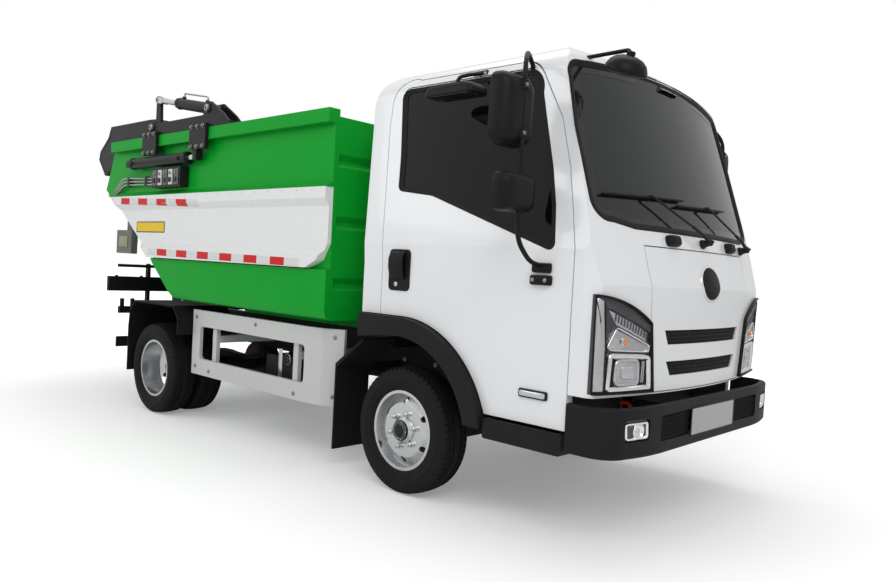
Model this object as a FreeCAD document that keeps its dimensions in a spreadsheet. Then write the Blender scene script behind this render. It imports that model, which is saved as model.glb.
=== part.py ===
"""Small cab-over garbage truck with a tipping tub, a sliding push blade and a rear bin lifter.

The origin lies on the ground under the middle of the truck.  X points forward, Y to the
truck's left and Z up.  All lengths are millimetres.  The truck stands on its wheels with the
cab down, the tub down, the blade carriage at its rear stop and the doors shut.
"""
import FreeCAD, Part
import math
import os

import Sketcher
from FreeCAD import Placement, Rotation, Vector

SHEET_NAME = "Sizes"

# Driving dimensions: name, value, meaning.
SIZES = (
    ("front_axle_x", 1342, "front axle ahead of the origin"),
    ("wheelbase", 2650, "between the axles"),
    ("tyre_radius", 345, "outer radius of every tyre"),
    ("tyre_width", 195, "section width of a tyre"),
    ("rim_radius", 208, "bead seat radius of a rim"),
    ("rim_flange", 13, "height of a rim flange over the bead seat"),
    ("rim_wall", 8, "thickness of rim and disc"),
    ("bolt_circle", 100, "radius of the wheel nut circle"),
    ("front_tyre_outer", 890, "outer face of a front tyre from the middle"),
    ("rear_tyre_outer", 985, "outer face of an outer rear tyre from the middle"),
    ("dual_spacing", 230, "between the twin tyres of one rear wheel"),
    ("hub_radius", 74, "hub pilot radius"),
    ("steer_offset", 150, "kingpin axis inboard of the front tyre's outer face"),
    ("run_gap", 5, "clearance between a moving piece and its neighbour"),
    ("seat_gap", 0.3, "clearance between faces that only rest on each other"),
    ("rail_outer", 370, "outer face of a frame rail from the middle"),
    ("rail_flange", 65, "flange width of a frame rail"),
    ("rail_web", 8, "plate thickness of a frame rail"),
    ("rail_bottom", 560, "lower edge of the frame rails"),
    ("rail_top", 740, "upper edge of the frame rails"),
    ("rail_rear_x", -2180, "rear end of the frame rails"),
    ("rail_front_x", 2440, "front end of the frame rails"),
    ("sub_height", 58, "height of the tub subframe on the rails"),
    ("sub_front_x", 720, "front end of the tub subframe"),
    ("cab_front_x", 2642, "foremost point of the cab"),
    ("cab_rear_x", 938, "rearmost point of the cab, under its roof"),
    ("cab_rear_lean", 74, "how far the cab's rear wall stands ahead of that point at its foot"),
    ("engine_rear_x", 1100, "rear end of the engine"),
    ("flare_rear_x", 1028, "rear end of the wheel arch flares"),
    ("cab_half", 905, "half width of the cab at the doors"),
    ("cab_roof", 2345, "top of the roof in the middle"),
    ("cab_turn", 3640, "plan radius of the cab's front at its foremost point"),
    ("cab_wall", 50, "thickness of the cab walls"),
    ("cab_floor", 540, "underside of the cab at the doors"),
    ("cab_nose_bottom", 705, "underside of the cab ahead of the doors"),
    ("cab_sill", 965, "underside of the cab behind the wheel arch"),
    ("arch_radius", 620, "radius of the front wheel arch"),
    ("tunnel_half", 425, "half width of the free space over frame and engine"),
    ("tunnel_top", 790, "top of that space in front of the engine"),
    ("belt", 1350, "height up to which the cab sides stand upright"),
    ("door_front_x", 2400, "front edge of a door at its bottom"),
    ("door_rear_x", 1165, "rear edge of a door at its bottom"),
    ("door_top", 2248, "top edge of a door"),
    ("shoulder", 2170, "height where the cab sides turn into the roof"),
    ("shut_gap", 5, "gap round doors and lid"),
    ("lid_top", 1385, "top edge of the front lid"),
    ("lid_bottom", 715, "bottom edge of the front lid"),
    ("lid_half", 556, "half width of the front lid at its top"),
    ("lid_foot_half", 492, "half width of the front lid at its bottom"),
    ("lid_thick", 25, "thickness of the front lid"),
    ("screen_foot", 1468, "lower edge of the windscreen in the middle"),
    ("screen_head", 2260, "upper edge of the windscreen in the middle"),
    ("screen_half", 844, "half width of the windscreen at its widest"),
    ("screen_overlap", 42, "how far the windscreen rests on the cab round its opening"),
    ("glass", 8, "thickness of the glass"),
    ("tub_front_x", 732, "front face of the tub"),
    ("tub_half", 985, "half width of the tub over rails and ribs"),
    ("tub_inner", 900, "half width of the load space"),
    ("tub_floor", 885, "underside of the tub"),
    ("tub_plate", 25, "thickness of floor, front and rear plates"),
    ("tub_top", 2125, "top of the tub's rails"),
    ("tub_rail_height", 82, "height of a top rail"),
    ("tub_rail_width", 80, "width of a top rail"),
    ("tub_front_top", 2084, "top of the tub's front wall"),
    ("tub_groove", 26, "depth of the grooves pressed into the tub's front wall"),
    ("tub_foot_x", -1010, "rear end of the tub's flat floor"),
    ("tub_slope_x", -2072, "rear end of the tub's steep slope"),
    ("tub_slope_top", 1605, "height of that end"),
    ("tub_lip_x", -2359, "rearmost point of the tub"),
    ("tub_lip_z", 1741, "height of the loading sill"),
    ("tub_rail_rear_x", -2179, "rear end of the rails"),
    ("tilt_x", 2545, "X of the hinge the cab tilts about"),
    ("tilt_z", 752, "height of the hinge the cab tilts about"),
    ("lift_x", -600, "X of the lift cylinder's foot"),
    ("lift_z", 640, "height of the lift cylinder's foot"),
    ("lift_head_x", 200, "X of the lift cylinder's upper pin"),
    ("lift_head_z", 835, "height of the lift cylinder's upper pin"),
    ("blade_x", -1450, "X of the blade's hinge"),
    ("blade_z", 2190, "height of the blade's hinge"),
    ("comb_x", -2223, "X of the bin comb's hinge bar"),
    ("comb_z", 1103, "height of the bin comb's hinge bar"),
    ("pivot_x", -1733, "tipping axis"),
    ("pivot_z", 1127, "tipping axis height"),
    ("bumper_front_x", 2692, "front face of the bumper"),
    ("bumper_half", 915, "half width of the bumper"),
    ("bumper_top", 672, "top of the bumper"),
    ("bumper_wall", 30, "wall thickness of the bumper"),
    ("bumper_round", 14, "rounding of the bumper's edges"),
    ("bumper_bottom", 450, "bottom of the bumper"),
)


class Size:
    """A length or angle: its number and the sheet formula that gives it."""

    def __init__(self, formula, number):
        self.formula = formula
        self.number = number

    def _join(self, other, sign, number):
        return Size(f"({self.formula} {sign} {formula_of(other)})", number)

    def __add__(self, other):
        return self._join(other, "+", self.number + number_of(other))

    def __sub__(self, other):
        return self._join(other, "-", self.number - number_of(other))

    def __mul__(self, other):
        return self._join(other, "*", self.number * number_of(other))

    def __truediv__(self, other):
        return self._join(other, "/", self.number / number_of(other))

    def __neg__(self):
        return Size(f"(0 - {self.formula})", -self.number)

    def __radd__(self, other):
        return Size(f"({other} + {self.formula})", other + self.number)

    def __rsub__(self, other):
        return Size(f"({other} - {self.formula})", other - self.number)

    def __rmul__(self, other):
        return Size(f"({other} * {self.formula})", other * self.number)


def number_of(value):
    """Return the plain number of a size or number."""
    return value.number if isinstance(value, Size) else float(value)


def formula_of(value):
    """Return the sheet formula of a size or number."""
    return value.formula if isinstance(value, Size) else repr(float(value))


def root_of(value):
    """Return the square root of a size."""
    return Size(f"sqrt({formula_of(value)})", math.sqrt(number_of(value)))


class Dimensions:
    """The named sizes of the sheet, as attributes."""

    def __init__(self, rows):
        self._numbers = {name: value for name, value, _ in rows}

    def __getattr__(self, name):
        return Size(f"{SHEET_NAME}.{name}", float(self._numbers[name]))


class Arc:
    """An arc of an outline: it leaves the point before it, passes mid and reaches end."""

    def __init__(self, mid, end):
        self.mid = mid
        self.end = end


class Circle:
    """A full circle as an outline of its own."""

    def __init__(self, centre, radius):
        self.centre = centre
        self.radius = radius


doc = FreeCAD.newDocument("garbage_truck")
dim = Dimensions(SIZES)
nodes = []
RIGHT = -1
LEFT = 1
SIDES = ((RIGHT, "right"), (LEFT, "left"))
DIAGONAL = 1 - math.sqrt(0.5)
FLAT_TOLERANCE = 0.01


def make_sheet():
    """Write the driving dimensions into the document's spreadsheet."""
    sheet = doc.addObject("Spreadsheet::Sheet", SHEET_NAME)
    for row, (name, value, meaning) in enumerate(SIZES, start=1):
        sheet.set(f"A{row}", name)
        sheet.set(f"B{row}", str(value))
        sheet.set(f"C{row}", meaning)
        sheet.setAlias(f"B{row}", name)
    doc.recompute()


def bind(item, path, value):
    """Bind a property of an object to a size, or set it to a plain number."""
    item.setExpression(path, formula_of(value))


def new_body(name, place=(0, 0, 0)):
    """Return an empty body whose own origin lies at place."""
    body = doc.addObject("PartDesign::Body", name)
    body.Label = name
    for axis, value in zip("xyz", place):
        bind(body, f"Placement.Base.{axis}", value)
    return body


def origin_item(body, role):
    """Return the body's own origin plane or axis of that role."""
    for item in body.Origin.OriginFeatures:
        if item.Role == role:
            return item
    raise ValueError(role)


def fix_point(sketch, geometry, position, point):
    """Hold a point of the sketch at its distances from the sketch's origin."""
    for kind, value in (("DistanceX", point[0]), ("DistanceY", point[1])):
        rule = Sketcher.Constraint(kind, -1, 1, geometry, position, number_of(value))
        index = sketch.addConstraint(rule)
        bind(sketch, f"Constraints[{index}]", value)


def flat(point):
    """Return a sketch point as a vector."""
    return Vector(number_of(point[0]), number_of(point[1]), 0)


def add_circle(sketch, circle):
    """Add a full circle held by its centre and radius."""
    curve = Part.Circle(flat(circle.centre), Vector(0, 0, 1), number_of(circle.radius))
    index = sketch.addGeometry(curve, False)
    fix_point(sketch, index, 3, circle.centre)
    rule = sketch.addConstraint(Sketcher.Constraint("Radius", index, number_of(circle.radius)))
    bind(sketch, f"Constraints[{rule}]", circle.radius)


def add_loop(sketch, loop):
    """Add a closed outline of straight lines and arcs."""
    first = sketch.GeometryCount
    corners = [item.end if isinstance(item, Arc) else item for item in loop]
    edges = []
    for number, item in enumerate(loop):
        start = corners[number - 1]
        if isinstance(item, Arc):
            curve, ends = arc_through(flat(start), flat(item.mid), flat(item.end))
        else:
            curve = Part.LineSegment(flat(start), flat(item))
            ends = (1, 2)
        edges.append((sketch.addGeometry(curve, False), ends, start))
    for number, (index, ends, start) in enumerate(edges):
        before, before_ends, _ = edges[number - 1]
        sketch.addConstraint(
            Sketcher.Constraint("Coincident", before, before_ends[1], index, ends[0])
        )
        fix_point(sketch, index, ends[0], start)
    for number, item in enumerate(loop):
        if isinstance(item, Arc):
            point = sketch.addGeometry(Part.Point(flat(item.mid)), True)
            fix_point(sketch, point, 1, item.mid)
            sketch.addConstraint(Sketcher.Constraint("PointOnObject", point, 1, first + number))


def arc_through(start, mid, end):
    """Return a counter-clockwise arc through three points, and which of its ends come first."""
    curve = Part.Arc(start, mid, end).toShape().Curve
    centre = curve.Center
    leaves_left = (mid - start).cross(end - start).z > 0
    first, last = (start, end) if leaves_left else (end, start)
    angles = [math.atan2(point.y - centre.y, point.x - centre.x) for point in (first, last)]
    if angles[1] < angles[0]:
        angles[1] += 2 * math.pi
    circle = Part.Circle(centre, Vector(0, 0, 1), curve.Radius)
    return Part.ArcOfCircle(circle, *angles), (1, 2) if leaves_left else (2, 1)


def add_sketch(body, name, plane, offset, loops):
    """Attach a sketch of closed outlines to one of the body's own origin planes."""
    sketch = body.newObject("Sketcher::SketchObject", name)
    sketch.AttachmentSupport = (origin_item(body, plane), "")
    sketch.MapMode = "FlatFace"
    bind(sketch, "AttachmentOffset.Base.z", offset)
    for loop in loops:
        if isinstance(loop, Circle):
            add_circle(sketch, loop)
        else:
            add_loop(sketch, loop)
    return sketch


def solid_feature(body, kind, name, plane, loops, low, high):
    """Pad or pocket outlines between two levels along the normal axis of a plane."""
    offset = -high if plane == "XZ_Plane" else low
    sketch = add_sketch(body, f"{name}_outline", plane, offset, loops)
    feature = body.newObject(f"PartDesign::{kind}", name)
    feature.Profile = sketch
    bind(feature, "Length", high - low)
    if kind == "Pocket":
        feature.Reversed = True
    sketch.Visibility = False
    return feature


def pad(body, name, plane, loops, low, high):
    """Add outlines as material from low to high along the plane's normal axis."""
    return solid_feature(body, "Pad", name, plane, loops, low, high)


def pocket(body, name, plane, loops, low, high):
    """Cut outlines out of the body from low to high along the plane's normal axis."""
    return solid_feature(body, "Pocket", name, plane, loops, low, high)


def revolve(body, name, plane, loops, axis, angle=360, kind="Revolution", midplane=False):
    """Turn outlines about a sketch axis, H_Axis or V_Axis."""
    sketch = add_sketch(body, f"{name}_outline", plane, 0, loops)
    feature = body.newObject(f"PartDesign::{kind}", name)
    feature.Profile = sketch
    feature.ReferenceAxis = (sketch, [axis])
    feature.Midplane = midplane
    bind(feature, "Angle", angle)
    sketch.Visibility = False
    return feature


def rectangle(low_a, high_a, low_b, high_b):
    """Return a rectangular outline."""
    return [(low_a, low_b), (high_a, low_b), (high_a, high_b), (low_a, high_b)]


def rounded(low_a, high_a, low_b, high_b, radius):
    """Return a rectangle with four equal rounded corners."""
    short = radius * DIAGONAL
    return [
        (high_a - radius, low_b),
        Arc((high_a - short, low_b + short), (high_a, low_b + radius)),
        (high_a, high_b - radius),
        Arc((high_a - short, high_b - short), (high_a - radius, high_b)),
        (low_a + radius, high_b),
        Arc((low_a + short, high_b - short), (low_a, high_b - radius)),
        (low_a, low_b + radius),
        Arc((low_a + short, low_b + short), (low_a + radius, low_b)),
    ]


def span(side, inner, outer):
    """Return the lower and upper Y of a slab between two distances from the middle."""
    return (-outer, -inner) if side == RIGHT else (inner, outer)


def mirrored(loop, side):
    """Return a loop drawn on the left side, or its mirror image on the right side."""
    if side == LEFT:
        return loop
    turned = []
    for item in loop:
        if isinstance(item, Arc):
            turned.append(Arc((-item.mid[0], item.mid[1]), (-item.end[0], item.end[1])))
        else:
            turned.append((-item[0], item[1]))
    return turned


def boolean(kind, name, base, tool):
    """Join, cut or intersect two objects."""
    result = doc.addObject(f"Part::{kind}", name)
    result.Base = base
    result.Tool = tool
    result.Label = name
    return result


def rim_edges(feature, axis, level, clear_x):
    """Name the edges of a feature that lie in the plane across axis at a level, ahead of clear_x."""
    names = []
    for number, edge in enumerate(feature.Shape.Edges, start=1):
        box = edge.BoundBox
        low, high = getattr(box, f"{axis}Min"), getattr(box, f"{axis}Max")
        flat_edge = max(abs(low - level), abs(high - level)) < FLAT_TOLERANCE
        if flat_edge and box.XMax > clear_x:
            names.append(f"Edge{number}")
    return names


def round_rim(body, name, axis, level, clear_x, radius):
    """Round the edges of the body in the plane across axis at a level, ahead of clear_x."""
    doc.recompute()
    base = body.Tip
    names = rim_edges(base, axis, number_of(level), number_of(clear_x))
    if not names:
        raise ValueError(f"{name} finds no edge")
    feature = body.newObject("PartDesign::Fillet", name)
    feature.Base = (base, names)
    bind(feature, "Radius", radius)
    base.Visibility = False
    return feature


def keep(item):
    """List an object as a sub-part to be written."""
    nodes.append(item)
    return item


def pitch_of(run, rise):
    """Return the turn about Y that points local X along a run forward and a rise."""
    formula = f"(-1 * atan2({formula_of(rise)}; {formula_of(run)}))"
    return Size(formula, -math.degrees(math.atan2(number_of(rise), number_of(run))))


def length_of(run, rise):
    """Return the distance over a run and a rise."""
    return root_of(run * run + rise * rise)


def new_link(name, start, end, across):
    """Return a body whose local X runs from start to end, both (x, z), at Y across."""
    body = new_body(name)
    pitch = pitch_of(end[0] - start[0], end[1] - start[1])
    body.Placement = Placement(Vector(), Rotation(Vector(0, 1, 0), number_of(pitch)))
    bind(body, "Placement.Base.x", start[0])
    bind(body, "Placement.Base.y", across)
    bind(body, "Placement.Base.z", start[1])
    bind(body, "Placement.Rotation.Angle", pitch)
    return body


# Stations that several sub-parts share.
rear_axle_x = dim.front_axle_x - dim.wheelbase
rim_edge = dim.rim_radius + dim.rim_flange
sub_top = dim.rail_top + dim.sub_height


def tyre_loop(middle):
    """Outline a tyre's section whose middle plane lies at Y middle."""
    half = dim.tyre_width / 2
    low = middle - half
    high = middle + half
    belly = (dim.rim_radius + dim.tyre_radius) / 2 - 8
    seat = dim.rim_radius + dim.seat_gap
    return [
        (low + 27, seat),
        (low + 27, rim_edge + 3),
        Arc((low, belly), (low + 14, dim.tyre_radius - 24)),
        Arc((low + 20, dim.tyre_radius - 10), (low + 36, dim.tyre_radius - 4)),
        Arc((middle, dim.tyre_radius), (high - 36, dim.tyre_radius - 4)),
        Arc((high - 20, dim.tyre_radius - 10), (high - 14, dim.tyre_radius - 24)),
        Arc((high, belly), (high - 27, rim_edge + 3)),
        (high - 27, seat),
    ]


def barrel_loop(middle):
    """Outline the well of a rim with its two flanges."""
    half = dim.tyre_width / 2 - 18
    well = dim.rim_radius - dim.rim_wall
    return [
        (middle - half, rim_edge),
        (middle - half, well),
        (middle + half, well),
        (middle + half, rim_edge),
        (middle + half - dim.rim_wall, rim_edge),
        (middle + half - dim.rim_wall, dim.rim_radius),
        (middle - half + dim.rim_wall, dim.rim_radius),
        (middle - half + dim.rim_wall, rim_edge),
    ]


def disc_loop(root, face, bore):
    """Outline a dished wheel disc from its root on the well to its face round the hub."""
    well = dim.rim_radius - dim.rim_wall
    shoulder = dim.bolt_circle + 48
    return [
        (root, well + 2),
        (root + dim.rim_wall + 4, well + 2),
        (face + dim.rim_wall, shoulder),
        (face + dim.rim_wall, bore),
        (face, bore),
        (face, shoulder - 4),
    ]


def ring_of_circles(count, radius, hole, turn=0):
    """Return circles spread evenly on a circle round the sketch's origin."""
    circles = []
    for step in range(count):
        angle = math.radians(turn + 360 / count * step)
        circles.append(Circle((radius * math.cos(angle), radius * math.sin(angle)), hole))
    return circles


def wheel_body(name, axle_x, loops):
    """Turn sections about an axle."""
    body = new_body(name, (axle_x, 0, dim.tyre_radius))
    for number, loop in enumerate(loops):
        revolve(body, f"{name}_turn{number}", "YZ_Plane", [loop], "H_Axis")
    return body


def make_front_wheels():
    """Front tyres and rims, single on each side."""
    middle = dim.front_tyre_outer - dim.tyre_width / 2
    face = middle + 52
    spindle = 30 + dim.seat_gap
    for side, word in SIDES:
        keep(wheel_body(f"front_tyre_{word}", dim.front_axle_x,
                        [mirrored(tyre_loop(middle), side)]))
        name = f"front_rim_{word}"
        hub = [
            (middle - 92, spindle),
            (face + 36, spindle),
            (face + 36, 46),
            (face + 14, dim.hub_radius),
            (face - 20, dim.hub_radius),
            (face - 30, 120),
            (middle - 60, 150),
            (middle - 92, 150),
        ]
        body = wheel_body(name, dim.front_axle_x, [
            mirrored(barrel_loop(middle), side),
            mirrored(disc_loop(middle + 6, face, dim.hub_radius - 4), side),
            mirrored(hub, side),
        ])
        low, high = span(side, middle - 10, face + 60)
        pocket(body, f"{name}_hand_holes", "XZ_Plane",
               ring_of_circles(6, dim.bolt_circle + 62, 17, 30), low, high)
        keep(body)


def make_rear_wheels():
    """Twin rear tyres and rims, joined at their discs."""
    outer = dim.rear_tyre_outer - dim.tyre_width / 2
    inner = outer - dim.dual_spacing
    joint = (outer + inner) / 2
    spindle = 46 + dim.seat_gap
    for side, word in SIDES:
        name = f"rear_tyres_{word}"
        keep(wheel_body(name, rear_axle_x, [
            mirrored(tyre_loop(outer), side), mirrored(tyre_loop(inner), side)]))
        name = f"rear_rims_{word}"
        hub = [
            (joint - 130, spindle),
            (joint + 70, spindle),
            (joint + 70, 62),
            (joint + 62, dim.hub_radius),
            (joint - 20, dim.hub_radius),
            (joint - 30, 150),
            (joint - 130, 150),
        ]
        outer_disc = disc_loop(joint + 34, joint, dim.hub_radius - 4)
        inner_disc = [(joint * 2 - y, z) for y, z in outer_disc]
        body = wheel_body(name, rear_axle_x, [
            mirrored(barrel_loop(outer), side),
            mirrored(barrel_loop(inner), side),
            mirrored(outer_disc, side),
            mirrored(inner_disc, side),
            mirrored(hub, side),
        ])
        low, high = span(side, joint - 40, joint + 60)
        pocket(body, f"{name}_hand_holes", "XZ_Plane",
               ring_of_circles(6, dim.bolt_circle + 70, 17, 30), low, high)
        keep(body)


def make_knuckles():
    """Steering knuckles with kingpin and spindle."""
    pin_y = dim.front_tyre_outer - dim.steer_offset - 100
    middle = dim.front_tyre_outer - dim.tyre_width / 2
    for side, word in SIDES:
        name = f"knuckle_{word}"
        body = new_body(name, (dim.front_axle_x, pin_y * side, dim.tyre_radius))
        pad(body, f"{name}_kingpin", "XY_Plane", [Circle((0, 0), 28)], -105, 105)
        for low, high in ((-105, -72), (72, 105)):
            pad(body, f"{name}_arm{low}".replace("-", "m"), "XY_Plane",
                [mirror_y(rectangle(-45, 45, -40, 60), side)], low, high)
        low, high = span(side, 46, 60)
        pad(body, f"{name}_plate", "XZ_Plane", [rounded(-60, 60, -105, 105, 20)], low, high)
        low, high = span(side, 50, middle + 84 - pin_y)
        pad(body, f"{name}_spindle", "XZ_Plane", [Circle((0, 0), 30)], low, high)
        keep(body)


def mirror_y(loop, side):
    """Return a plan outline, mirrored across the X axis for the right side."""
    return [(a, b if side == LEFT else -b) for a, b in loop]


def make_axles():
    """Front axle beam with kingpin eyes, and rear axle with its differential."""
    pin_y = dim.front_tyre_outer - dim.steer_offset - 100
    body = new_body("axles")
    pad(body, "front_beam", "YZ_Plane",
        [[(-(pin_y - 30), dim.tyre_radius - 40), (-440, dim.tyre_radius - 95),
          (440, dim.tyre_radius - 95), (pin_y - 30, dim.tyre_radius - 40),
          (pin_y - 30, dim.tyre_radius + 35), (440, dim.tyre_radius - 15),
          (-440, dim.tyre_radius - 15), (-(pin_y - 30), dim.tyre_radius + 35)]],
        dim.front_axle_x - 32, dim.front_axle_x + 32)
    for side, word in SIDES:
        pad(body, f"kingpin_eye_{word}", "XY_Plane",
            [Circle((dim.front_axle_x, pin_y * side), 45)],
            dim.tyre_radius - 66, dim.tyre_radius + 66)
    for side, word in SIDES:
        pocket(body, f"kingpin_bore_{word}", "XY_Plane",
               [Circle((dim.front_axle_x, pin_y * side), 28 + dim.seat_gap)],
               dim.tyre_radius - 70, dim.tyre_radius + 70)
    tube_end = dim.rear_tyre_outer - dim.tyre_width / 2 - dim.dual_spacing / 2 - 145
    pad(body, "rear_tube", "XZ_Plane", [Circle((rear_axle_x, dim.tyre_radius), 62)],
        -tube_end, tube_end)
    pad(body, "rear_spindle", "XZ_Plane", [Circle((rear_axle_x, dim.tyre_radius), 46)],
        -(tube_end + 205), tube_end + 205)
    pad(body, "differential", "XZ_Plane", [Circle((rear_axle_x, dim.tyre_radius), 165)],
        -70, 70)
    pad(body, "pinion_nose", "YZ_Plane", [Circle((0, dim.tyre_radius + 10), 62)],
        rear_axle_x + 130, rear_axle_x + 300)
    keep(body)


def make_springs():
    """Four leaf springs between axles and frame, with their shackle hangers."""
    body = new_body("leaf_springs")
    middle = dim.rail_outer - dim.rail_flange / 2 + 20
    for axle, top, word in ((dim.front_axle_x, dim.tyre_radius - 15, "front"),
                            (rear_axle_x, dim.tyre_radius + 62, "rear")):
        eye_z = dim.rail_bottom - 62
        loop = [
            (axle - 560, eye_z - 12),
            Arc((axle - 300, top + 10), (axle - 60, top)),
            (axle + 60, top),
            Arc((axle + 300, top + 10), (axle + 560, eye_z - 12)),
            (axle + 560, eye_z + 12),
            Arc((axle + 300, top + 52), (axle + 60, top + 60)),
            (axle - 60, top + 60),
            Arc((axle - 300, top + 52), (axle - 560, eye_z + 12)),
        ]
        for side, hand in SIDES:
            low, high = span(side, middle - 35, middle + 35)
            pad(body, f"{word}_{hand}_leaves", "XZ_Plane", [loop], low, high)
            for end in (-570, 560):
                spot = "rear" if end < 0 else "fore"
                pad(body, f"{word}_{hand}_{spot}_hanger", "XZ_Plane",
                    [rectangle(axle + end - 30, axle + end + 40, eye_z - 30, dim.rail_bottom)],
                    low, high)
    keep(body)


def make_frame():
    """Ladder frame: two channel rails with cross members, and the tub's subframe on top."""
    body = new_body("chassis_frame")
    web = dim.rail_web
    inner = dim.rail_outer - dim.rail_flange
    for side, word in SIDES:
        channel = [
            (dim.rail_outer, dim.rail_bottom),
            (dim.rail_outer, dim.rail_top),
            (inner, dim.rail_top),
            (inner, dim.rail_top - web),
            (dim.rail_outer - web, dim.rail_top - web),
            (dim.rail_outer - web, dim.rail_bottom + web),
            (inner, dim.rail_bottom + web),
            (inner, dim.rail_bottom),
        ]
        pad(body, f"rail_{word}", "YZ_Plane", [mirrored(channel, side)],
            dim.rail_rear_x, dim.rail_front_x)
        low, high = (dim.rail_outer * side - 60 * side, dim.rail_outer * side)
        low, high = (low, high) if side == LEFT else (high, low)
        pad(body, f"subframe_{word}", "YZ_Plane",
            [rectangle(low, high, dim.rail_top, sub_top)],
            dim.rail_rear_x + 120, dim.sub_front_x)
    reach = dim.rail_outer - web
    spots = (dim.rail_rear_x, rear_axle_x - 560, rear_axle_x + 560, 420,
             dim.rail_front_x - 70)
    for number, spot in enumerate(spots):
        pad(body, f"cross_member_{number}", "XZ_Plane",
            [rectangle(spot, spot + 70, dim.rail_bottom + 30, dim.rail_top - 30)],
            -reach, reach)
    for number, spot in enumerate((dim.rail_rear_x + 180, dim.sub_front_x - 60)):
        pad(body, f"subframe_cross_{number}", "XZ_Plane",
            [rectangle(spot, spot + 60, dim.rail_top, sub_top)],
            -dim.rail_outer, dim.rail_outer)
    for side, word in SIDES:
        low, high = span(side, 45, 65)
        pad(body, f"lift_bracket_{word}", "XZ_Plane",
            [[(dim.lift_x - 85, dim.lift_z - 50), (dim.lift_x + 35, dim.lift_z - 50),
              (dim.lift_x + 35, dim.lift_z + 45), (dim.lift_x - 85, dim.lift_z + 65)]],
            low, high)
    pad(body, "lift_pin", "XZ_Plane", [Circle((dim.lift_x, dim.lift_z), 22)], -65, 65)
    for side, word in SIDES:
        low, high = span(side, 300, 338)
        pad(body, f"cab_hinge_arm_{word}", "XZ_Plane",
            [[(dim.rail_front_x - 10, dim.rail_top - 80), (dim.tilt_x, dim.tilt_z - 30),
              Arc((dim.tilt_x + 30, dim.tilt_z), (dim.tilt_x, dim.tilt_z + 30)),
              (dim.rail_front_x - 10, dim.rail_top)]], low, high)
        pocket(body, f"cab_hinge_bore_{word}", "XZ_Plane",
               [Circle((dim.tilt_x, dim.tilt_z), 15 + dim.seat_gap)], low - 1, high + 1)
        low, high = span(side, 320, 336)
        pad(body, f"rear_guard_arm_{word}", "XZ_Plane",
            [[(dim.rail_rear_x - 60, 420), (dim.rail_rear_x + 20, 440),
              (dim.rail_rear_x + 70, dim.rail_bottom + 2),
              (dim.rail_rear_x - 25, dim.rail_bottom + 2)]], low, high)
    pocket(body, "equipment_holes", "XZ_Plane",
           [Circle((spot, height), 6.75) for spot in (-80, 20) for height in (620, 680)],
           355, 375)
    keep(body)


def make_driveline():
    """Engine with gearbox as one plain block, and the shaft to the rear axle."""
    body = new_body("engine_block")
    pad(body, "engine", "YZ_Plane", [rounded(-250, 250, 385, 770, 40)],
        dim.engine_rear_x, dim.engine_rear_x + 700)
    pad(body, "gearbox", "YZ_Plane", [rounded(-150, 150, 400, 690, 30)],
        dim.engine_rear_x - 480, dim.engine_rear_x)
    keep(body)
    start = (rear_axle_x + 300, dim.tyre_radius + 10)
    end = (dim.engine_rear_x - 480, 500)
    shaft = new_link("drive_shaft", start, end, 0)
    pad(shaft, "shaft_tube", "YZ_Plane", [Circle((0, 0), 38)], 3.7,
        length_of(end[0] - start[0], end[1] - start[1]) - 3.7)
    keep(shaft)


def side_profile(inset):
    """Outline the cab from the side, relative to the turning axis of its curved front."""
    turn_x = dim.cab_front_x - dim.cab_turn
    screen_x = dim.cab_front_x - 70
    head_x = dim.cab_front_x - 320
    points = [
        (dim.cab_rear_x - 400, dim.cab_floor - 60),
        (dim.cab_front_x - 12 - inset, dim.cab_floor - 60),
        (dim.cab_front_x - inset, dim.belt - 150),
        (screen_x - inset, dim.screen_foot - 3),
        (head_x - inset, dim.screen_head - 5 - inset * 0.4),
        Arc((head_x - 45 - inset, dim.screen_head + 37 - inset),
            (head_x - 150, dim.cab_roof - 22 - inset)),
        Arc((head_x - 560, dim.cab_roof - inset), (dim.cab_rear_x - 400, dim.cab_roof - 42 - inset)),
    ]
    shifted = []
    for item in points:
        if isinstance(item, Arc):
            shifted.append(Arc((item.mid[0] - turn_x, item.mid[1]),
                               (item.end[0] - turn_x, item.end[1])))
        else:
            shifted.append((item[0] - turn_x, item[1]))
    return shifted


def front_profile(inset):
    """Outline the cab from the front: upright to the belt, then leaning in to the roof."""
    half = dim.cab_half - inset
    lean = dim.cab_half - 92 - inset
    roof = dim.cab_roof - inset
    shoulder = dim.shoulder
    low = dim.cab_floor - 60
    return [
        (-half + 10, low),
        (half - 10, low),
        (half, dim.belt - 300),
        (half, dim.belt),
        (lean, shoulder),
        Arc((lean - 38, shoulder + 98 - inset * 0.8), (lean - 140, roof - 30)),
        Arc((0, roof + 2), (-lean + 140, roof - 30)),
        Arc((-lean + 38, shoulder + 98 - inset * 0.8), (-lean, shoulder)),
        (-half, dim.belt),
        (-half, dim.belt - 300),
    ]


def plan_profile(inset):
    """Outline the cab from above, with rounded corners."""
    half = dim.cab_half - inset
    rear = dim.cab_rear_x + inset
    front = dim.cab_front_x + 20
    short = 60 * DIAGONAL
    return [
        (front - 210, -half),
        Arc((front - 146, -half + 18), (front - 90, -half + 62)),
        (front, -half + 190),
        (front, half - 190),
        (front - 90, half - 62),
        Arc((front - 146, half - 18), (front - 210, half)),
        (rear + 60, half),
        Arc((rear + short, half - short), (rear, half - 60)),
        (rear, -half + 60),
        Arc((rear + short, -half + short), (rear + 60, -half)),
    ]


def curved_front(name, inset):
    """Turn the cab's side profile about an upright axis far behind its front."""
    body = new_body(name, (dim.cab_front_x - dim.cab_turn, 0, 0))
    revolve(body, f"{name}_turn", "XZ_Plane", [side_profile(inset)], "V_Axis", 50, midplane=True)
    return body


def cross_section(name, inset):
    """Pad the cab's front profile along its length."""
    body = new_body(name)
    pad(body, f"{name}_pad", "YZ_Plane", [front_profile(inset)],
        dim.cab_rear_x - 50, dim.cab_front_x + 50)
    return body


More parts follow.
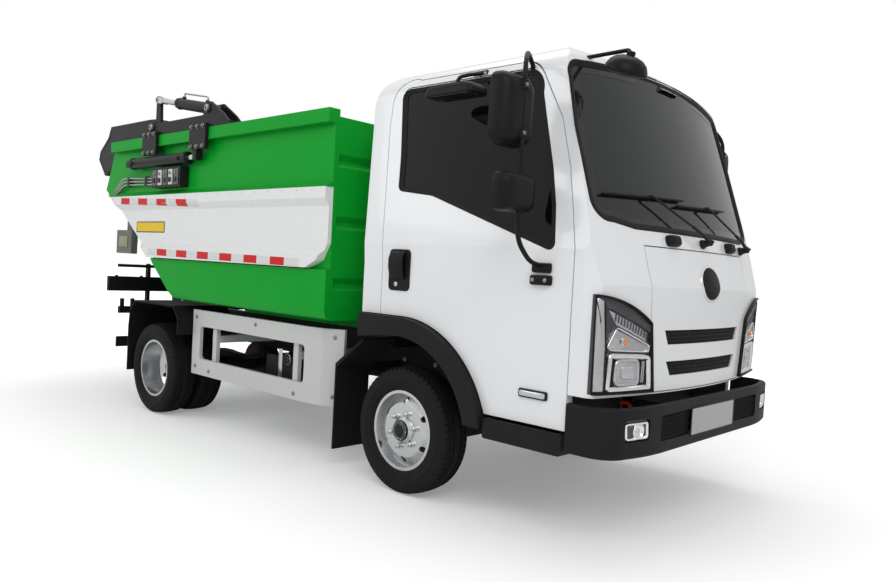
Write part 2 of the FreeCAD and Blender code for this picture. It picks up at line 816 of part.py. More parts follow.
def plan_section(name, inset):
    """Pad the cab's plan outline over its height."""
    body = new_body(name)
    pad(body, f"{name}_pad", "XY_Plane", [plan_profile(inset)], dim.cab_floor - 60,
        dim.cab_roof + 60)
    return body


def rear_slope(name, inset):
    """Pad the cab's side outline with its leaning rear wall and the corner under the roof."""
    foot = dim.cab_rear_x + dim.cab_rear_lean + inset
    head = dim.cab_rear_x + inset
    loop = [
        (foot, dim.cab_floor - 80), (dim.cab_front_x + 80, dim.cab_floor - 80),
        (dim.cab_front_x + 80, dim.cab_roof + 80), (head + 560, dim.cab_roof + 80),
        (head + 300, dim.cab_roof - 8 - inset), (head + 130, dim.cab_roof - 48 - inset),
        Arc((head + 36, dim.cab_roof - 112 - inset * 0.7), (head, dim.cab_roof - 215 - inset * 0.3)),
        (foot, dim.belt - 100),
    ]
    return slab(name, "XZ_Plane", [loop], -1000, 1000)


def slab(name, plane, loops, low, high):
    """Return a body padded from outlines between two levels."""
    body = new_body(name)
    pad(body, f"{name}_pad", plane, loops, low, high)
    return body


def cab_block(name, inset):
    """Return the cab's full outer form, drawn in by inset on every side."""
    front = curved_front(f"{name}_front", inset)
    section = cross_section(f"{name}_section", inset)
    plan = plan_section(f"{name}_plan", inset)
    rough = boolean("Common", f"{name}_rough", front, section)
    upright = boolean("Common", f"{name}_upright", rough, plan)
    return boolean("Common", name, upright, rear_slope(f"{name}_rear", inset))


def arch_half_x(radius, height):
    """Return how far in front of the axle the arch of a radius reaches at a height."""
    rise = height - dim.tyre_radius
    return root_of(radius * radius - rise * rise)


def underside_loop(grow):
    """Outline the space under the cab: wheel arch, rear sill and the step up at the nose."""
    radius = dim.arch_radius + grow
    sill = dim.cab_sill + grow
    floor = dim.cab_floor + grow
    nose = dim.cab_nose_bottom + grow
    foot_x = dim.front_axle_x + arch_half_x(radius, floor)
    mid = radius * math.sqrt(0.5)
    return [
        (dim.cab_rear_x - 100, dim.cab_floor - 100),
        (dim.cab_front_x + 100, dim.cab_floor - 100),
        (dim.cab_front_x + 100, nose),
        (dim.door_front_x + 4 - grow, nose),
        (dim.door_front_x + 4 - grow, floor),
        (foot_x, floor),
        Arc((dim.front_axle_x + mid, dim.tyre_radius + mid),
            (dim.front_axle_x, sill)),
        (dim.cab_rear_x - 100, sill),
    ]


def door_loop(grow):
    """Outline a door from the side, wider by grow on every edge."""
    radius = dim.arch_radius - 20
    sill = dim.cab_sill - 20
    floor = dim.cab_floor - 20
    foot_x = dim.front_axle_x + arch_half_x(radius, floor)
    mid = radius * math.sqrt(0.5)
    front = dim.door_front_x + grow
    rear = dim.door_rear_x - grow
    top = dim.door_top + grow
    return [
        (front, floor),
        (front, dim.belt),
        (front - 39, dim.belt + 195),
        (front - 77, dim.belt + 367),
        (front - 152, dim.belt + 599),
        (front - 278, top - 92),
        Arc((front - 328, top - 32), (front - 400, top - 4)),
        (rear + 115, top),
        Arc((rear - 38, top - 30), (rear - 75, top - 112)),
        (rear - 75, dim.belt + 640),
        (rear, dim.belt - 100),
        (rear, sill),
        (dim.front_axle_x, sill),
        Arc((dim.front_axle_x + mid, dim.tyre_radius + mid), (foot_x, floor)),
    ]


def window_loop():
    """Outline a door's window."""
    rear = dim.door_rear_x
    front = dim.door_front_x - 112
    top = dim.door_top - 42
    return [
        (rear + 322, dim.belt + 261),
        (front - 32, dim.belt - 2),
        Arc((front - 8, dim.belt + 2), (front, dim.belt + 28)),
        (front - 20, dim.belt + 196),
        (front - 60, dim.belt + 369),
        (front - 133, dim.belt + 608),
        (front - 168, top - 126),
        Arc((front - 198, top - 36), (front - 268, top - 4)),
        (rear + 70, top),
        Arc((rear + 16, top - 16), (rear, top - 50)),
        (rear + 48, dim.belt + 480),
        (rear + 60, dim.belt + 335),
        Arc((rear + 67, dim.belt + 304), (rear + 97, dim.belt + 290)),
    ]


def screen_loop(inset):
    """Outline the windscreen from the front."""
    wide = dim.screen_half - inset
    top = dim.screen_head - inset
    low = dim.screen_foot + inset
    right = [
        (wide - 245, low),
        (wide - 100, low + 22),
        Arc((wide - 26, low + 46 + inset * 0.2), (wide, low + 122)),
        (wide - 8, low + 432),
        (wide - 40, top - 118),
        Arc((wide - 58, top - 60), (wide - 110, top - 38)),
    ]
    left = [
        Arc((0, top), (-wide + 110, top - 38)),
        Arc((-wide + 58, top - 60), (-wide + 40, top - 118)),
        (-wide + 8, low + 432),
        (-wide, low + 122),
        Arc((-wide + 26, low + 46 + inset * 0.2), (-wide + 100, low + 22)),
        (-wide + 245, low),
    ]
    return right + left


def lid_loop(grow):
    """Outline the front lid."""
    half = dim.lid_half + grow
    foot = dim.lid_foot_half + grow
    low = dim.lid_bottom - grow
    top = dim.lid_top + grow
    right = [(foot, low), (foot + 44, dim.belt - 330), (half, dim.lid_top - 115), (half, top)]
    return right + [(-a, b) for a, b in reversed(right)]


def slot_loop(low, half_low, half_high, height):
    """Outline one air slot of the lid."""
    return [(-half_low, low), (half_low, low), (half_high, low + height),
            (-half_high, low + height)]


def lamp_loop(side, grow):
    """Outline a headlamp from the front."""
    outer = dim.cab_half + 60
    foot = dim.lid_foot_half + 12 - grow
    low = dim.lid_bottom - grow
    loop = [(foot, low + 2), (outer, low + 8), (outer, low + 445 + grow * 2),
            Arc((dim.cab_half - 180, low + 410 + grow * 2), (foot + 45, low + 322 + grow * 2)),
            (foot + 44, low + 305)]
    return mirrored(loop, side)


def tilt_lugs(name, grow):
    """Return the lugs and pins that the cab tilts on, or the room round them."""
    body = new_body(name)
    top = dim.tunnel_top + 5 + grow
    reach = 28 + grow
    for side, word in SIDES:
        low, high = span(side, 348 - grow, 378 + grow)
        pad(body, f"{name}_plate_{word}", "XZ_Plane",
            [[(dim.tilt_x - reach, top), (dim.tilt_x - reach, dim.tilt_z),
              Arc((dim.tilt_x, dim.tilt_z - reach), (dim.tilt_x + reach, dim.tilt_z)),
              (dim.tilt_x + reach, top)]], low, high)
        low, high = span(side, 296 - grow, 378 + grow)
        pad(body, f"{name}_pin_{word}", "XZ_Plane",
            [Circle((dim.tilt_x, dim.tilt_z), 15 + grow)], low, high)
    return body


def make_cab():
    """Cab shell, doors, lid, glass and headlamps, cut from one outer form."""
    outer = cab_block("cab_form", 0)
    under = slab("cab_underside", "XZ_Plane", [underside_loop(0)], -1000, 1000)
    outer = boolean("Cut", "cab_form_on_arch", outer, under)
    tunnel = slab("cab_tunnel", "YZ_Plane",
                  [rectangle(-dim.tunnel_half, dim.tunnel_half, dim.cab_floor - 100, dim.tunnel_top)],
                  dim.cab_rear_x - 60, dim.cab_front_x - 55)
    outer = boolean("Cut", "cab_form_on_frame", outer, tunnel)

    inner = cab_block("cab_room_form", dim.cab_wall)
    inner_under = slab("cab_room_underside", "XZ_Plane", [underside_loop(dim.cab_wall)],
                       -1000, 1000)
    inner = boolean("Cut", "cab_room_on_arch", inner, inner_under)
    inner_tunnel = slab("cab_room_tunnel", "YZ_Plane",
                        [rectangle(-(dim.tunnel_half + dim.cab_wall), dim.tunnel_half + dim.cab_wall,
                                   dim.cab_floor - 100, dim.tunnel_top + dim.cab_wall)],
                        dim.cab_rear_x - 60, dim.cab_front_x + 40)
    inner = boolean("Cut", "cab_room", inner, inner_tunnel)
    shell = boolean("Cut", "cab_skin", outer, inner)

    door_core = cross_section("door_core", dim.cab_wall)
    door_room = cross_section("door_room", dim.cab_wall + dim.run_gap)
    windows = slab("door_windows", "XZ_Plane", [window_loop()], -1000, 1000)
    door_slabs = boolean("Cut", "door_slabs", outer, door_core)
    glass_outer = cross_section("door_glass_outer", 14)
    glass_inner = cross_section("door_glass_inner", 14 + dim.glass)
    glass_band = boolean("Cut", "door_glass_band", glass_outer, glass_inner)
    openings = slab("door_openings", "XZ_Plane", [door_loop(dim.shut_gap)], -1000, 1000)
    openings = boolean("Cut", "door_opening_cutter", openings, door_room)
    shell = boolean("Cut", "cab_skin_with_doorways", shell, openings)
    for side, word in SIDES:
        low, high = span(side, 300, 1000)
        blank = slab(f"door_blank_{word}", "XZ_Plane", [door_loop(0)], low, high)
        leaf = boolean("Common", f"door_leaf_{word}", door_slabs, blank)
        keep(boolean("Cut", f"door_{word}", leaf, windows))
        pane = slab(f"door_pane_{word}", "XZ_Plane", [window_loop()], low, high)
        keep(boolean("Common", f"door_glass_{word}", glass_band, pane))

    shell = boolean("Cut", "cab_skin_with_screen", shell,
                    slab("screen_hole", "YZ_Plane", [screen_loop(dim.screen_overlap)],
                         dim.cab_front_x - 500, dim.cab_front_x + 100))
    rebate = slab("screen_rebate", "YZ_Plane", [screen_loop(0)], dim.cab_front_x - 500,
                  dim.cab_front_x + 100)
    rebate = boolean("Cut", "screen_rebate_cutter", rebate,
                     curved_front("screen_rebate_floor", 10 + dim.glass + dim.seat_gap))
    shell = boolean("Cut", "cab_skin_with_rebate", shell, rebate)
    screen_out = curved_front("screen_outside", 10)
    screen_in = curved_front("screen_inside", 10 + dim.glass)
    screen_band = boolean("Cut", "screen_band", screen_out, screen_in)
    screen = boolean("Common", "windscreen_pane", screen_band,
                     slab("screen_outline", "YZ_Plane", [screen_loop(dim.seat_gap)],
                          dim.cab_front_x - 500, dim.cab_front_x + 100))
    rear_loop = [rounded(-560, 560, dim.belt + 230, dim.belt + 600, 60)]
    rear_hole = slab("rear_window_hole", "YZ_Plane", rear_loop, dim.cab_rear_x - 50,
                     dim.cab_rear_x + 180)
    shell = boolean("Cut", "cab_skin_with_rear_window", shell, rear_hole)
    rear_band = boolean("Cut", "rear_glass_band", rear_slope("rear_glass_outside", 14),
                        rear_slope("rear_glass_inside", 14 + dim.glass))
    rear_pane = boolean("Common", "rear_window_pane", rear_band,
                        slab("rear_window_outline", "YZ_Plane", rear_loop,
                             dim.cab_rear_x - 50, dim.cab_rear_x + 180))
    keep(boolean("Fuse", "cab_glass", screen, rear_pane))

    lid_prism = slab("lid_prism", "YZ_Plane", [lid_loop(0)], dim.cab_front_x - 300,
                     dim.cab_front_x + 100)
    behind_lid = curved_front("lid_back", dim.lid_thick)
    lid_plate = boolean("Common", "lid_plate", outer, lid_prism)
    lid_plate = boolean("Cut", "lid_panel", lid_plate, behind_lid)
    slots = new_body("lid_slots")
    for number, low in enumerate((932, 784)):
        pad(slots, f"slot_{number}", "YZ_Plane", [slot_loop(low, 396 - 36 * number,
            428 - 28 * number, 68)], dim.cab_front_x - 300, dim.cab_front_x + 100)
    keep(boolean("Cut", "front_lid", lid_plate, slots))
    lid_recess = slab("lid_recess", "YZ_Plane", [lid_loop(dim.shut_gap)], dim.cab_front_x - 300,
                      dim.cab_front_x + 100)
    lid_floor = curved_front("lid_recess_floor", dim.lid_thick + dim.run_gap)
    lid_recess = boolean("Cut", "lid_recess_cutter", lid_recess, lid_floor)
    shell = boolean("Cut", "cab_skin_with_lid_seat", shell, lid_recess)
    stops = new_body("lid_stops")
    for side, word in SIDES:
        pad(stops, f"lid_stop_{word}", "YZ_Plane", [rounded(*span(side, 400, 440), 1110, 1160, 8)],
            dim.cab_front_x - 70, dim.cab_front_x + 20)
    stops = boolean("Cut", "lid_stops_seated", stops,
                    boolean("Cut", "lid_band", outer,
                            curved_front("lid_seat", dim.lid_thick + dim.seat_gap)))
    stops = boolean("Common", "lid_stops_in_cab", stops, outer)
    shell = boolean("Fuse", "cab_skin_with_lid_stops", shell, stops)

    lamps = new_body("lamp_prisms")
    lamp_holes = new_body("lamp_holes")
    lamp_rear = dim.cab_front_x - 141
    for side, word in SIDES:
        pad(lamps, f"lamp_{word}", "YZ_Plane", [lamp_loop(side, 0)], lamp_rear,
            dim.cab_front_x + 100)
        pad(lamp_holes, f"lamp_hole_{word}", "YZ_Plane", [lamp_loop(side, dim.seat_gap)],
            lamp_rear - dim.seat_gap, dim.cab_front_x + 100)
    lamp_block = boolean("Common", "lamp_block", outer, lamps)
    lamp_back = cab_block("lamp_back", dim.cab_wall - 8)
    keep(boolean("Cut", "headlamps", lamp_block, lamp_back))
    shell = boolean("Cut", "cab_skin_with_lamp_seats", shell,
                    boolean("Cut", "lamp_seats", lamp_holes,
                            cab_block("lamp_seat_back", dim.cab_wall - 8 + dim.seat_gap)))
    pan = boolean("Common", "floor_pan", shell, cab_block("pan_form", dim.cab_wall + dim.seat_gap))
    upper = boolean("Cut", "cab_skin_over_pan", shell, cab_block("pan_room", dim.cab_wall))
    keep(boolean("Cut", "cab_shell", upper, tilt_lugs("tilt_lug_room", dim.seat_gap)))
    keep(boolean("Fuse", "cab_floor", pan, tilt_lugs("tilt_lugs", 0)))
    mesh_band = boolean("Cut", "mesh_band", curved_front("mesh_front", 12),
                        curved_front("mesh_rear", 18))
    mesh_room = new_body("mesh_room")
    for number, low in enumerate((932, 784)):
        pad(mesh_room, f"mesh_{number}", "YZ_Plane",
            [slot_loop(low + dim.seat_gap, 395 - 36 * number, 427 - 28 * number,
                       68 - dim.seat_gap * 2)], dim.cab_front_x - 300, dim.cab_front_x + 100)
    keep(boolean("Common", "grille_mesh", mesh_band, mesh_room))


def rod_between(name, start, end, radius):
    """Return a round bar between two points in space."""
    run = [last - first for first, last in zip(start, end)]
    bar = doc.addObject("Part::Cylinder", name)
    bar.Label = name
    bind(bar, "Radius", radius)
    bind(bar, "Height", root_of(run[0] * run[0] + run[1] * run[1] + run[2] * run[2]))
    direction = Vector(*[number_of(part) for part in run])
    bar.Placement = Placement(Vector(), Rotation(Vector(0, 0, 1), direction))
    for axis, value in zip("xyz", start):
        bind(bar, f"Placement.Base.{axis}", value)
    return bar


def joined(name, items):
    """Join several objects into one."""
    result = doc.addObject("Part::MultiFuse", name)
    result.Shapes = items
    result.Label = name
    return result


def bent_tube(name, points, radius):
    """Return the bars and elbows of a tube that follows straight runs between points."""
    items = []
    for number, (start, end) in enumerate(zip(points, points[1:])):
        items.append(rod_between(f"{name}_run_{number}", start, end, radius))
    for number, point in enumerate(points[1:-1]):
        elbow = doc.addObject("Part::Sphere", f"{name}_elbow_{number}")
        elbow.Label = f"{name}_elbow_{number}"
        bind(elbow, "Radius", radius)
        for axis, value in zip("xyz", point):
            bind(elbow, f"Placement.Base.{axis}", value)
        items.append(elbow)
    return items


def mirror_head(name, centre, size):
    """Return a mirror housing with rounded corners, seen from the front as Y by Z."""
    depth, width, height = size
    body = new_body(name, centre)
    pad(body, f"{name}_housing", "YZ_Plane",
        [rounded(-width / 2, width / 2, -height / 2, height / 2, 24)], -depth / 2, depth / 2)
    return body


def make_mirrors():
    """Door mirrors on their tubes, the kerb mirror, and the front mirror on the cab."""
    seat = cab_block("mirror_seat", -dim.seat_gap)
    for side, word in SIDES:
        name = f"mirrors_{word}"
        low, high = span(side, dim.cab_half + dim.seat_gap, 930)
        foot = slab(f"{name}_foot", "XZ_Plane",
                    [rounded(2165, 2305, 1162, 1304, 18)], low, high)
        path = [(2232, 925 * side, 1270), (2229, 1000 * side, 1285), (2200, 1060 * side, 1375),
                (2192, 1060 * side, 2140), (2150, 1000 * side, 2215), (2070, 880 * side, 2252),
                (2040, 780 * side, 2190)]
        items = [foot] + bent_tube(f"{name}_tube", path, 11)
        items.append(mirror_head(f"{name}_main", (2150, 1075 * side, 1950), (100, 230, 325)))
        items.append(mirror_head(f"{name}_lower", (2188, 1075 * side, 1585), (90, 240, 175)))
        if side == RIGHT:
            kerb = new_body(f"{name}_kerb", (1714, -985, 2105))
            pad(kerb, f"{name}_kerb_housing", "XY_Plane", [rounded(-158, 158, -70, 70, 50)],
                -35, 25)
            items.append(kerb)
            items += bent_tube(f"{name}_kerb_bar", [(1714, -985, 2110), (1714, -935, 2222),
                                                    (1714, -770, 2228)], 9)
        keep(boolean("Cut", name, joined(f"{name}_whole", items), seat))
    disc = new_body("front_mirror_head", (2480, -700, 2165))
    disc.Placement = Placement(disc.Placement.Base,
                               Rotation(Vector(1, 0, 0), Vector(0.64, -0.3, 0.71)))
    revolve(disc, "front_mirror_bowl", "XZ_Plane",
            [[(-24, 0), (-24, 112), Arc((-18, 120), (-8, 121)), Arc((14.2, 88), (30.8, 44)),
              (36, 0)]], "H_Axis")
    bars = bent_tube("front_mirror_bar", [(2100, -770, 2215), (2106, -826, 2278),
                                          (2290, -768, 2268), (2390, -712, 2240),
                                          (2470, -700, 2178)], 10)
    keep(boolean("Cut", "front_mirror", joined("front_mirror_whole", [disc] + bars), seat))


def make_cab_fittings():
    """Wheel arch flares with the entry steps, and the dashboard, seats and steering wheel."""
    body = new_body("flares_and_steps")
    outer = dim.arch_radius - dim.run_gap
    inner = 515
    sill = dim.cab_sill - dim.run_gap
    foot = 473
    turn = math.sqrt(0.5)
    loops = {"lip": (outer, inner, 846, 945), "root": (dim.arch_radius - dim.seat_gap, 592, 790, 849)}
    for label, (big, small, near, far) in loops.items():
        top = dim.tyre_radius + big
        bottom = dim.tyre_radius + small
        loop = [
            (dim.flare_rear_x, bottom - 30),
            (dim.front_axle_x - 120, bottom - 8),
            (dim.front_axle_x, bottom),
            Arc((dim.front_axle_x + small * turn, dim.tyre_radius + small * turn),
                (dim.front_axle_x + arch_half_x(small, foot), foot)),
            (dim.front_axle_x + arch_half_x(big, foot), foot),
            Arc((dim.front_axle_x + big * turn, dim.tyre_radius + big * turn),
                (dim.front_axle_x, top)),
            (dim.flare_rear_x, top),
        ]
        for side, word in SIDES:
            low, high = span(side, near, far)
            pad(body, f"flare_{label}_{word}", "XZ_Plane", [loop], low, high)
    for side, word in SIDES:
        low, high = span(side, 690, 925)
        pad(body, f"step_{word}", "XZ_Plane", [rounded(1950, 2402, 430, 528, 14)], low, high)
        low, high = span(side, 700, 845)
        pad(body, f"step_neck_{word}", "XZ_Plane",
            [rectangle(1980, 2380, 520, dim.cab_floor - dim.seat_gap)], low, high)
        low, high = span(side, 760, 905)
        pocket(body, f"step_well_{word}", "XZ_Plane", [rounded(1985, 2367, 470, 540, 10)],
               low, high)
    keep(body)

    body = new_body("dash_whole")
    pad(body, "dash_pad", "XZ_Plane",
        [[(2445, 1110), (2445, 1330), (2300, 1385), (2185, 1330), (2200, 1190), (2320, 1110)]],
        -790, 790)
    pad(body, "dash_ends", "XZ_Plane", [rectangle(2412, 2445, 1120, 1320)],
        -(dim.cab_half - dim.cab_wall - dim.seat_gap), dim.cab_half - dim.cab_wall - dim.seat_gap)
    start = (2222, 1262)
    end = (2085, 1345)
    room = new_link("column_room", start, end, 480)
    pad(room, "column_room_round", "YZ_Plane", [Circle((0, 0), 26 + dim.seat_gap)], -1, 100)
    keep(boolean("Cut", "dashboard", body, room))
    make_steering_wheel(start, end)

    body = new_body("seats")
    floor = dim.cab_sill + dim.cab_wall + dim.seat_gap
    for side, word in SIDES:
        low, high = span(side, 480, 700)
        pad(body, f"seat_base_{word}", "XZ_Plane", [rectangle(1250, 1400, floor, floor + 70)],
            low, high)
        low, high = span(side, 220, 740)
        pad(body, f"seat_{word}", "XZ_Plane",
            [[(1240, floor + 60), (1750, floor + 75), (1770, floor + 150), (1720, floor + 190),
              (1330, floor + 165), (1270, floor + 760), (1190, floor + 770),
              (1150, floor + 700)]], low, high)
        low, high = span(side, 350, 610)
        pad(body, f"headrest_{word}", "XZ_Plane",
            [rounded(1165, 1255, floor + 750, floor + 930, 30)], low, high)
    keep(body)


def make_steering_wheel(start, end):
    """Steering wheel on its column."""
    reach = length_of(end[0] - start[0], end[1] - start[1])
    wheel = new_link("steering_wheel", start, end, 480)
    pad(wheel, "steering_column", "YZ_Plane", [Circle((0, 0), 26)], 0, reach)
    revolve(wheel, "steering_ring", "XZ_Plane", [Circle((reach, 190), 14)], "H_Axis")
    pad(wheel, "steering_spoke", "YZ_Plane", [rectangle(-186, 186, -20, 20)], reach - 8, reach + 8)
    keep(wheel)


def bumper_plan(inset):
    """Outline the bumper from above, drawn in by inset."""
    front = dim.bumper_front_x - inset
    half = dim.bumper_half - inset
    rear = dim.door_front_x + 12
    ease = inset * 0.45
    return [
        (rear, half),
        (front - 172 + ease, half),
        Arc((front - 82 + ease / 3, half - 35 + ease / 3), (front - 36, half - 125 + ease)),
        Arc((front - 9, half - 258 + ease), (front, half - 435)),
        (front, -half + 435),
        Arc((front - 9, -half + 258 - ease), (front - 36, -half + 125 - ease)),
        Arc((front - 82 + ease / 3, -half + 35 - ease / 3), (front - 172 + ease, -half)),
        (rear, -half),
    ]


def bumper_band(name, near, far):
    """Return the layer of the bumper between two depths under its face."""
    low, high = dim.bumper_bottom - 10, dim.bumper_top + 10
    return boolean("Cut", name, slab(f"{name}_outside", "XY_Plane", [bumper_plan(near)], low, high),
                   slab(f"{name}_inside", "XY_Plane", [bumper_plan(far)], low, high))


def make_bumper():
    """Front bumper with its fog lamps."""
    body = new_body("front_bumper")
    front = dim.bumper_front_x
    rear = dim.door_front_x + 12
    wall = dim.bumper_wall
    pad(body, "bumper_block", "XY_Plane", [bumper_plan(0)], dim.bumper_bottom, dim.bumper_top)
    round_rim(body, "bumper_top_round", "Z", dim.bumper_top, rear + 1, dim.bumper_round)
    round_rim(body, "bumper_foot_round", "Z", dim.bumper_bottom, rear + 1, dim.bumper_round)
    pocket(body, "bumper_hollow", "XY_Plane", [bumper_plan(wall)], dim.bumper_bottom - 10,
           dim.bumper_top + 10)
    for side, word in SIDES:
        low, high = span(side, 650, 816)
        pocket(body, f"fog_opening_{word}", "YZ_Plane", [rounded(low, high, 526, 622, 20)],
               front - 140, front + 10)
        low, high = span(side, 262, 560)
        pocket(body, f"mesh_recess_{word}", "YZ_Plane", [rounded(low, high, 508, 628, 16)],
               front - 14, front + 10)
        low, high = span(side, 300, 338)
        pad(body, f"bumper_arm_{word}", "XZ_Plane",
            [rectangle(dim.rail_front_x + dim.seat_gap, front - 20, 580, 636)], low, high)
    pocket(body, "plate_holes", "YZ_Plane", [Circle((-120, 570), 4), Circle((120, 570), 4)],
           front - 40, front + 5)
    keep(body)
    lenses = new_body("fog_lens_blocks")
    flanges = new_body("fog_flange_blocks")
    for side, word in SIDES:
        low, high = span(side, 652, 814)
        pad(lenses, f"fog_{word}", "YZ_Plane", [rounded(low, high, 528, 620, 18)], front - 140,
            front + 5)
        low, high = span(side, 630, 836)
        pad(flanges, f"fog_flange_{word}", "YZ_Plane", [rounded(low, high, 506, 642, 10)],
            front - 140, front + 5)
    lens = boolean("Common", "fog_lenses", lenses, bumper_band("fog_depth", 12, wall + 24))
    flange = boolean("Common", "fog_flanges", flanges,
                     bumper_band("fog_seat", wall + dim.seat_gap, wall + 14))
    keep(boolean("Fuse", "fog_lamps", lens, flange))


def make_guards():
    """Side guards, rear mudguards, front mud flaps and the rear underrun guard."""
    body = new_body("side_guards")
    for side, word in SIDES:
        plan = [(-885, 888), (473, 888), (620, 866), (745, 800), (736, 776), (610, 841),
                (470, 863), (-885, 863)]
        pad(body, f"guard_{word}", "XY_Plane", [mirror_y(plan, side)], 360, 830)
        low, high = span(side, 700, 1000)
        pocket(body, f"guard_window_{word}", "XZ_Plane", [rounded(-780, 473, 477, 714, 30)],
               low, high)
        low, high = span(side, dim.rail_outer + dim.seat_gap, 865)
        for number, spot in enumerate((-640, 330)):
            pad(body, f"guard_strut_{word}_{number}", "XZ_Plane",
                [rectangle(spot, spot + 50, 610, 660)], low, high)
            post_low, post_high = span(side, 835, 864)
            pad(body, f"guard_post_{word}_{number}", "XZ_Plane",
                [rectangle(spot, spot + 50, 400, 800)], post_low, post_high)
    keep(body)

    body = new_body("rear_mudguards")
    loop = [(-900, 640), (-905, 765), (-985, 848), (-1600, 848), (-1682, 775), (-1702, 640),
            (-1702, 283), (-1690, 283), (-1690, 640), (-1671, 768), (-1595, 836), (-990, 836),
            (-917, 760), (-912, 640)]
    for side, word in SIDES:
        low, high = span(side, 560, 1000)
        pad(body, f"mudguard_{word}", "XZ_Plane", [loop], low, high)
        low, high = span(side, 391 + dim.seat_gap, 562)
        pad(body, f"mudguard_rear_arm_{word}", "XZ_Plane", [rectangle(-1702, -1690, 600, 700)],
            low, high)
        low, high = span(side, dim.rail_outer + dim.seat_gap, 562)
        pad(body, f"mudguard_front_arm_{word}", "XZ_Plane", [rectangle(-912, -900, 640, 720)],
            low, high)
    keep(body)

    body = new_body("front_mud_flaps")
    for side, word in SIDES:
        low, high = span(side, 632, 888)
        pad(body, f"flap_{word}", "XZ_Plane", [rectangle(778, 790, 132, 640)], low, high)
        pad(body, f"flap_liner_{word}", "XZ_Plane",
            [[(778, 620), (790, 620), (1018, 800), (1012, 812), (778, 640)]], low, high)
        low, high = span(side, dim.rail_outer + dim.seat_gap, 634)
        pad(body, f"flap_arm_{word}", "XZ_Plane", [rectangle(774, 794, 590, 630)], low, high)
    keep(body)

    body = new_body("underrun_guard")
    pad(body, "guard_bar", "XZ_Plane", [rounded(-2262, -2242, 400, 490, 8)], -850, 850)
    for side, word in SIDES:
        low, high = span(side, 260, 320 - dim.seat_gap)
        pad(body, f"guard_bar_clamp_{word}", "XZ_Plane", [rectangle(-2243, -2185, 424, 470)],
            low, high)
    pocket(body, "rear_plate_holes", "YZ_Plane", [Circle((-120, 445), 4), Circle((120, 445), 4)],
           -2263, -2241)
    keep(body)


def make_tanks():
    """Oil tank, air filter, fuel tank and battery box on the frame."""
    body = new_body("chassis_tanks")
    rest = dim.rail_top + dim.seat_gap
    pad(body, "oil_tank", "XY_Plane", [rounded(750, 965, -622, -320, 30)], rest, 1120)
    pad(body, "air_filter", "XY_Plane", [rounded(760, 950, 320, 620, 40)], rest, 1010)
    web = dim.rail_outer + dim.seat_gap
    pad(body, "fuel_tank", "XZ_Plane", [rounded(-430, 230, 330, 590, 50)], web + 20, 770)
    pad(body, "fuel_strap", "XZ_Plane", [rectangle(-260, -200, 562, 588)], web, web + 22)
    pad(body, "battery_box", "XZ_Plane", [rounded(-100, 260, 350, 590, 20)], -770, -(web + 20))
    pad(body, "battery_strap", "XZ_Plane", [rectangle(40, 100, 562, 588)], -(web + 22), -web)
    keep(body)


def make_rear_frame():
    """Stands the tub tips on, with the arms of the bin comb, and the comb itself."""
    body = new_body("pivot_stands")
    web = dim.rail_outer + dim.seat_gap
    for side, word in SIDES:
        low, high = span(side, web, 391)
        pad(body, f"stand_{word}", "XZ_Plane",
            [[(-2000, 600), (-1460, 600), (-1460, 760), (dim.pivot_x + 52, dim.pivot_z),
              Arc((dim.pivot_x, dim.pivot_z + 52), (dim.pivot_x - 52, dim.pivot_z)),
              (-2000, 760)]], low, high)
        low, high = span(side, web, 424)
        pad(body, f"pivot_pin_{word}", "XZ_Plane", [Circle((dim.pivot_x, dim.pivot_z), 25)],
            low, high)
        low, high = span(side, web, 386)
        pad(body, f"comb_arm_{word}", "XZ_Plane",
            [[(-2001, 600), (-2001, 740), (-2160, 1000), (dim.comb_x - 12, dim.comb_z + 30),
              (dim.comb_x - 30, dim.comb_z), (dim.comb_x - 20, dim.comb_z - 18),
              (dim.comb_x + 28, dim.comb_z - 80), (dim.comb_x + 28, dim.comb_z - 240),
              (-2176, 640), (-2090, 600)]],
            low, high)
    pad(body, "comb_bar", "XZ_Plane", [Circle((dim.comb_x, dim.comb_z), 13)], -868, 868)
    keep(body)

    body = new_body("bin_comb")
    for side, word in SIDES:
        low, high = span(side, 590, 615)
        pad(body, f"comb_plate_{word}", "XZ_Plane",
            [[(dim.comb_x - 20, 690), (dim.comb_x + 20, 690), (dim.comb_x + 24, dim.comb_z),
              Arc((dim.comb_x, dim.comb_z + 24), (dim.comb_x - 24, dim.comb_z))]], low, high)
        pad(body, f"comb_foot_{word}", "XZ_Plane",
            [rectangle(dim.comb_x - 20, dim.comb_x + 20, 694, 752)], *span(side, 590, 850))
        for peg in (720, 810):
            low, high = span(side, peg, peg + 26)
            pad(body, f"comb_peg_{word}_{peg}", "XZ_Plane",
                [rectangle(dim.comb_x - 16, dim.comb_x + 12, 750, 820)], low, high)
    pad(body, "comb_beam", "XZ_Plane",
        [rounded(dim.comb_x - 20, dim.comb_x + 20, 885, 1010, 6)], -950, 950)
    for side, word in SIDES:
        pocket(body, f"comb_eye_{word}", "XZ_Plane",
               [Circle((dim.comb_x, dim.comb_z), 13 + dim.seat_gap)], *span(side, 580, 625))
    keep(body)


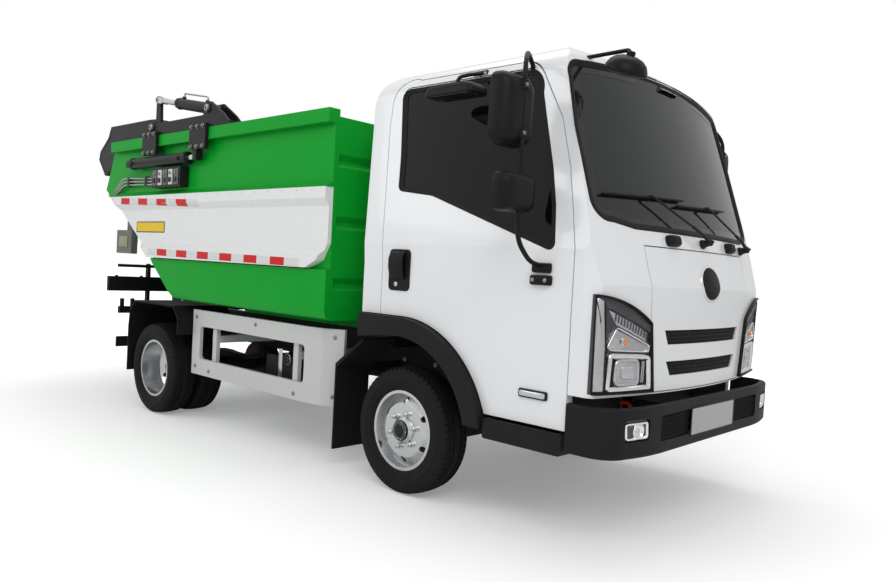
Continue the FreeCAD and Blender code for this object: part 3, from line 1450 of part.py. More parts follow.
def make_lift():
    """Two-stage cylinder that tips the tub: barrel, stage and rod."""
    start = (dim.lift_x, dim.lift_z)
    end = (dim.lift_head_x, dim.lift_head_z)
    reach = length_of(end[0] - start[0], end[1] - start[1])
    mouth = reach - 110
    body = new_link("lift_barrel", start, end, 0)
    pad(body, "lift_barrel_tube", "YZ_Plane", [Circle((0, 0), 56)], 62, mouth)
    pad(body, "lift_barrel_eye", "XZ_Plane", [Circle((0, 0), 40)], -40, 40)
    pad(body, "lift_barrel_neck", "YZ_Plane", [rectangle(-40, 40, -34, 34)], 0, 80)
    pocket(body, "lift_barrel_room", "YZ_Plane", [Circle((0, 0), 42 + dim.seat_gap)], 90,
           mouth + 1)
    pocket(body, "lift_barrel_bore", "XZ_Plane", [Circle((0, 0), 22 + dim.seat_gap)], -41, 41)
    keep(body)
    body = new_link("lift_stage", start, end, 0)
    pad(body, "lift_stage_tube", "YZ_Plane", [Circle((0, 0), 42)], 110, mouth + 25)
    pocket(body, "lift_stage_room", "YZ_Plane", [Circle((0, 0), 30 + dim.seat_gap)], 125,
           mouth + 26)
    keep(body)
    body = new_link("lift_rod", start, end, 0)
    pad(body, "lift_rod_bar", "YZ_Plane", [Circle((0, 0), 30)], 140, reach)
    pad(body, "lift_rod_eye", "XZ_Plane", [Circle((reach, 0), 35)], -34, 34)
    keep(body)


def tub_side_loop():
    """Outline the tub from the side: flat floor, sloping back and the lip over the sill."""
    top = dim.tub_top - dim.tub_rail_height
    share = dim.tub_rail_height / (dim.tub_top - dim.tub_lip_z)
    return [
        (dim.tub_foot_x, dim.tub_floor),
        (dim.tub_front_x, dim.tub_floor),
        (dim.tub_front_x, top),
        (dim.tub_rail_rear_x + (dim.tub_lip_x - dim.tub_rail_rear_x) * share, top),
        (dim.tub_lip_x, dim.tub_lip_z),
        (dim.tub_lip_x + 80, dim.tub_lip_z - 48),
        (dim.tub_slope_x - 93, dim.tub_slope_top + 65),
        (dim.tub_slope_x, dim.tub_slope_top),
        (-1483, 1200),
        (-1429, 1146),
        (-1093, 893),
    ]


def tub_room_loop():
    """Outline the tub's inside, open at the top and over the rear sill."""
    plate = dim.tub_plate
    return [
        (dim.tub_foot_x + 8, dim.tub_floor + plate),
        (dim.tub_front_x - plate, dim.tub_floor + plate),
        (dim.tub_front_x - plate, dim.tub_top + 200),
        (dim.tub_lip_x - 200, dim.tub_top + 200),
        (dim.tub_lip_x - 200, dim.tub_lip_z + plate),
        (dim.tub_lip_x + 10, dim.tub_lip_z + plate),
        (dim.tub_lip_x + 86, dim.tub_lip_z - 48 + plate + 3),
        (dim.tub_slope_x - 87, dim.tub_slope_top + 65 + plate + 3),
        (dim.tub_slope_x + 11, dim.tub_slope_top + plate + 6),
        (-1466, 1227),
        (-1412, 1171),
        (-1080, 919),
    ]


def tub_section():
    """Outline the tub from behind: rounded foot, recess for the side panels, flange."""
    right = [
        (895, dim.tub_floor),
        (941, dim.tub_floor + 14),
        (955, dim.tub_floor + 60),
        (955, 1185),
        (925, 1190),
        (925, 1671),
        (dim.tub_half, 1671),
        (935, 1705),
        (935, dim.tub_top - dim.tub_rail_height),
    ]
    return right + [(-a, b) for a, b in reversed(right)]


def groove_loop(level, depth, plate):
    """Outline a groove pressed into the tub's front wall, or the ridge it raises inside."""
    front = dim.tub_front_x - plate
    reach = 38 + plate * 0.4
    return [(front + 2, level - reach), (front, level - reach), (front - depth, level - 4),
            (front - depth, level + 4), (front, level + reach), (front + 2, level + reach)]


def groove_bars(name, depth, plate, half):
    """Return the prisms of the front wall's three grooves, or of the ridges behind them."""
    body = new_body(name)
    for number, level in enumerate((1102, 1466, 1830)):
        pad(body, f"{name}_{number}", "XZ_Plane", [groove_loop(level, depth, plate)], -half, half)
    return body


def make_tub():
    """Waste tub: shell, white side panels and top rails."""
    side_form = slab("tub_side_form", "XZ_Plane", [tub_side_loop()], -1000, 1000)
    section = slab("tub_section_form", "YZ_Plane", [tub_section()], dim.tub_lip_x - 20,
                   dim.tub_front_x + 20)
    room = slab("tub_room", "XZ_Plane", [tub_room_loop()], -dim.tub_inner, dim.tub_inner)
    room = boolean("Cut", "tub_room_with_ridges", room,
                   groove_bars("tub_ridges", dim.tub_groove, dim.tub_plate, dim.tub_half))
    shell = boolean("Common", "tub_form", side_form, section)
    shell = boolean("Cut", "tub_hollow", shell, room)
    shell = boolean("Cut", "tub_with_grooves", shell,
                    groove_bars("tub_grooves", dim.tub_groove, dim.tub_plate * 0,
                                dim.tub_inner - 2))
    under = new_body("tub_underbody")
    for side, word in SIDES:
        low, high = span(side, dim.rail_outer - 60, dim.rail_outer)
        pad(under, f"tub_beam_{word}", "XZ_Plane",
            [rectangle(dim.tub_foot_x + 20, dim.sub_front_x - 5, sub_top + dim.seat_gap,
                       dim.tub_floor + 5)], low, high)
        low, high = span(side, 396, 420)
        pad(under, f"pivot_lug_{word}", "XZ_Plane",
            [[(-1960, 1540), (dim.pivot_x - 62, dim.pivot_z - 10),
              Arc((dim.pivot_x, dim.pivot_z - 62), (dim.pivot_x + 62, dim.pivot_z - 10)),
              (-1560, 1266)]], low, high)
        pocket(under, f"pivot_bore_{word}", "XZ_Plane",
               [Circle((dim.pivot_x, dim.pivot_z), 25 + dim.seat_gap)], low - 1, high + 1)
        low, high = span(side, 42, 64)
        pad(under, f"lift_lug_{word}", "XZ_Plane",
            [[(dim.lift_head_x - 90, dim.tub_floor + 5), (dim.lift_head_x - 34, dim.lift_head_z),
              Arc((dim.lift_head_x, dim.lift_head_z - 34),
                  (dim.lift_head_x + 34, dim.lift_head_z)),
              (dim.lift_head_x + 90, dim.tub_floor + 5)]], low, high)
    keep(boolean("Fuse", "tub_shell", shell, under))

    gap = dim.seat_gap
    panel_half = [(925 + gap, 1192), (dim.tub_half, 1192), (dim.tub_half, 1268), (952, 1300),
                  (952, 1560), (dim.tub_half, 1605), (dim.tub_half, 1671 - gap),
                  (925 + gap, 1671 - gap)]
    panels = new_body("panel_section")
    for side, word in SIDES:
        pad(panels, f"panel_{word}", "YZ_Plane", [mirrored(panel_half, side)],
            dim.tub_lip_x, dim.tub_front_x + 20)
    outline = slab("panel_outline", "XZ_Plane",
                   [[(-1483, 1192), (560, 1192), (668, 1240), (dim.tub_front_x - 4, 1340),
                     (dim.tub_front_x - 4, 1671), (-2160, 1671), (dim.tub_slope_x, 1605),
                     (-1490, 1205)]], -1000, 1000)
    keep(boolean("Common", "tub_side_panels", panels, outline))

    rails = new_body("tub_rails")
    low_z = dim.tub_top - dim.tub_rail_height + gap
    for side, word in SIDES:
        low, high = span(side, dim.tub_half - dim.tub_rail_width, dim.tub_half)
        pad(rails, f"rail_{word}_top", "YZ_Plane", [rectangle(low, high, low_z, dim.tub_top)],
            dim.tub_rail_rear_x, dim.tub_front_x)
    pad(rails, "rail_front", "YZ_Plane",
        [rectangle(-dim.tub_half, dim.tub_half, low_z, dim.tub_front_top)],
        dim.tub_front_x - dim.tub_rail_width, dim.tub_front_x)
    keep(rails)


def make_tub_fittings():
    """Slide cylinders' barrels, the valve block and the tail lamp boxes."""
    body = new_body("slide_barrels")
    for side, word in SIDES:
        axis = (dim.tub_half * side, 1925)
        pad(body, f"slide_barrel_{word}", "YZ_Plane", [Circle(axis, 42)], -1772, -870)
        low, high = span(side, 935 + dim.seat_gap, 1000)
        pad(body, f"slide_lug_{word}", "XZ_Plane", [rectangle(-1852, -1770, 1900, 1950)],
            low, high)
        for number, spot in enumerate((-1700, -960)):
            low, high = span(side, 935 + dim.seat_gap, 975)
            pad(body, f"slide_saddle_{word}_{number}", "XZ_Plane",
                [rectangle(spot, spot + 44, 1888, 1962)], low, high)
    for side, word in SIDES:
        pocket(body, f"slide_bore_{word}", "YZ_Plane",
               [Circle((dim.tub_half * side, 1925), 22.5 + dim.seat_gap)], -1735, -869)
    keep(body)

    body = new_body("valve_block")
    pad(body, "valve_body", "XZ_Plane", [rectangle(-1383, -950, 1722, 1868)], -1006,
        -(935 + dim.seat_gap))
    keep(body)

    body = new_body("tail_lamps")
    for side, word in SIDES:
        pad(body, f"lamp_arm_{word}", "XZ_Plane",
            [[(-2010, 1300), (-1850, 1300), (-1850, 1452), (-2010, 1562)]], *span(side, 880, 898))
        low, high = span(side, 898, 950)
        pad(body, f"lamp_box_{word}", "XZ_Plane", [rounded(-2082, -1815, 1210, 1400, 12)],
            low, high)
    keep(body)


def make_carriage():
    """Carriage that runs on the tub's rails, with the rods of its cylinders."""
    body = new_body("carriage")
    over = dim.tub_top + 2
    for side, word in SIDES:
        for number, (rear, front) in enumerate(((-1557, -1335), (-830, -608))):
            low, high = span(side, 987, 1012)
            pad(body, f"clamp_{word}_{number}", "XZ_Plane",
                [rectangle(rear, front, 1975, 2150)], low, high)
            low, high = span(side, 955, 1012)
            pad(body, f"clamp_top_{word}_{number}", "XZ_Plane",
                [rectangle(rear, front, over, 2150)], low, high)
        low, high = span(side, 955, 985)
        pad(body, f"beam_{word}", "XZ_Plane", [rectangle(-1557, -608, over, 2215)], low, high)
        pad(body, f"ear_{word}", "XZ_Plane",
            [[(-1515, over), (-1385, over), (dim.blade_x + 48, dim.blade_z),
              Arc((dim.blade_x, dim.blade_z + 48), (dim.blade_x - 48, dim.blade_z))]],
            *span(side, 956, 984))
        pad(body, f"ear_pin_{word}", "XZ_Plane", [Circle((dim.blade_x, dim.blade_z), 20)],
            *span(side, 915, 970))
        for cheek, (near, far) in enumerate(((973, 985), (877, 889))):
            pad(body, f"cheek_{word}_{cheek}", "XZ_Plane",
                [[(-712, over), (-330, over), (-420, 2200), (-590, 2300), (-680, 2300)]],
                *span(side, near, far))
        pad(body, f"cheek_web_{word}", "XZ_Plane", [rectangle(-700, -340, over, over + 22)],
            *span(side, 877, 985))
        pad(body, f"cylinder_pin_{word}", "XZ_Plane", [Circle((-629, 2257), 18)],
            *span(side, 877, 985))
        pad(body, f"rod_ear_{word}", "XZ_Plane", [rectangle(-775, -725, 1900, 1980)],
            *span(side, 960, 1011))
    keep(body)
    body = new_body("slide_rods")
    for side, word in SIDES:
        pad(body, f"slide_rod_{word}", "YZ_Plane", [Circle((dim.tub_half * side, 1925), 22.5)],
            -1700, -775 - dim.seat_gap)
    keep(body)


def make_blade():
    """Compacting blade with its hood, and the cylinders that swing it."""
    body = new_body("push_blade")
    hood = [(-1600, 2290), (-1742, 2298), (-2464, 2300), (-2515, 2209), (-2670, 2099),
            (-2692, 2029), (-2556, 1881), (-2542, 1893), (-2673, 2031), (-2655, 2088),
            (-2502, 2197), (-2453, 2282), (-1742, 2280), (-1602, 2272)]
    pad(body, "hood", "XZ_Plane", [hood], -870, 870)
    cheek = [(-1415, 2150), (-1415, 2235), (-1600, 2289), (-1742, 2297), (-2463, 2299),
             (-2514, 2208), (-2669, 2098), (-2691, 2029), (-2555, 1882), (-2300, 2010)]
    for side, word in SIDES:
        pad(body, f"blade_side_{word}", "XZ_Plane", [cheek], *span(side, 848, 868))
    pad(body, "blade_tube", "XZ_Plane", [Circle((dim.blade_x, dim.blade_z), 40)], -950, 950)
    for side, word in SIDES:
        pad(body, f"blade_arm_{word}", "XZ_Plane",
            [[(dim.blade_x - 38, dim.blade_z), (dim.blade_x + 38, dim.blade_z), (-1427, 2410),
              Arc((-1457, 2440), (-1487, 2410))]], *span(side, 918, 942))
        pocket(body, f"blade_bore_{word}", "XZ_Plane",
               [Circle((dim.blade_x, dim.blade_z), 20 + dim.seat_gap)], *span(side, 908, 951))
    keep(body)
    start = (-629, 2257)
    end = (-1457, 2410)
    reach = length_of(end[0] - start[0], end[1] - start[1])
    parts = []
    rods = []
    for side, word in SIDES:
        across = 930 * side
        barrel = new_link(f"blade_barrel_{word}", start, end, across)
        pad(barrel, f"blade_barrel_tube_{word}", "YZ_Plane", [Circle((0, 0), 40)], 24, 530)
        pad(barrel, f"blade_barrel_eye_{word}", "XZ_Plane", [Circle((0, 0), 34)], -30, 30)
        pocket(barrel, f"blade_barrel_bore_{word}", "XZ_Plane",
               [Circle((0, 0), 18 + dim.seat_gap)], -31, 31)
        pocket(barrel, f"blade_barrel_room_{word}", "YZ_Plane",
               [Circle((0, 0), 20 + dim.seat_gap)], 180, 531)
        parts.append(barrel)
        rod = new_link(f"blade_rod_{word}", start, end, across)
        pad(rod, f"blade_rod_bar_{word}", "YZ_Plane", [Circle((0, 0), 20)], 400, reach - 60)
        pad(rod, f"blade_rod_block_{word}", "XZ_Plane",
            [rectangle(reach - 78, reach - 48, -24, 24)], -26, 26)
        for number, (near, far) in enumerate(((-25, -13), (13, 25))):
            pad(rod, f"blade_rod_fork_{word}_{number}", "XZ_Plane",
                [[(reach - 50, -24), (reach, -24), Arc((reach + 24, 0), (reach, 24)),
                  (reach - 50, 24)]], near, far)
        rods.append(rod)
    keep(joined("blade_barrels", parts))
    keep(joined("blade_rods", rods))


def check_document():
    """Stop when any object failed or made no valid shape."""
    doc.recompute()
    for item in doc.Objects:
        if "Invalid" in item.State or "Error" in item.State:
            raise RuntimeError(f"{item.Label} failed: {item.State}")
        shape = getattr(item, "Shape", None)
        if shape is not None and item in nodes and (shape.isNull() or not shape.isValid()):
            raise RuntimeError(f"{item.Label} has no valid shape")


def write_parts():
    """Write each sub-part to its own file."""
    os.makedirs("parts", exist_ok=True)
    for item in nodes:
        box = item.Shape.BoundBox
        print(f"{item.Label}: {len(item.Shape.Solids)} solids, X {box.XMin:.0f} to {box.XMax:.0f},"
              f" Y {box.YMin:.0f} to {box.YMax:.0f}, Z {box.ZMin:.0f} to {box.ZMax:.0f}")
        item.Shape.exportStep(f"parts/{item.Label}.step")


def main():
    """Build and write the vehicle."""
    make_sheet()
    make_frame()
    make_driveline()
    make_axles()
    make_springs()
    make_front_wheels()
    make_rear_wheels()
    make_knuckles()
    make_bumper()
    make_guards()
    make_tanks()
    make_rear_frame()
    make_lift()
    make_cab()
    make_cab_fittings()
    make_mirrors()
    make_tub()
    make_tub_fittings()
    make_carriage()
    make_blade()
    check_document()
    write_parts()


main()
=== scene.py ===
"""Garbage truck: camera, light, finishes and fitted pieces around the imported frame.

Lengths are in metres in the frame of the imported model: X forward, Y to the vehicle's left, Z up.
"""

import logging
import math
from dataclasses import dataclass
from enum import Enum
from typing import Callable, Iterable, Sequence

import bmesh
import bpy
from mathutils import Matrix, Vector
from mathutils.bvhtree import BVHTree


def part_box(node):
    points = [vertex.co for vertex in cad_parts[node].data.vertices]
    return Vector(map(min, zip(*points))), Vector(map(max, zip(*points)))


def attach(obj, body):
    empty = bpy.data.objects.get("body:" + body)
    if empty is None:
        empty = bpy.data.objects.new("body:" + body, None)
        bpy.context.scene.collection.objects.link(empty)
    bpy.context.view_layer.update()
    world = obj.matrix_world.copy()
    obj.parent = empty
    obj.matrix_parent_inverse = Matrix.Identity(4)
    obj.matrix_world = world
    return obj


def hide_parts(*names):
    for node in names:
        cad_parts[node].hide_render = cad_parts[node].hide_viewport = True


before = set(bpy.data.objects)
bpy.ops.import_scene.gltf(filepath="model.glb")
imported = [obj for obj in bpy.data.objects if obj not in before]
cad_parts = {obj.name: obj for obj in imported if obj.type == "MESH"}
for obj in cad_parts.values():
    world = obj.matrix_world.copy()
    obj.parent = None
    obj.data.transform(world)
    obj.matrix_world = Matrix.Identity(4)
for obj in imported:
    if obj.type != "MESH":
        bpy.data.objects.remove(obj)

Point = tuple[float, float, float]
Flat = tuple[float, float]
Colour = tuple[float, float, float]

log = logging.getLogger("garbage_truck")

SHARP_ANGLE = math.radians(32)
BEVEL_ANGLE = math.radians(40)
FAR = 8.0


class Axis(Enum):
    """Directions that a slab can stand along or a skin be looked at along."""

    X = 0
    Y = 1
    Z = 2


class Side(Enum):
    """Side of the vehicle, by the sign of Y there."""

    RIGHT = -1
    LEFT = 1

    @property
    def word(self) -> str:
        """Return the side as the names of pieces have it."""
        return self.name.lower()

    @property
    def out(self) -> Vector:
        """Return the direction away from the vehicle."""
        return Vector((0, self.value, 0))

    def at(self, along: float, far: float, up: float) -> Vector:
        """Return the place at a distance from the centre line."""
        return Vector((along, far * self.value, up))

    def mirrored(self, outline: Iterable[Flat]) -> list[Flat]:
        """Return an outline given by distances from the centre line."""
        return [(far * self.value, up) for far, up in outline]


# Shader building blocks


class Board:
    """Places shader nodes in one tree and wires them."""

    def __init__(self, tree: bpy.types.NodeTree) -> None:
        """Start on a tree.

        Args:
            tree: The node tree to build in.
        """
        self.tree = tree

    def node(self, kind: str, inputs: dict | None = None, **settings: object) -> bpy.types.Node:
        """Add a node.

        Args:
            kind: Blender's type name of the node.
            inputs: Socket name or index to a value, or to an output socket to wire in.
            settings: Attributes to set on the node.

        Returns:
            The new node.
        """
        made = self.tree.nodes.new(kind)
        for key, value in settings.items():
            setattr(made, key, value)
        for key, value in (inputs or {}).items():
            if isinstance(value, bpy.types.NodeSocket):
                self.tree.links.new(value, made.inputs[key])
            else:
                made.inputs[key].default_value = value
        return made

    def math(self, operation: str, *values: object) -> bpy.types.NodeSocket:
        """Combine values with one arithmetic step.

        Args:
            operation: Name of the step, such as MULTIPLY.
            values: Numbers or sockets.

        Returns:
            The result's socket.
        """
        return self.node("ShaderNodeMath", dict(enumerate(values)), operation=operation).outputs[0]

    def remap(self, value: object, low: float, high: float, to_low: float = 0.0,
              to_high: float = 1.0) -> bpy.types.NodeSocket:
        """Stretch a value from one range to another, clamped and smooth at the ends.

        Args:
            value: Socket to stretch.
            low: Start of the value's range.
            high: End of the value's range.
            to_low: Result at low.
            to_high: Result at high.

        Returns:
            The result's socket.
        """
        return self.node(
            "ShaderNodeMapRange",
            {"Value": value, "From Min": low, "From Max": high, "To Min": to_low,
             "To Max": to_high},
            interpolation_type="SMOOTHSTEP",
        ).outputs[0]

    def noise(self, coords: object, scale: object, detail: float = 4.0) -> bpy.types.NodeSocket:
        """Return the value of a noise texture.

        Args:
            coords: Place to look it up at.
            scale: Its scale.
            detail: Its detail.

        Returns:
            The value's socket.
        """
        return self.node(
            "ShaderNodeTexNoise", {"Vector": coords, "Scale": scale, "Detail": detail}
        ).outputs[0]

    def mix(self, factor: object, first: object, second: object,
            blend: str = "MIX") -> bpy.types.NodeSocket:
        """Mix two colours.

        Args:
            factor: Share of the second colour.
            first: First colour or socket.
            second: Second colour or socket.
            blend: Blending mode.

        Returns:
            The mixed colour's socket.
        """
        made = self.node("ShaderNodeMix", data_type="RGBA", blend_type=blend)
        for index, value in ((0, factor), (6, first), (7, second)):
            if isinstance(value, bpy.types.NodeSocket):
                self.tree.links.new(value, made.inputs[index])
            elif index == 0:
                made.inputs[index].default_value = value
            else:
                made.inputs[index].default_value = (*value, 1.0)
        return made.outputs[2]


class EffectGroups:
    """The shader groups that several finishes share, each built once."""

    def __init__(self) -> None:
        """Build the groups."""
        self.dirt = self._road_dirt()
        self.edges = self._soft_edges()
        self.grain = self._fine_grain()

    @staticmethod
    def _new(name: str, inputs: dict[str, object],
             outputs: dict[str, str]) -> tuple[bpy.types.NodeTree, Board, object, object]:
        """Make an empty group with its sockets.

        Args:
            name: Name of the group.
            inputs: Input name to its default, a number or a colour.
            outputs: Output name to its socket type.

        Returns:
            The group, a board on it, its input node and its output node.
        """
        tree = bpy.data.node_groups.new(name, "ShaderNodeTree")
        for key, value in inputs.items():
            kind = "NodeSocketFloat" if isinstance(value, float) else "NodeSocketColor"
            made = tree.interface.new_socket(key, in_out="INPUT", socket_type=kind)
            made.default_value = value if isinstance(value, float) else (*value, 1.0)
        for key, kind in outputs.items():
            tree.interface.new_socket(key, in_out="OUTPUT", socket_type=kind)
        board = Board(tree)
        return tree, board, board.node("NodeGroupInput"), board.node("NodeGroupOutput")

    def _road_dirt(self) -> bpy.types.NodeTree:
        """Tone drift over large panels, and road dust that thickens towards the ground.

        Returns:
            The group.
        """
        tree, board, source, sink = self._new(
            "road_dirt",
            {"Color": (0.8, 0.8, 0.8), "Dust Color": (0.30, 0.26, 0.21), "Amount": 0.3,
             "Reach": 0.9, "Drift": 0.06, "Roughness": 0.3, "Dusty Roughness": 0.75},
            {"Color": "NodeSocketColor", "Mask": "NodeSocketFloat", "Roughness": "NodeSocketFloat"},
        )
        get = source.outputs
        place = board.node("ShaderNodeTexCoord").outputs["Object"]
        height = board.node("ShaderNodeSeparateXYZ", {"Vector": place}).outputs["Z"]
        broad = board.noise(place, 1.7, 5.0)
        fine = board.noise(place, 38.0, 6.0)
        streaked = board.node("ShaderNodeMapping", {"Vector": place, "Scale": (9.0, 9.0, 0.8)})
        streaks = board.noise(streaked.outputs[0], 2.4, 5.0)
        drop = board.math("DIVIDE", height, get["Reach"])
        low = board.math("SUBTRACT", 1.0, drop)
        low = board.math("MAXIMUM", low, 0.0)
        patchy = board.math("MULTIPLY", board.remap(broad, 0.32, 0.68),
                            board.remap(fine, 0.3, 0.7, 0.45, 1.0))
        run = board.remap(streaks, 0.42, 0.72, 0.35, 1.0)
        mask = board.math("MULTIPLY", board.math("MULTIPLY", low, patchy), run)
        thin = board.math("MULTIPLY", board.remap(streaks, 0.55, 0.8), 0.12)
        mask = board.math("ADD", mask, thin)
        mask = board.math("MINIMUM", board.math("MULTIPLY", mask, get["Amount"]), 1.0)
        drift = board.math("MULTIPLY", board.math("SUBTRACT", broad, 0.5), get["Drift"])
        tone = board.node("ShaderNodeHueSaturation",
                          {"Value": board.math("ADD", 1.0, drift),
                           "Color": get["Color"]}).outputs[0]
        tree.links.new(board.mix(mask, tone, get["Dust Color"]), sink.inputs["Color"])
        tree.links.new(mask, sink.inputs["Mask"])
        span = board.math("SUBTRACT", get["Dusty Roughness"], get["Roughness"])
        worn = board.math("ADD", board.math("MULTIPLY", mask, span),
                          board.math("MULTIPLY", board.math("SUBTRACT", fine, 0.5), 0.06))
        tree.links.new(board.math("ADD", get["Roughness"], worn), sink.inputs["Roughness"])
        return tree

    def _soft_edges(self) -> bpy.types.NodeTree:
        """Rounded look of edges, with a mask of where paint rubs off them.

        Returns:
            The group.
        """
        tree, board, source, sink = self._new(
            "soft_edges", {"Wear": 0.2, "Scale": 60.0, "Radius": 0.005},
            {"Normal": "NodeSocketVector", "Mask": "NodeSocketFloat"},
        )
        rounded = board.node("ShaderNodeBevel", {"Radius": source.outputs["Radius"]},
                             samples=4).outputs[0]
        true = board.node("ShaderNodeNewGeometry").outputs["Normal"]
        bend = board.node("ShaderNodeVectorMath", {0: rounded, 1: true}, operation="DOT_PRODUCT")
        edge = board.remap(bend.outputs["Value"], 0.995, 0.86)
        place = board.node("ShaderNodeTexCoord").outputs["Object"]
        chips = board.remap(board.noise(place, source.outputs["Scale"], 5.0), 0.5, 0.62)
        mask = board.math("MULTIPLY", board.math("MULTIPLY", edge, chips), source.outputs["Wear"])
        tree.links.new(rounded, sink.inputs["Normal"])
        tree.links.new(mask, sink.inputs["Mask"])
        return tree

    def _fine_grain(self) -> bpy.types.NodeTree:
        """Height of a pebbled or orange-peel surface.

        Returns:
            The group.
        """
        tree, board, source, sink = self._new(
            "fine_grain", {"Scale": 300.0, "Cells": 0.5},
            {"Height": "NodeSocketFloat"},
        )
        place = board.node("ShaderNodeTexCoord").outputs["Object"]
        soft = board.noise(place, source.outputs["Scale"], 3.0)
        cells = board.node("ShaderNodeTexVoronoi",
                           {"Vector": place, "Scale": source.outputs["Scale"]}).outputs["Distance"]
        both = board.node("ShaderNodeMix", {0: source.outputs["Cells"], 2: soft, 3: cells},
                          data_type="FLOAT").outputs[0]
        tree.links.new(both, sink.inputs["Height"])
        return tree


effects = EffectGroups()


@dataclass(frozen=True)
class Finish:
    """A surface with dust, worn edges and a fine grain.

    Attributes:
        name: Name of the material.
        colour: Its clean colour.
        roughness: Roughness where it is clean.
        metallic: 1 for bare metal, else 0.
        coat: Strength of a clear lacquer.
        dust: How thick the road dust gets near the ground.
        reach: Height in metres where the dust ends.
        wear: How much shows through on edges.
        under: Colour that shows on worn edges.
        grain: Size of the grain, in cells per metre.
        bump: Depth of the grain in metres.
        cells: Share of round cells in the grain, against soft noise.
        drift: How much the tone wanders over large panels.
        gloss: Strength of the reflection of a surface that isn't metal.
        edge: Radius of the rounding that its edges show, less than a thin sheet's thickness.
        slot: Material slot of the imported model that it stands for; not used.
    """

    name: str
    colour: Colour
    roughness: float = 0.3
    metallic: float = 0.0
    coat: float = 0.0
    dust: float = 0.03
    reach: float = 0.9
    wear: float = 0.0
    under: Colour = (0.33, 0.31, 0.29)
    grain: float = 200.0
    bump: float = 0.0001
    cells: float = 0.4
    drift: float = 0.08
    gloss: float = 0.5
    edge: float = 0.003
    slot: str = "lamp_glass"

    def build(self) -> bpy.types.Material:
        """Make the material, or return the one already made.

        Returns:
            The material.
        """
        title = f"{self.name}_finish"
        made = bpy.data.materials.get(title)
        if made:
            return made
        made = bpy.data.materials.new(title)
        made.use_nodes = True
        made.diffuse_color = (*self.colour, 1.0)
        made.node_tree.nodes.clear()
        board = Board(made.node_tree)
        edges = board.node("ShaderNodeGroup", node_tree=effects.edges)
        edges.inputs["Wear"].default_value = self.wear
        edges.inputs["Radius"].default_value = self.edge
        rubbed = board.mix(edges.outputs["Mask"], self.colour, self.under)
        dirt = board.node("ShaderNodeGroup", node_tree=effects.dirt)
        made.node_tree.links.new(rubbed, dirt.inputs["Color"])
        for key, value in (("Amount", self.dust), ("Reach", self.reach), ("Drift", self.drift),
                           ("Roughness", self.roughness),
                           ("Dusty Roughness", min(0.9, self.roughness + 0.4))):
            dirt.inputs[key].default_value = value
        grain = board.node("ShaderNodeGroup", node_tree=effects.grain)
        grain.inputs["Scale"].default_value = self.grain
        grain.inputs["Cells"].default_value = self.cells
        bump = board.node("ShaderNodeBump", {"Distance": self.bump, "Strength": 0.6,
                                             "Height": grain.outputs[0],
                                             "Normal": edges.outputs["Normal"]})
        surface = board.node("ShaderNodeBsdfPrincipled", {
            "Base Color": dirt.outputs["Color"], "Roughness": dirt.outputs["Roughness"],
            "Metallic": self.metallic, "Coat Weight": self.coat, "Coat Roughness": 0.05,
            "Specular IOR Level": self.gloss,
            "Normal": bump.outputs[0]})
        board.node("ShaderNodeOutputMaterial", {"Surface": surface.outputs[0]})
        return made


@dataclass(frozen=True)
class Glass:
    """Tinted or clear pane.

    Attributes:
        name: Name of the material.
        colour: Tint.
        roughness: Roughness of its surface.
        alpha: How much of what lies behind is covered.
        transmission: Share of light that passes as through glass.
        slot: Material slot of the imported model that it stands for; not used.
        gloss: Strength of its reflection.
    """

    name: str
    colour: Colour
    roughness: float = 0.02
    alpha: float = 0.84
    transmission: float = 0.0
    slot: str = "dark_glass"
    gloss: float = 0.5

    def build(self) -> bpy.types.Material:
        """Make the material, or return the one already made.

        Returns:
            The material.
        """
        title = f"{self.name}_finish"
        made = bpy.data.materials.get(title)
        if made:
            return made
        made = bpy.data.materials.new(title)
        made.use_nodes = True
        made.diffuse_color = (*self.colour, self.alpha)
        made.node_tree.nodes.clear()
        board = Board(made.node_tree)
        place = board.node("ShaderNodeTexCoord").outputs["Object"]
        smear = board.noise(place, 5.0, 5.0)
        rough = board.remap(smear, 0.45, 0.75, self.roughness, self.roughness + 0.05)
        surface = board.node("ShaderNodeBsdfPrincipled", {
            "Base Color": (*self.colour, 1.0), "Roughness": rough, "IOR": 1.5,
            "Transmission Weight": self.transmission, "Alpha": self.alpha,
            "Specular IOR Level": self.gloss})
        board.node("ShaderNodeOutputMaterial", {"Surface": surface.outputs[0]})
        return made
WHITE_PAINT = Finish("white_paint", (0.8, 0.815, 0.83), 0.22, coat=0.5, reach=1.2, wear=0.02,
                     grain=70.0, bump=0.00006, cells=0.0, drift=0.02, gloss=0.4, slot="white_paint")
GREEN_PAINT = Finish("green_paint", (0.003, 0.34, 0.026), reach=1.4, wear=0.1, grain=60.0,
                     bump=0.00012, cells=0.0, gloss=0.1, slot="green_paint")
PANEL_WHITE = Finish("panel_white", (0.8, 0.815, 0.815), 0.28, coat=0.1, reach=1.8, grain=70.0,
                     bump=0.00001, cells=0.0, drift=0.03, gloss=0.3, edge=0.0008,
                     slot="white_paint")
GUARD_WHITE = Finish("guard_white", (0.56, 0.565, 0.56), 0.33, dust=0.06, wear=0.04, grain=80.0,
                     cells=0.0, gloss=0.3, slot="guard_white")
FRAME_BLACK = Finish("frame_black", (0.01, 0.01, 0.011), 0.48, dust=0.04, reach=1.1, wear=0.2,
                     grain=180.0, bump=0.0003, gloss=0.12, slot="dark_steel")
MECHANISM_BLACK = Finish("mechanism_black", (0.012, 0.0125, 0.014), 0.36, reach=2.4, wear=0.35,
                         grain=150.0, bump=0.0002, gloss=0.2, slot="dark_steel")
BRACKET_GREY = Finish("bracket_grey", (0.13, 0.135, 0.12), 0.45, dust=0.3, reach=1.6, wear=0.6,
                      grain=160.0, bump=0.0003, slot="grey_steel")
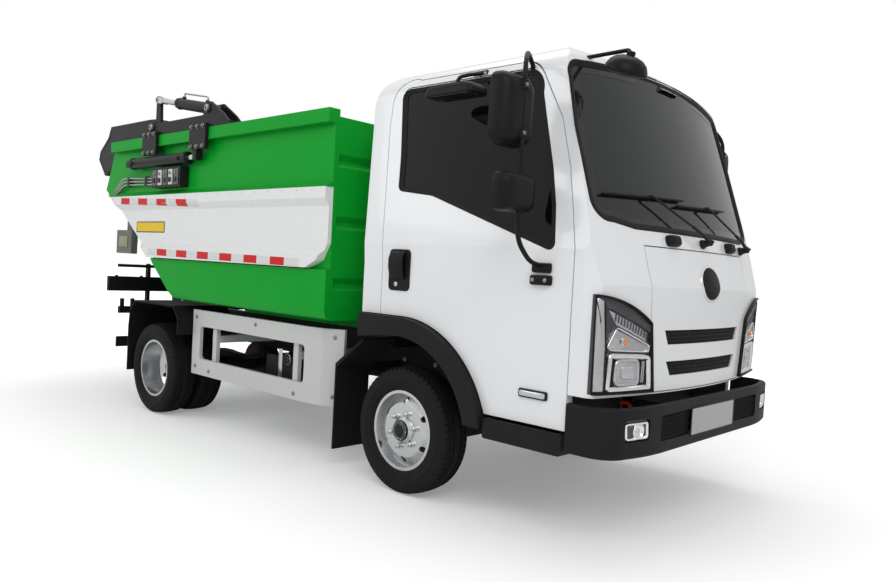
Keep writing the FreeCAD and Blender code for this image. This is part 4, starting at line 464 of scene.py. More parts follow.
GRAINED_PLASTIC = Finish("grained_plastic", (0.012, 0.0125, 0.014), 0.5, dust=0.04, reach=1.1,
                         wear=0.1, grain=700.0, bump=0.00025, cells=0.8, drift=0.15, gloss=0.12,
                         slot="dark_plastic")
MIRROR_PLASTIC = Finish("mirror_plastic", (0.009, 0.009, 0.01), 0.4, dust=0.04, reach=3.0,
                        wear=0.05, grain=800.0, bump=0.00015, cells=0.8, gloss=0.12,
                        slot="dark_plastic")
TYRE_RUBBER = Finish("tyre_rubber", (0.009, 0.009, 0.0095), 0.62, dust=0.04, reach=0.8, grain=350.0,
                     bump=0.0004, cells=0.3, drift=0.1, gloss=0.12, slot="tyre_rubber")
FLAP_RUBBER = Finish("flap_rubber", (0.009, 0.009, 0.009), 0.66, dust=0.04, reach=1.0, grain=240.0,
                     bump=0.0004, cells=0.2, gloss=0.12, slot="tyre_rubber")
POLISHED_RIM = Finish("polished_rim", (0.6, 0.61, 0.62), 0.26, metallic=1.0, dust=0.12, reach=0.8,
                      grain=120.0, bump=0.00008, cells=0.0, slot="polished_rim")
CHROME_ROD = Finish("chrome_rod", (0.78, 0.78, 0.79), 0.12, metallic=1.0, dust=0.05, reach=2.6,
                    grain=90.0, bump=0.00004, cells=0.0, slot="chromed_rod")
SEAT_CLOTH = Finish("seat_cloth", (0.022, 0.023, 0.027), 0.85, dust=0.04, grain=900.0, bump=0.0006,
                    cells=0.7, gloss=0.12, slot="seat_cloth")
DASH_PLASTIC = Finish("dash_plastic", (0.016, 0.016, 0.018), 0.55, dust=0.04, grain=600.0,
                      bump=0.0003, cells=0.8, gloss=0.12, slot="dark_plastic")
CAST_METAL = Finish("cast_metal", (0.05, 0.05, 0.05), 0.55, metallic=0.6, dust=0.2, reach=1.0,
                    wear=0.4, grain=220.0, bump=0.0006, slot="grey_steel")
GRILLE_GREY = Finish("grille_grey", (0.035, 0.035, 0.037), 0.42, dust=0.02, grain=400.0, gloss=0.3,
                     edge=0.001, slot="dark_plastic")
TINTED_GLASS = Glass("tinted_glass", (0.01, 0.013, 0.013))
# Door panes: near-black and almost opaque, so their black is painted shade that stands for the dark
# inside of the cab behind the glass.
DOOR_GLASS_PAINTED_SHADE = Glass("dark_glass", (0.003, 0.003, 0.003), alpha=0.985, gloss=0.07)
CHROME = Finish("chrome", (0.86, 0.86, 0.87), 0.07, metallic=1.0, reach=2.0, grain=90.0,
                bump=0.00003, cells=0.0, slot="polished_rim")
BRIGHT_STEEL = Finish("bright_steel", (0.62, 0.62, 0.62), metallic=1.0, dust=0.15, reach=1.6,
                      slot="grey_steel")
BOLT_STEEL = Finish("bolt_steel", (0.34, 0.33, 0.31), 0.38, metallic=1.0, dust=0.2, reach=1.8,
                    wear=0.2, grain=300.0, slot="grey_steel")
PIPE_STEEL = Finish("pipe_steel", (0.46, 0.46, 0.45), 0.34, metallic=1.0, dust=0.1, reach=1.6,
                    grain=300.0, slot="grey_steel")
HUB_BLACK = Finish("hub_black", (0.02, 0.02, 0.021), 0.42, dust=0.04, reach=0.8, wear=0.4,
                   bump=0.0002, gloss=0.15, slot="dark_steel")
SEAL_RUBBER = Finish("seal_rubber", (0.014, 0.0145, 0.016), 0.52, dust=0.02, reach=2.4, grain=500.0,
                     gloss=0.12, slot="tyre_rubber")
PRINTED_BLACK = Finish("printed_black", (0.008, 0.008, 0.009), 0.12, dust=0.02, grain=900.0,
                       bump=0.00002, cells=0.9, slot="dark_glass")
WIPER_BLACK = Finish("wiper_black", (0.016, 0.016, 0.017), 0.45, dust=0.05, reach=2.4, wear=0.1,
                     grain=500.0, bump=0.00008, gloss=0.12, slot="dark_plastic")
GLOSS_BLACK = Finish("gloss_black", (0.01, 0.01, 0.012), 0.2, dust=0.01, grain=100.0, bump=0.00003,
                     cells=0.0, gloss=0.04, slot="dark_plastic")
PLATE_WHITE = Finish("plate_white", (0.42, 0.425, 0.43), 0.35, dust=0.12, reach=1.0, wear=0.1,
                     grain=120.0, gloss=0.3, slot="white_paint")
TOW_RED = Finish("tow_red", (0.55, 0.03, 0.02), 0.42, dust=0.1, wear=0.2, grain=260.0, bump=0.0002,
                 slot="dark_steel")
TAPE_RED = Finish("tape_red", (0.62, 0.018, 0.022), reach=2.0, grain=240.0, bump=0.0003, cells=1.0,
                  gloss=0.15)
TAPE_WHITE = Finish("tape_white", (0.7, 0.7, 0.7), reach=2.0, grain=240.0, bump=0.0003, cells=1.0,
                    gloss=0.2)
LABEL_YELLOW = Finish("label_yellow", (0.8, 0.56, 0.03), 0.4, reach=2.0, bump=0.00006, gloss=0.15,
                      slot="white_paint")
LABEL_DARK = Finish("label_dark", (0.03, 0.03, 0.03), 0.42, dust=0.1, reach=2.0, bump=0.00006,
                    slot="dark_plastic")
VALVE_WHITE = Finish("valve_white", (0.62, 0.63, 0.62), 0.35, dust=0.15, reach=2.0, wear=0.4,
                     bump=0.0002, slot="grey_steel")
SEAT_PIPING = Finish("seat_piping", (0.02, 0.02, 0.022), 0.6, dust=0.0, grain=900.0, bump=0.0002,
                     slot="seat_cloth")
LAMP_SILVER = Finish("lamp_silver", (0.62, 0.63, 0.65), 0.22, metallic=1.0, dust=0.0, grain=420.0,
                     bump=0.0004, cells=1.0)
LAMP_GREY = Finish("lamp_grey", (0.09, 0.092, 0.1), metallic=0.4, dust=0.0, grain=420.0,
                   bump=0.0002, cells=1.0, gloss=0.3)
AMBER = Finish("amber_lamp", (0.9, 0.26, 0.01), 0.15, coat=0.6, dust=0.0, grain=500.0, bump=0.0003,
               cells=1.0)
LAMP_RED = Finish("red_lamp", (0.45, 0.008, 0.01), 0.12, coat=0.7, dust=0.08, reach=2.0,
                  grain=380.0, bump=0.0005, cells=1.0)
LAMP_AMBER = Finish("amber_lens", (0.75, 0.22, 0.01), 0.12, coat=0.7, dust=0.08, reach=2.0,
                    grain=380.0, bump=0.0005, cells=1.0)
LAMP_OLIVE = Finish("olive_lens", (0.24, 0.22, 0.1), 0.14, coat=0.6, dust=0.08, reach=2.0,
                    grain=380.0, bump=0.0005, cells=1.0)
MIRROR_GLASS = Finish("mirror_glass", (0.88, 0.89, 0.9), 0.02, metallic=1.0, dust=0.02, reach=2.4,
                      grain=40.0, bump=0.00001, cells=0.0, slot="chromed_rod")
CLEAR_LENS = Glass("clear_lens", (0.02, 0.02, 0.022), alpha=0.07, slot="lamp_glass", gloss=0.6)

FINISH_NODES: tuple[tuple[Finish | Glass, str], ...] = (
    (WHITE_PAINT, "cab_shell door_right door_left front_lid"),
    (GREEN_PAINT, "tub_shell tub_rails"),
    (PANEL_WHITE, "tub_side_panels"),
    (GUARD_WHITE, "side_guards"),
    (GRAINED_PLASTIC, "front_bumper flares_and_steps"),
    (FLAP_RUBBER, "rear_mudguards front_mud_flaps grille_mesh"),
    (FRAME_BLACK, "chassis_frame drive_shaft axles leaf_springs cab_floor chassis_tanks "
                  "pivot_stands underrun_guard bin_comb"),
    (CAST_METAL, "engine_block knuckle_right knuckle_left"),
    (MECHANISM_BLACK, "lift_barrel slide_barrels valve_block carriage push_blade blade_barrels"),
    (CHROME_ROD, "lift_stage lift_rod slide_rods blade_rods"),
    (DASH_PLASTIC, "dashboard steering_wheel"),
    (SEAT_CLOTH, "seats"),
    (BRACKET_GREY, "tail_lamps"),
    (TINTED_GLASS, "cab_glass"),
    # The door panes' near-black glass is painted shade of the cab's inside.
    (DOOR_GLASS_PAINTED_SHADE, "door_glass_right door_glass_left"),
    (TYRE_RUBBER, "front_tyre_right front_tyre_left rear_tyres_right rear_tyres_left"),
    (POLISHED_RIM, "front_rim_right front_rim_left rear_rims_right rear_rims_left"),
    (LAMP_GREY, "headlamps fog_lamps"),
    (MIRROR_PLASTIC, "mirrors_right mirrors_left front_mirror"),
)


def dress_nodes() -> None:
    """Give each carried-over CAD node its finish."""
    for finish, names in FINISH_NODES:
        for name in names.split():
            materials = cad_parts[name].data.materials
            materials.clear()
            materials.append(finish.build())
    log.info("CAD nodes dressed")


# Shapes that the sub-assemblies are made of


class Skin:
    """The outside of CAD nodes, looked at along one axis, for laying pieces on it."""

    def __init__(self, *nodes: str, view: Axis = Axis.X, side: int = 1) -> None:
        """Gather the nodes' faces for ray casting.

        Args:
            nodes: Names of the nodes.
            view: Axis that they are looked at along.
            side: 1 to look from that axis's high end, -1 from its low end.
        """
        points: list[Vector] = []
        faces: list[list[int]] = []
        for name in nodes:
            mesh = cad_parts[name].data
            start = len(points)
            points.extend(vertex.co.copy() for vertex in mesh.vertices)
            faces.extend([start + index for index in face.vertices] for face in mesh.polygons)
        self.tree = BVHTree.FromPolygons(points, faces)
        self.view, self.side, self.nodes = view, side, nodes
        self.out, self.ahead = (Vector([float(way) if axis is view else 0.0 for axis in Axis])
                                for way in (side, -side))

    def _cast(self, first: float, second: float) -> tuple[Vector | None, Vector]:
        """Return the point that a ray against the view meets, and its outward normal.

        Args:
            first: First of the two coordinates across the view.
            second: Second of them.

        Returns:
            The point, or None, and the normal there.
        """
        start = [first, second]
        start.insert(self.view.value, FAR * self.side)
        place, normal, _, _ = self.tree.ray_cast(Vector(start), self.ahead)
        if normal is not None and normal.dot(self.out) < 0:
            normal = -normal
        return place, normal

    def lay(self, first: float, second: float, lift: float = 0.0) -> Vector:
        """Find the point of the skin at two coordinates, lifted off it along its normal.

        Args:
            first: First of the two coordinates across the view.
            second: Second of them.
            lift: Height over the skin.

        Returns:
            The point.
        """
        place, normal = self._cast(first, second)
        if place is None:
            raise ValueError(f"nothing of {self.nodes} at {first:.3f}, {second:.3f}")
        return place + normal * lift

    def hit(self, first: float, second: float) -> Vector | None:
        """Return the point of the skin at two coordinates, or None where there is none."""
        return self._cast(first, second)[0]

    def normal(self, first: float, second: float) -> Vector:
        """Return the skin's outward normal at two coordinates."""
        return self._cast(first, second)[1]

    def spots(self, places: Iterable[Flat], near: float, far: float = FAR) -> list[Vector]:
        """Find places on the skin, without those that miss it or lie off a band.

        Args:
            places: Two coordinates of each place.
            near: Least distance from the plane through the origin.
            far: Greatest distance from it.

        Returns:
            The points found, in order.
        """
        hits = (self.hit(*place) for place in places)
        return [hit for hit in hits if hit is not None and near < abs(hit[self.view.value]) < far]


def rounded_outline(corners: Sequence[Point], steps: int = 5) -> list[Flat]:
    """Outline a polygon with rounded corners.

    Args:
        corners: Each corner's two coordinates and its radius.
        steps: Points on each rounding.

    Returns:
        The outline's points in order.
    """
    outline: list[Flat] = []
    for index, (first, second, radius) in enumerate(corners):
        here = Vector((first, second))
        back = Vector(corners[index - 1][:2]) - here
        ahead = Vector(corners[(index + 1) % len(corners)][:2]) - here
        reach = min(radius, back.length * 0.49, ahead.length * 0.49)
        if reach <= 0:
            outline.append((first, second))
            continue
        start, end = here + back.normalized() * reach, here + ahead.normalized() * reach
        for step in range(steps + 1):
            share = step / steps
            spot = start * (1 - share) ** 2 + here * (2 * share * (1 - share)) + end * share ** 2
            outline.append((spot.x, spot.y))
    return outline


def box_outline(low: Flat, high: Flat, radius: float, steps: int = 5) -> list[Flat]:
    """Outline a rectangle with rounded corners."""
    return rounded_outline([(low[0], low[1], radius), (high[0], low[1], radius),
                            (high[0], high[1], radius), (low[0], high[1], radius)], steps)


def box_round(middle: Flat, half: Flat, radius: float, steps: int = 5) -> list[Flat]:
    """Outline a rectangle with rounded corners from its middle and its half sizes."""
    return box_outline((middle[0] - half[0], middle[1] - half[1]),
                       (middle[0] + half[0], middle[1] + half[1]), radius, steps)


def scaled(outline: Sequence[Flat], share: float, middle: Flat = (0.0, 0.0)) -> list[Flat]:
    """Shrink an outline towards a middle."""
    return [(middle[0] + (first - middle[0]) * share, middle[1] + (second - middle[1]) * share)
            for first, second in outline]


def middle_of(outline: Sequence[Flat]) -> Flat:
    """Return the mean of an outline's points."""
    return tuple(sum(point[index] for point in outline) / len(outline) for index in (0, 1))


def divided(outline: Sequence[Flat], step: float) -> list[Flat]:
    """Add points to a closed outline so that no side is longer than a step.

    Args:
        outline: The outline's points.
        step: Greatest distance between two points, or 0 to add none.

    Returns:
        The outline with the added points.
    """
    if not step:
        return list(outline)
    points: list[Flat] = []
    for start, end in zip(outline, [*outline[1:], outline[0]]):
        count = max(1, math.ceil(math.dist(start, end) / step))
        points += [(start[0] + (end[0] - start[0]) * index / count,
                    start[1] + (end[1] - start[1]) * index / count) for index in range(count)]
    return points


def bent(points: Sequence[Sequence[float]], radius: float, steps: int = 6) -> list[Vector]:
    """Round the corners of a path in space.

    Args:
        points: The path's corners.
        radius: How far from each corner the rounding starts.
        steps: Points on each rounding.

    Returns:
        The rounded path.
    """
    path = [Vector(points[0])]
    for before, corner, after in zip(points, points[1:], points[2:]):
        here = Vector(corner)
        back, ahead = Vector(before) - here, Vector(after) - here
        reach = min(radius, back.length * 0.48, ahead.length * 0.48)
        start, end = here + back.normalized() * reach, here + ahead.normalized() * reach
        for step in range(steps + 1):
            share = step / steps
            path.append(start * (1 - share) ** 2 + here * (2 * share * (1 - share))
                        + end * share ** 2)
    path.append(Vector(points[-1]))
    return path


def on_circle(centre: Vector, radius: float, count: int, start: float = 0.0) -> list[Vector]:
    """Spread places round a wheel's centre, from a share of the step between them.

    Args:
        centre: Middle of the circle.
        radius: Its radius.
        count: Number of places.
        start: Share of a step that the first is turned by.

    Returns:
        The places.
    """
    turns = [math.tau * (index + start) / count for index in range(count)]
    return [centre + Vector((math.cos(turn) * radius, 0.0, math.sin(turn) * radius))
            for turn in turns]


def across(ahead: Vector) -> tuple[Vector, Vector]:
    """Return two directions square to a direction and to each other.

    Args:
        ahead: The direction.

    Returns:
        The two directions.
    """
    helper = Vector((0, 0, 1)) if abs(ahead.z) < 0.9 else Vector((1, 0, 0))
    out = helper.cross(ahead).normalized()
    return out, ahead.cross(out)


class Form:
    """Collects the faces of one piece and turns them into an object."""

    def __init__(self) -> None:
        """Start with nothing."""
        self.mesh = bmesh.new()

    def face(self, corners: Sequence[bmesh.types.BMVert], slot: int = 0) -> None:
        """Add a face over given corners."""
        made = self.mesh.faces.new(corners)
        made.material_index = slot

    def loft(self, rings: Sequence[Sequence[Sequence[float]]], slot: int = 0,
             endless: bool = False) -> None:
        """Join closed rings of the same number of points with faces.

        Args:
            rings: The rings, in order.
            slot: Number of the finish.
            endless: Whether the last ring joins the first; else both ends are filled.
        """
        rows = [[self.mesh.verts.new(point) for point in ring] for ring in rings]
        for low, high in zip(rows, rows[1:] + rows[:1] if endless else rows[1:]):
            for index in range(len(low)):
                after = (index + 1) % len(low)
                self.face((low[index], low[after], high[after], high[index]), slot)
        if not endless:
            self.face(rows[0][::-1], slot)
            self.face(rows[-1], slot)

    def stack(self, levels: Iterable[Flat], outline: Callable[[float], list[Flat]],
              place: Callable[[float, float, float], Vector], slot: int = 0) -> None:
        """Join rings that follow an outline at several sizes and levels.

        Args:
            levels: Size and level of each ring.
            outline: Gives the outline at a size.
            place: Gives the point at an outline's two coordinates and a level.
            slot: Number of the finish.
        """
        self.loft([[place(first, second, level) for first, second in outline(share)]
                   for share, level in levels], slot)

    def turn(self, profile: Sequence[Flat], centre: Sequence[float], axis: Sequence[float],
             steps: int = 32, slot: int = 0) -> None:
        """Turn a profile about an axis.

        Args:
            profile: Distance along the axis and radius of each point.
            centre: Where the axis starts.
            axis: Its direction.
            steps: Points round it.
            slot: Number of the finish.
        """
        ahead = Vector(axis).normalized()
        out, up = across(ahead)
        round_it = [out * math.cos(math.tau * step / steps) + up * math.sin(math.tau * step / steps)
                    for step in range(steps)]
        self.loft([[Vector(centre) + ahead * along + way * radius for way in round_it]
                   for along, radius in profile], slot)

    def pipe(self, path: Sequence[Sequence[float]], radius: float, steps: int = 12,
             slot: int = 0, squash: float = 1.0) -> None:
        """Run a round bar along a path.

        Args:
            path: The bar's middle line.
            radius: Its radius.
            steps: Points round it.
            slot: Number of the finish.
            squash: Its thickness one way against the other.
        """
        points = [Vector(point) for point in path]
        out, _ = across((points[1] - points[0]).normalized())
        turns = [math.tau * step / steps for step in range(steps)]
        rings = []
        for index, point in enumerate(points):
            after = points[min(index + 1, len(points) - 1)]
            ahead = (after - points[max(index - 1, 0)]).normalized()
            out = (out - ahead * out.dot(ahead)).normalized()
            up = ahead.cross(out)
            rings.append([point + out * math.cos(turn) * radius
                          + up * math.sin(turn) * radius * squash for turn in turns])
        self.loft(rings, slot)

    def slab(self, outline: Sequence[Flat], axis: Axis, levels: Flat, slot: int = 0) -> None:
        """Fill an outline between two levels of an axis.

        Args:
            outline: The two other coordinates of each point.
            axis: Axis that the slab's thickness runs along.
            levels: Its first and last level.
            slot: Number of the finish.
        """
        rings = []
        for level in levels:
            ring = [list(pair) for pair in outline]
            for spot in ring:
                spot.insert(axis.value, level)
            rings.append(ring)
        self.loft(rings, slot)

    def cover(self, skin: Skin, outline: Sequence[Flat], height: float, slot: int = 0,
              crown: float = 0.0, step: float = 0.02) -> None:
        """Lay a thin pad with a soft edge on a skin.

        Args:
            skin: Skin that it lies on.
            outline: The two coordinates of each point of its edge.
            height: Its height over the skin.
            slot: Number of the finish.
            crown: How much higher its middle is.
            step: Greatest distance between points of its edge, or 0 to add none.
        """
        outline = divided(outline, step)
        middle = middle_of(outline)
        levels = ((1.0, -0.0015), (1.0, height * 0.7), (0.975, height),
                  (0.60, height + crown * 0.64), (0.22, height + crown))
        self.stack(levels, lambda share: scaled(outline, share, middle), skin.lay, slot)

    def bar(self, skin: Skin, outline: Sequence[Flat], width: float, height: float,
            slot: int = 0) -> None:
        """Run a rounded bar on a skin inside a closed outline.

        Args:
            skin: Skin that it stands on, seen along X.
            outline: Its outer edge, across and up.
            width: Its width.
            height: Its height over the skin.
            slot: Number of the finish.
        """
        points = divided(outline, 0.012)
        middle = Vector(middle_of(points))
        rings = []
        for index, point in enumerate(points):
            here = Vector(point)
            run = Vector(points[(index + 1) % len(points)]) - Vector(points[index - 1])
            inward = Vector((-run.y, run.x)).normalized()
            if inward.dot(middle - here) < 0:
                inward = -inward
            rings.append([skin.lay(*(here + inward * width * share), height * lift - 0.001)
                          for share, lift in ((0.0, 0.0), (0.04, 0.62), (0.22, 0.92), (0.5, 1.0),
                                              (0.78, 0.88), (0.98, 0.5), (1.0, 0.0))])
        self.loft(rings, slot, endless=True)

    def block(self, low: Sequence[float], high: Sequence[float], slot: int = 0) -> None:
        """Add a box between two corners."""
        self.slab([(low[0], low[1]), (high[0], low[1]), (high[0], high[1]), (low[0], high[1])],
                  Axis.Z, (low[2], high[2]), slot)

    def bolt(self, place: Sequence[float], axis: Sequence[float], size: float,
             slot: int = 0) -> None:
        """Add a hexagon head on its washer.

        Args:
            place: Middle of the washer's foot.
            axis: Direction that the head points in.
            size: Width over the head's corners.
            slot: Number of the finish.
        """
        half = size / 2
        self.turn([(0, half * 1.35), (half * 0.22, half * 1.35), (half * 0.25, half * 1.1)],
                  place, axis, 16, slot)
        top = Vector(place) + Vector(axis).normalized() * half * 0.25
        self.turn([(0, half), (half * 0.6, half), (half * 0.75, half * 0.82)], top, axis, 6, slot)

    def bolts(self, skin: Skin, places: Iterable[Flat], size: float, near: float,
              far: float = FAR, slot: int = 0) -> None:
        """Add a bolt at each place that lies on a skin within a band, as Skin.spots finds them."""
        for spot in skin.spots(places, near, far):
            self.bolt(spot, skin.out, size, slot)

    def build(self, name: str, body: str, *finishes: "Finish | Glass",
              bevel: float = 0.0) -> bpy.types.Object:
        """Make the object, dress it and let it ride on a body.

        Args:
            name: Name of the piece.
            body: Body that it moves with.
            finishes: Its finishes, by slot number.
            bevel: Width of the rounding of its edges.

        Returns:
            The object.
        """
        bmesh.ops.remove_doubles(self.mesh, verts=self.mesh.verts, dist=2e-5)
        bmesh.ops.dissolve_degenerate(self.mesh, edges=self.mesh.edges, dist=1e-5)
        bmesh.ops.recalc_face_normals(self.mesh, faces=self.mesh.faces)
        if bevel:
            edges = [edge for edge in self.mesh.edges
                     if len(edge.link_faces) == 2 and edge.calc_face_angle(0.0) > BEVEL_ANGLE]
            bmesh.ops.bevel(self.mesh, geom=edges, offset=bevel, offset_type="OFFSET",
                            segments=2, profile=0.5, affect="EDGES", clamp_overlap=True)
        data = bpy.data.meshes.new(name)
        self.mesh.to_mesh(data)
        self.mesh.free()
        for face in data.polygons:
            face.use_smooth = True
        data.set_sharp_from_angle(angle=SHARP_ANGLE)
        for finish in finishes:
            data.materials.append(finish.build())
        made = bpy.data.objects.new(name, data)
        bpy.context.scene.collection.objects.link(made)
        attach(made, body)
        log.info("%s rides on %s", name, body)
        return made


@dataclass(frozen=True)
class RimPoint:
    """A point on the edge of a pane or lamp: its place, the skin's normal and the way outward."""

    place: Vector
    normal: Vector
    outward: Vector


def rim_loops(node: str, view: Sequence[float], facing: float = 0.45) -> list[list[Vector]]:
    """Follow the edges of those faces of a node that look along a direction.

    Args:
        node: Name of the CAD node.
        view: Direction that the faces look along.
        facing: Least cosine between a face's normal and that direction.

    Returns:
        Each closed edge as its points in order.
    """
    mesh = bmesh.new()
    mesh.from_mesh(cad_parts[node].data)
    bmesh.ops.remove_doubles(mesh, verts=mesh.verts, dist=1e-5)
    mesh.verts.index_update()
    mesh.normal_update()
    ahead = Vector(view).normalized()
    seen = {face for face in mesh.faces if face.normal.dot(ahead) > facing}
    links: dict[int, list[int]] = {}
    for edge in mesh.edges:
        if sum(face in seen for face in edge.link_faces) == 1:
            first, second = (vertex.index for vertex in edge.verts)
            links.setdefault(first, []).append(second)
            links.setdefault(second, []).append(first)
    mesh.verts.ensure_lookup_table()
    loops = []
    left = set(links)
    while left:
        start = min(left)
        loop, here, before = [start], links[start][0], start
        left.discard(start)
        while here != start and here in left:
            left.discard(here)
            loop.append(here)
            onward = [other for other in links[here] if other != before]
            before, here = here, onward[0] if onward else start
        loops.append([mesh.verts[index].co.copy() for index in loop])
    mesh.free()
    return loops


def even_rim(loop: Sequence[Vector], skin: Skin, step: float) -> list[RimPoint]:
    """Spread points evenly along a closed edge and find the skin's normals there.

    Args:
        loop: The edge's points.
        skin: Skin that the edge bounds.
        step: Distance between points.

    Returns:
        The points, each with its directions.
    """
    ring = [*loop, loop[0]]
    lengths = [0.0]
    for first, second in zip(ring, ring[1:]):
        lengths.append(lengths[-1] + (second - first).length)
    count = max(12, round(lengths[-1] / step))
    places = []
    at = 0
    for index in range(count):
        goal = lengths[-1] * index / count
        while lengths[at + 1] < goal:
            at += 1
        share = (goal - lengths[at]) / max(lengths[at + 1] - lengths[at], 1e-9)
        places.append(ring[at].lerp(ring[at + 1], share))
    middle = sum(places, Vector()) / count
    points = []
    for index, place in enumerate(places):
        ahead = (places[(index + 1) % count] - places[index - 1]).normalized()
        inner = [value for axis, value in enumerate(place.lerp(middle, 0.02))
                 if axis != skin.view.value]
        normal = (skin.lay(*inner, 1.0) - skin.lay(*inner)).normalized()
        outward = ahead.cross(normal).normalized()
        if outward.dot(place - middle) < 0:
            outward = -outward
        points.append(RimPoint(place, normal, outward))
    return points


def bead(form: Form, rim: Sequence[RimPoint], section: Sequence[Flat], slot: int = 0) -> None:
    """Run a section, given as distances outward and heights, round a rim."""
    form.loft([[point.place + point.outward * out + point.normal * high for out, high in section]
               for point in rim], slot, endless=True)


# Wheels


@dataclass(frozen=True)
class Tyre:
    """Road tyre with ribs, cross grooves and a ringed sidewall.

    Attributes:
        radius: Outer radius.
        width: Width over the sidewalls.
        bead: Radius where it meets the rim.
        bead_half: Half its width there.
        pitches: Blocks round each rib.
        groove: Depth of the grooves.
        groove_half: Half the width of a groove round the tyre.
        edge: How far from the sidewall's widest point the tread ends, across.
        wall: The sidewall's points: distance past the widest point and drop from the tread.
        cuts: Share of a block where each row of points lies, and of the groove's depth there.
    """

    radius: float = 0.345
    width: float = 0.195
    bead: float = 0.209
    bead_half: float = 0.074
    pitches: int = 60
    groove: float = 0.008
    groove_half: float = 0.0055
    edge: float = 0.018
    wall: tuple[Flat, ...] = (
        (-0.0062, 0.034), (-0.0052, 0.0352), (-0.0046, 0.040), (-0.0016, 0.052), (0.0, 0.066),
        (0.0008, 0.0675), (0.0008, 0.0705), (-0.0002, 0.072), (-0.0022, 0.088), (-0.0060, 0.104),
        (-0.0052, 0.1055), (-0.0060, 0.1085), (-0.0085, 0.1095), (-0.0140, 0.122))
    cuts: tuple[Flat, ...] = ((0.0, 0.0), (0.70, 0.0), (0.78, 0.75), (0.94, 0.75))

    def _half_section(self) -> list[tuple[float, float, float, bool]]:
        """List one half of the section: distance across, radius, skew and whether it is cut.

        Returns:
            The points from the middle to the rim.
        """
        half, crown, slot = self.width / 2, self.radius, self.groove_half
        tread, low = half - self.edge, crown - self.groove
        rib, second = tread * 0.30, tread * 0.66
        points = [
            (0.0, crown, 0.0, False), (rib - slot, crown - 0.0003, 0.5, False),
            (rib - slot * 0.7, low, 0.5, False), (rib + slot * 0.7, low, 0.5, False),
            (rib + slot, crown - 0.0006, 0.0, True), (second - slot, crown - 0.002, 0.5, True),
            (second - slot * 0.7, low - 0.001, 0.5, False),
            (second + slot * 0.7, low - 0.001, 0.5, False),
            (second + slot, crown - 0.0035, 0.0, True), (tread * 0.92, crown - 0.0055, 0.35, True),
            (tread, crown - 0.0085, 0.45, True), (tread + 0.006, crown - 0.016, 0.5, True),
            (tread + 0.009, crown - 0.026, 0.5, False)]
        points += [(half + out, crown - drop, 0.5, False) for out, drop in self.wall]
        return points + [(self.bead_half + 0.006, self.bead + 0.008, 0.5, False),
                         (self.bead_half, self.bead, 0.5, False)]

    def add(self, form: Form, centre: Vector) -> None:
        """Add the tyre to a form.

        Args:
            form: Form that gets the faces.
            centre: Middle of the wheel.
        """
        half = self._half_section()
        section = [(-out, high, -skew, cut) for out, high, skew, cut in reversed(half[1:])] + half
        rings = []
        for pitch in range(self.pitches):
            for mark, depth in self.cuts:
                ring = []
                for out, high, skew, cut in section:
                    turn = math.tau * (pitch + mark + skew) / self.pitches
                    level = high - (self.groove * depth if cut else 0.0)
                    ring.append(centre + Vector((math.cos(turn) * level, out,
                                                 math.sin(turn) * level)))
                rings.append(ring)
        form.loft(rings, endless=True)


@dataclass(frozen=True)
class Hub:
    """What shows in the middle of one kind of wheel.

    Attributes:
        piece: Name of the piece, without its side.
        body: Name of the body that it turns with, without its side.
        x: Where the axle stands.
        face: Outer face of the wheel's disc, from the centre line.
        turned: Profile, points round and finish number of each turned part.
        bolts: Number of bolts on the cover.
        bolt_radius: Radius that they stand on.
        bolt_out: Their distance past the disc's face.
        bolt_size: Their width.
    """

    piece: str
    body: str
    x: float
    face: float
    turned: tuple[tuple[tuple[Flat, ...], int, int], ...]
    bolts: int
    bolt_radius: float
    bolt_out: float
    bolt_size: float


FRONT_HUB = Hub(
    "front_hub", "wheel_front", 1.342, 0.852,
    ((((0.000, 0.072), (0.006, 0.071), (0.010, 0.066), (0.012, 0.059)), 48, 0),
     (((0.004, 0.056), (0.026, 0.056), (0.034, 0.051), (0.036, 0.044), (0.033, 0.041),
       (0.033, 0.036), (0.040, 0.032), (0.045, 0.026), (0.046, 0.014), (0.047, 0.001)), 40, 1)),
    5, 0.047, 0.034, 0.009)
REAR_HUB = Hub(
    "rear_hub", "wheels_rear", -1.308, 0.7725,
    ((((0.000, 0.074), (0.004, 0.073), (0.010, 0.066), (0.060, 0.062), (0.072, 0.056),
       (0.075, 0.050), (0.071, 0.046), (0.071, 0.004)), 48, 1),),
    8, 0.050, 0.074, 0.012)


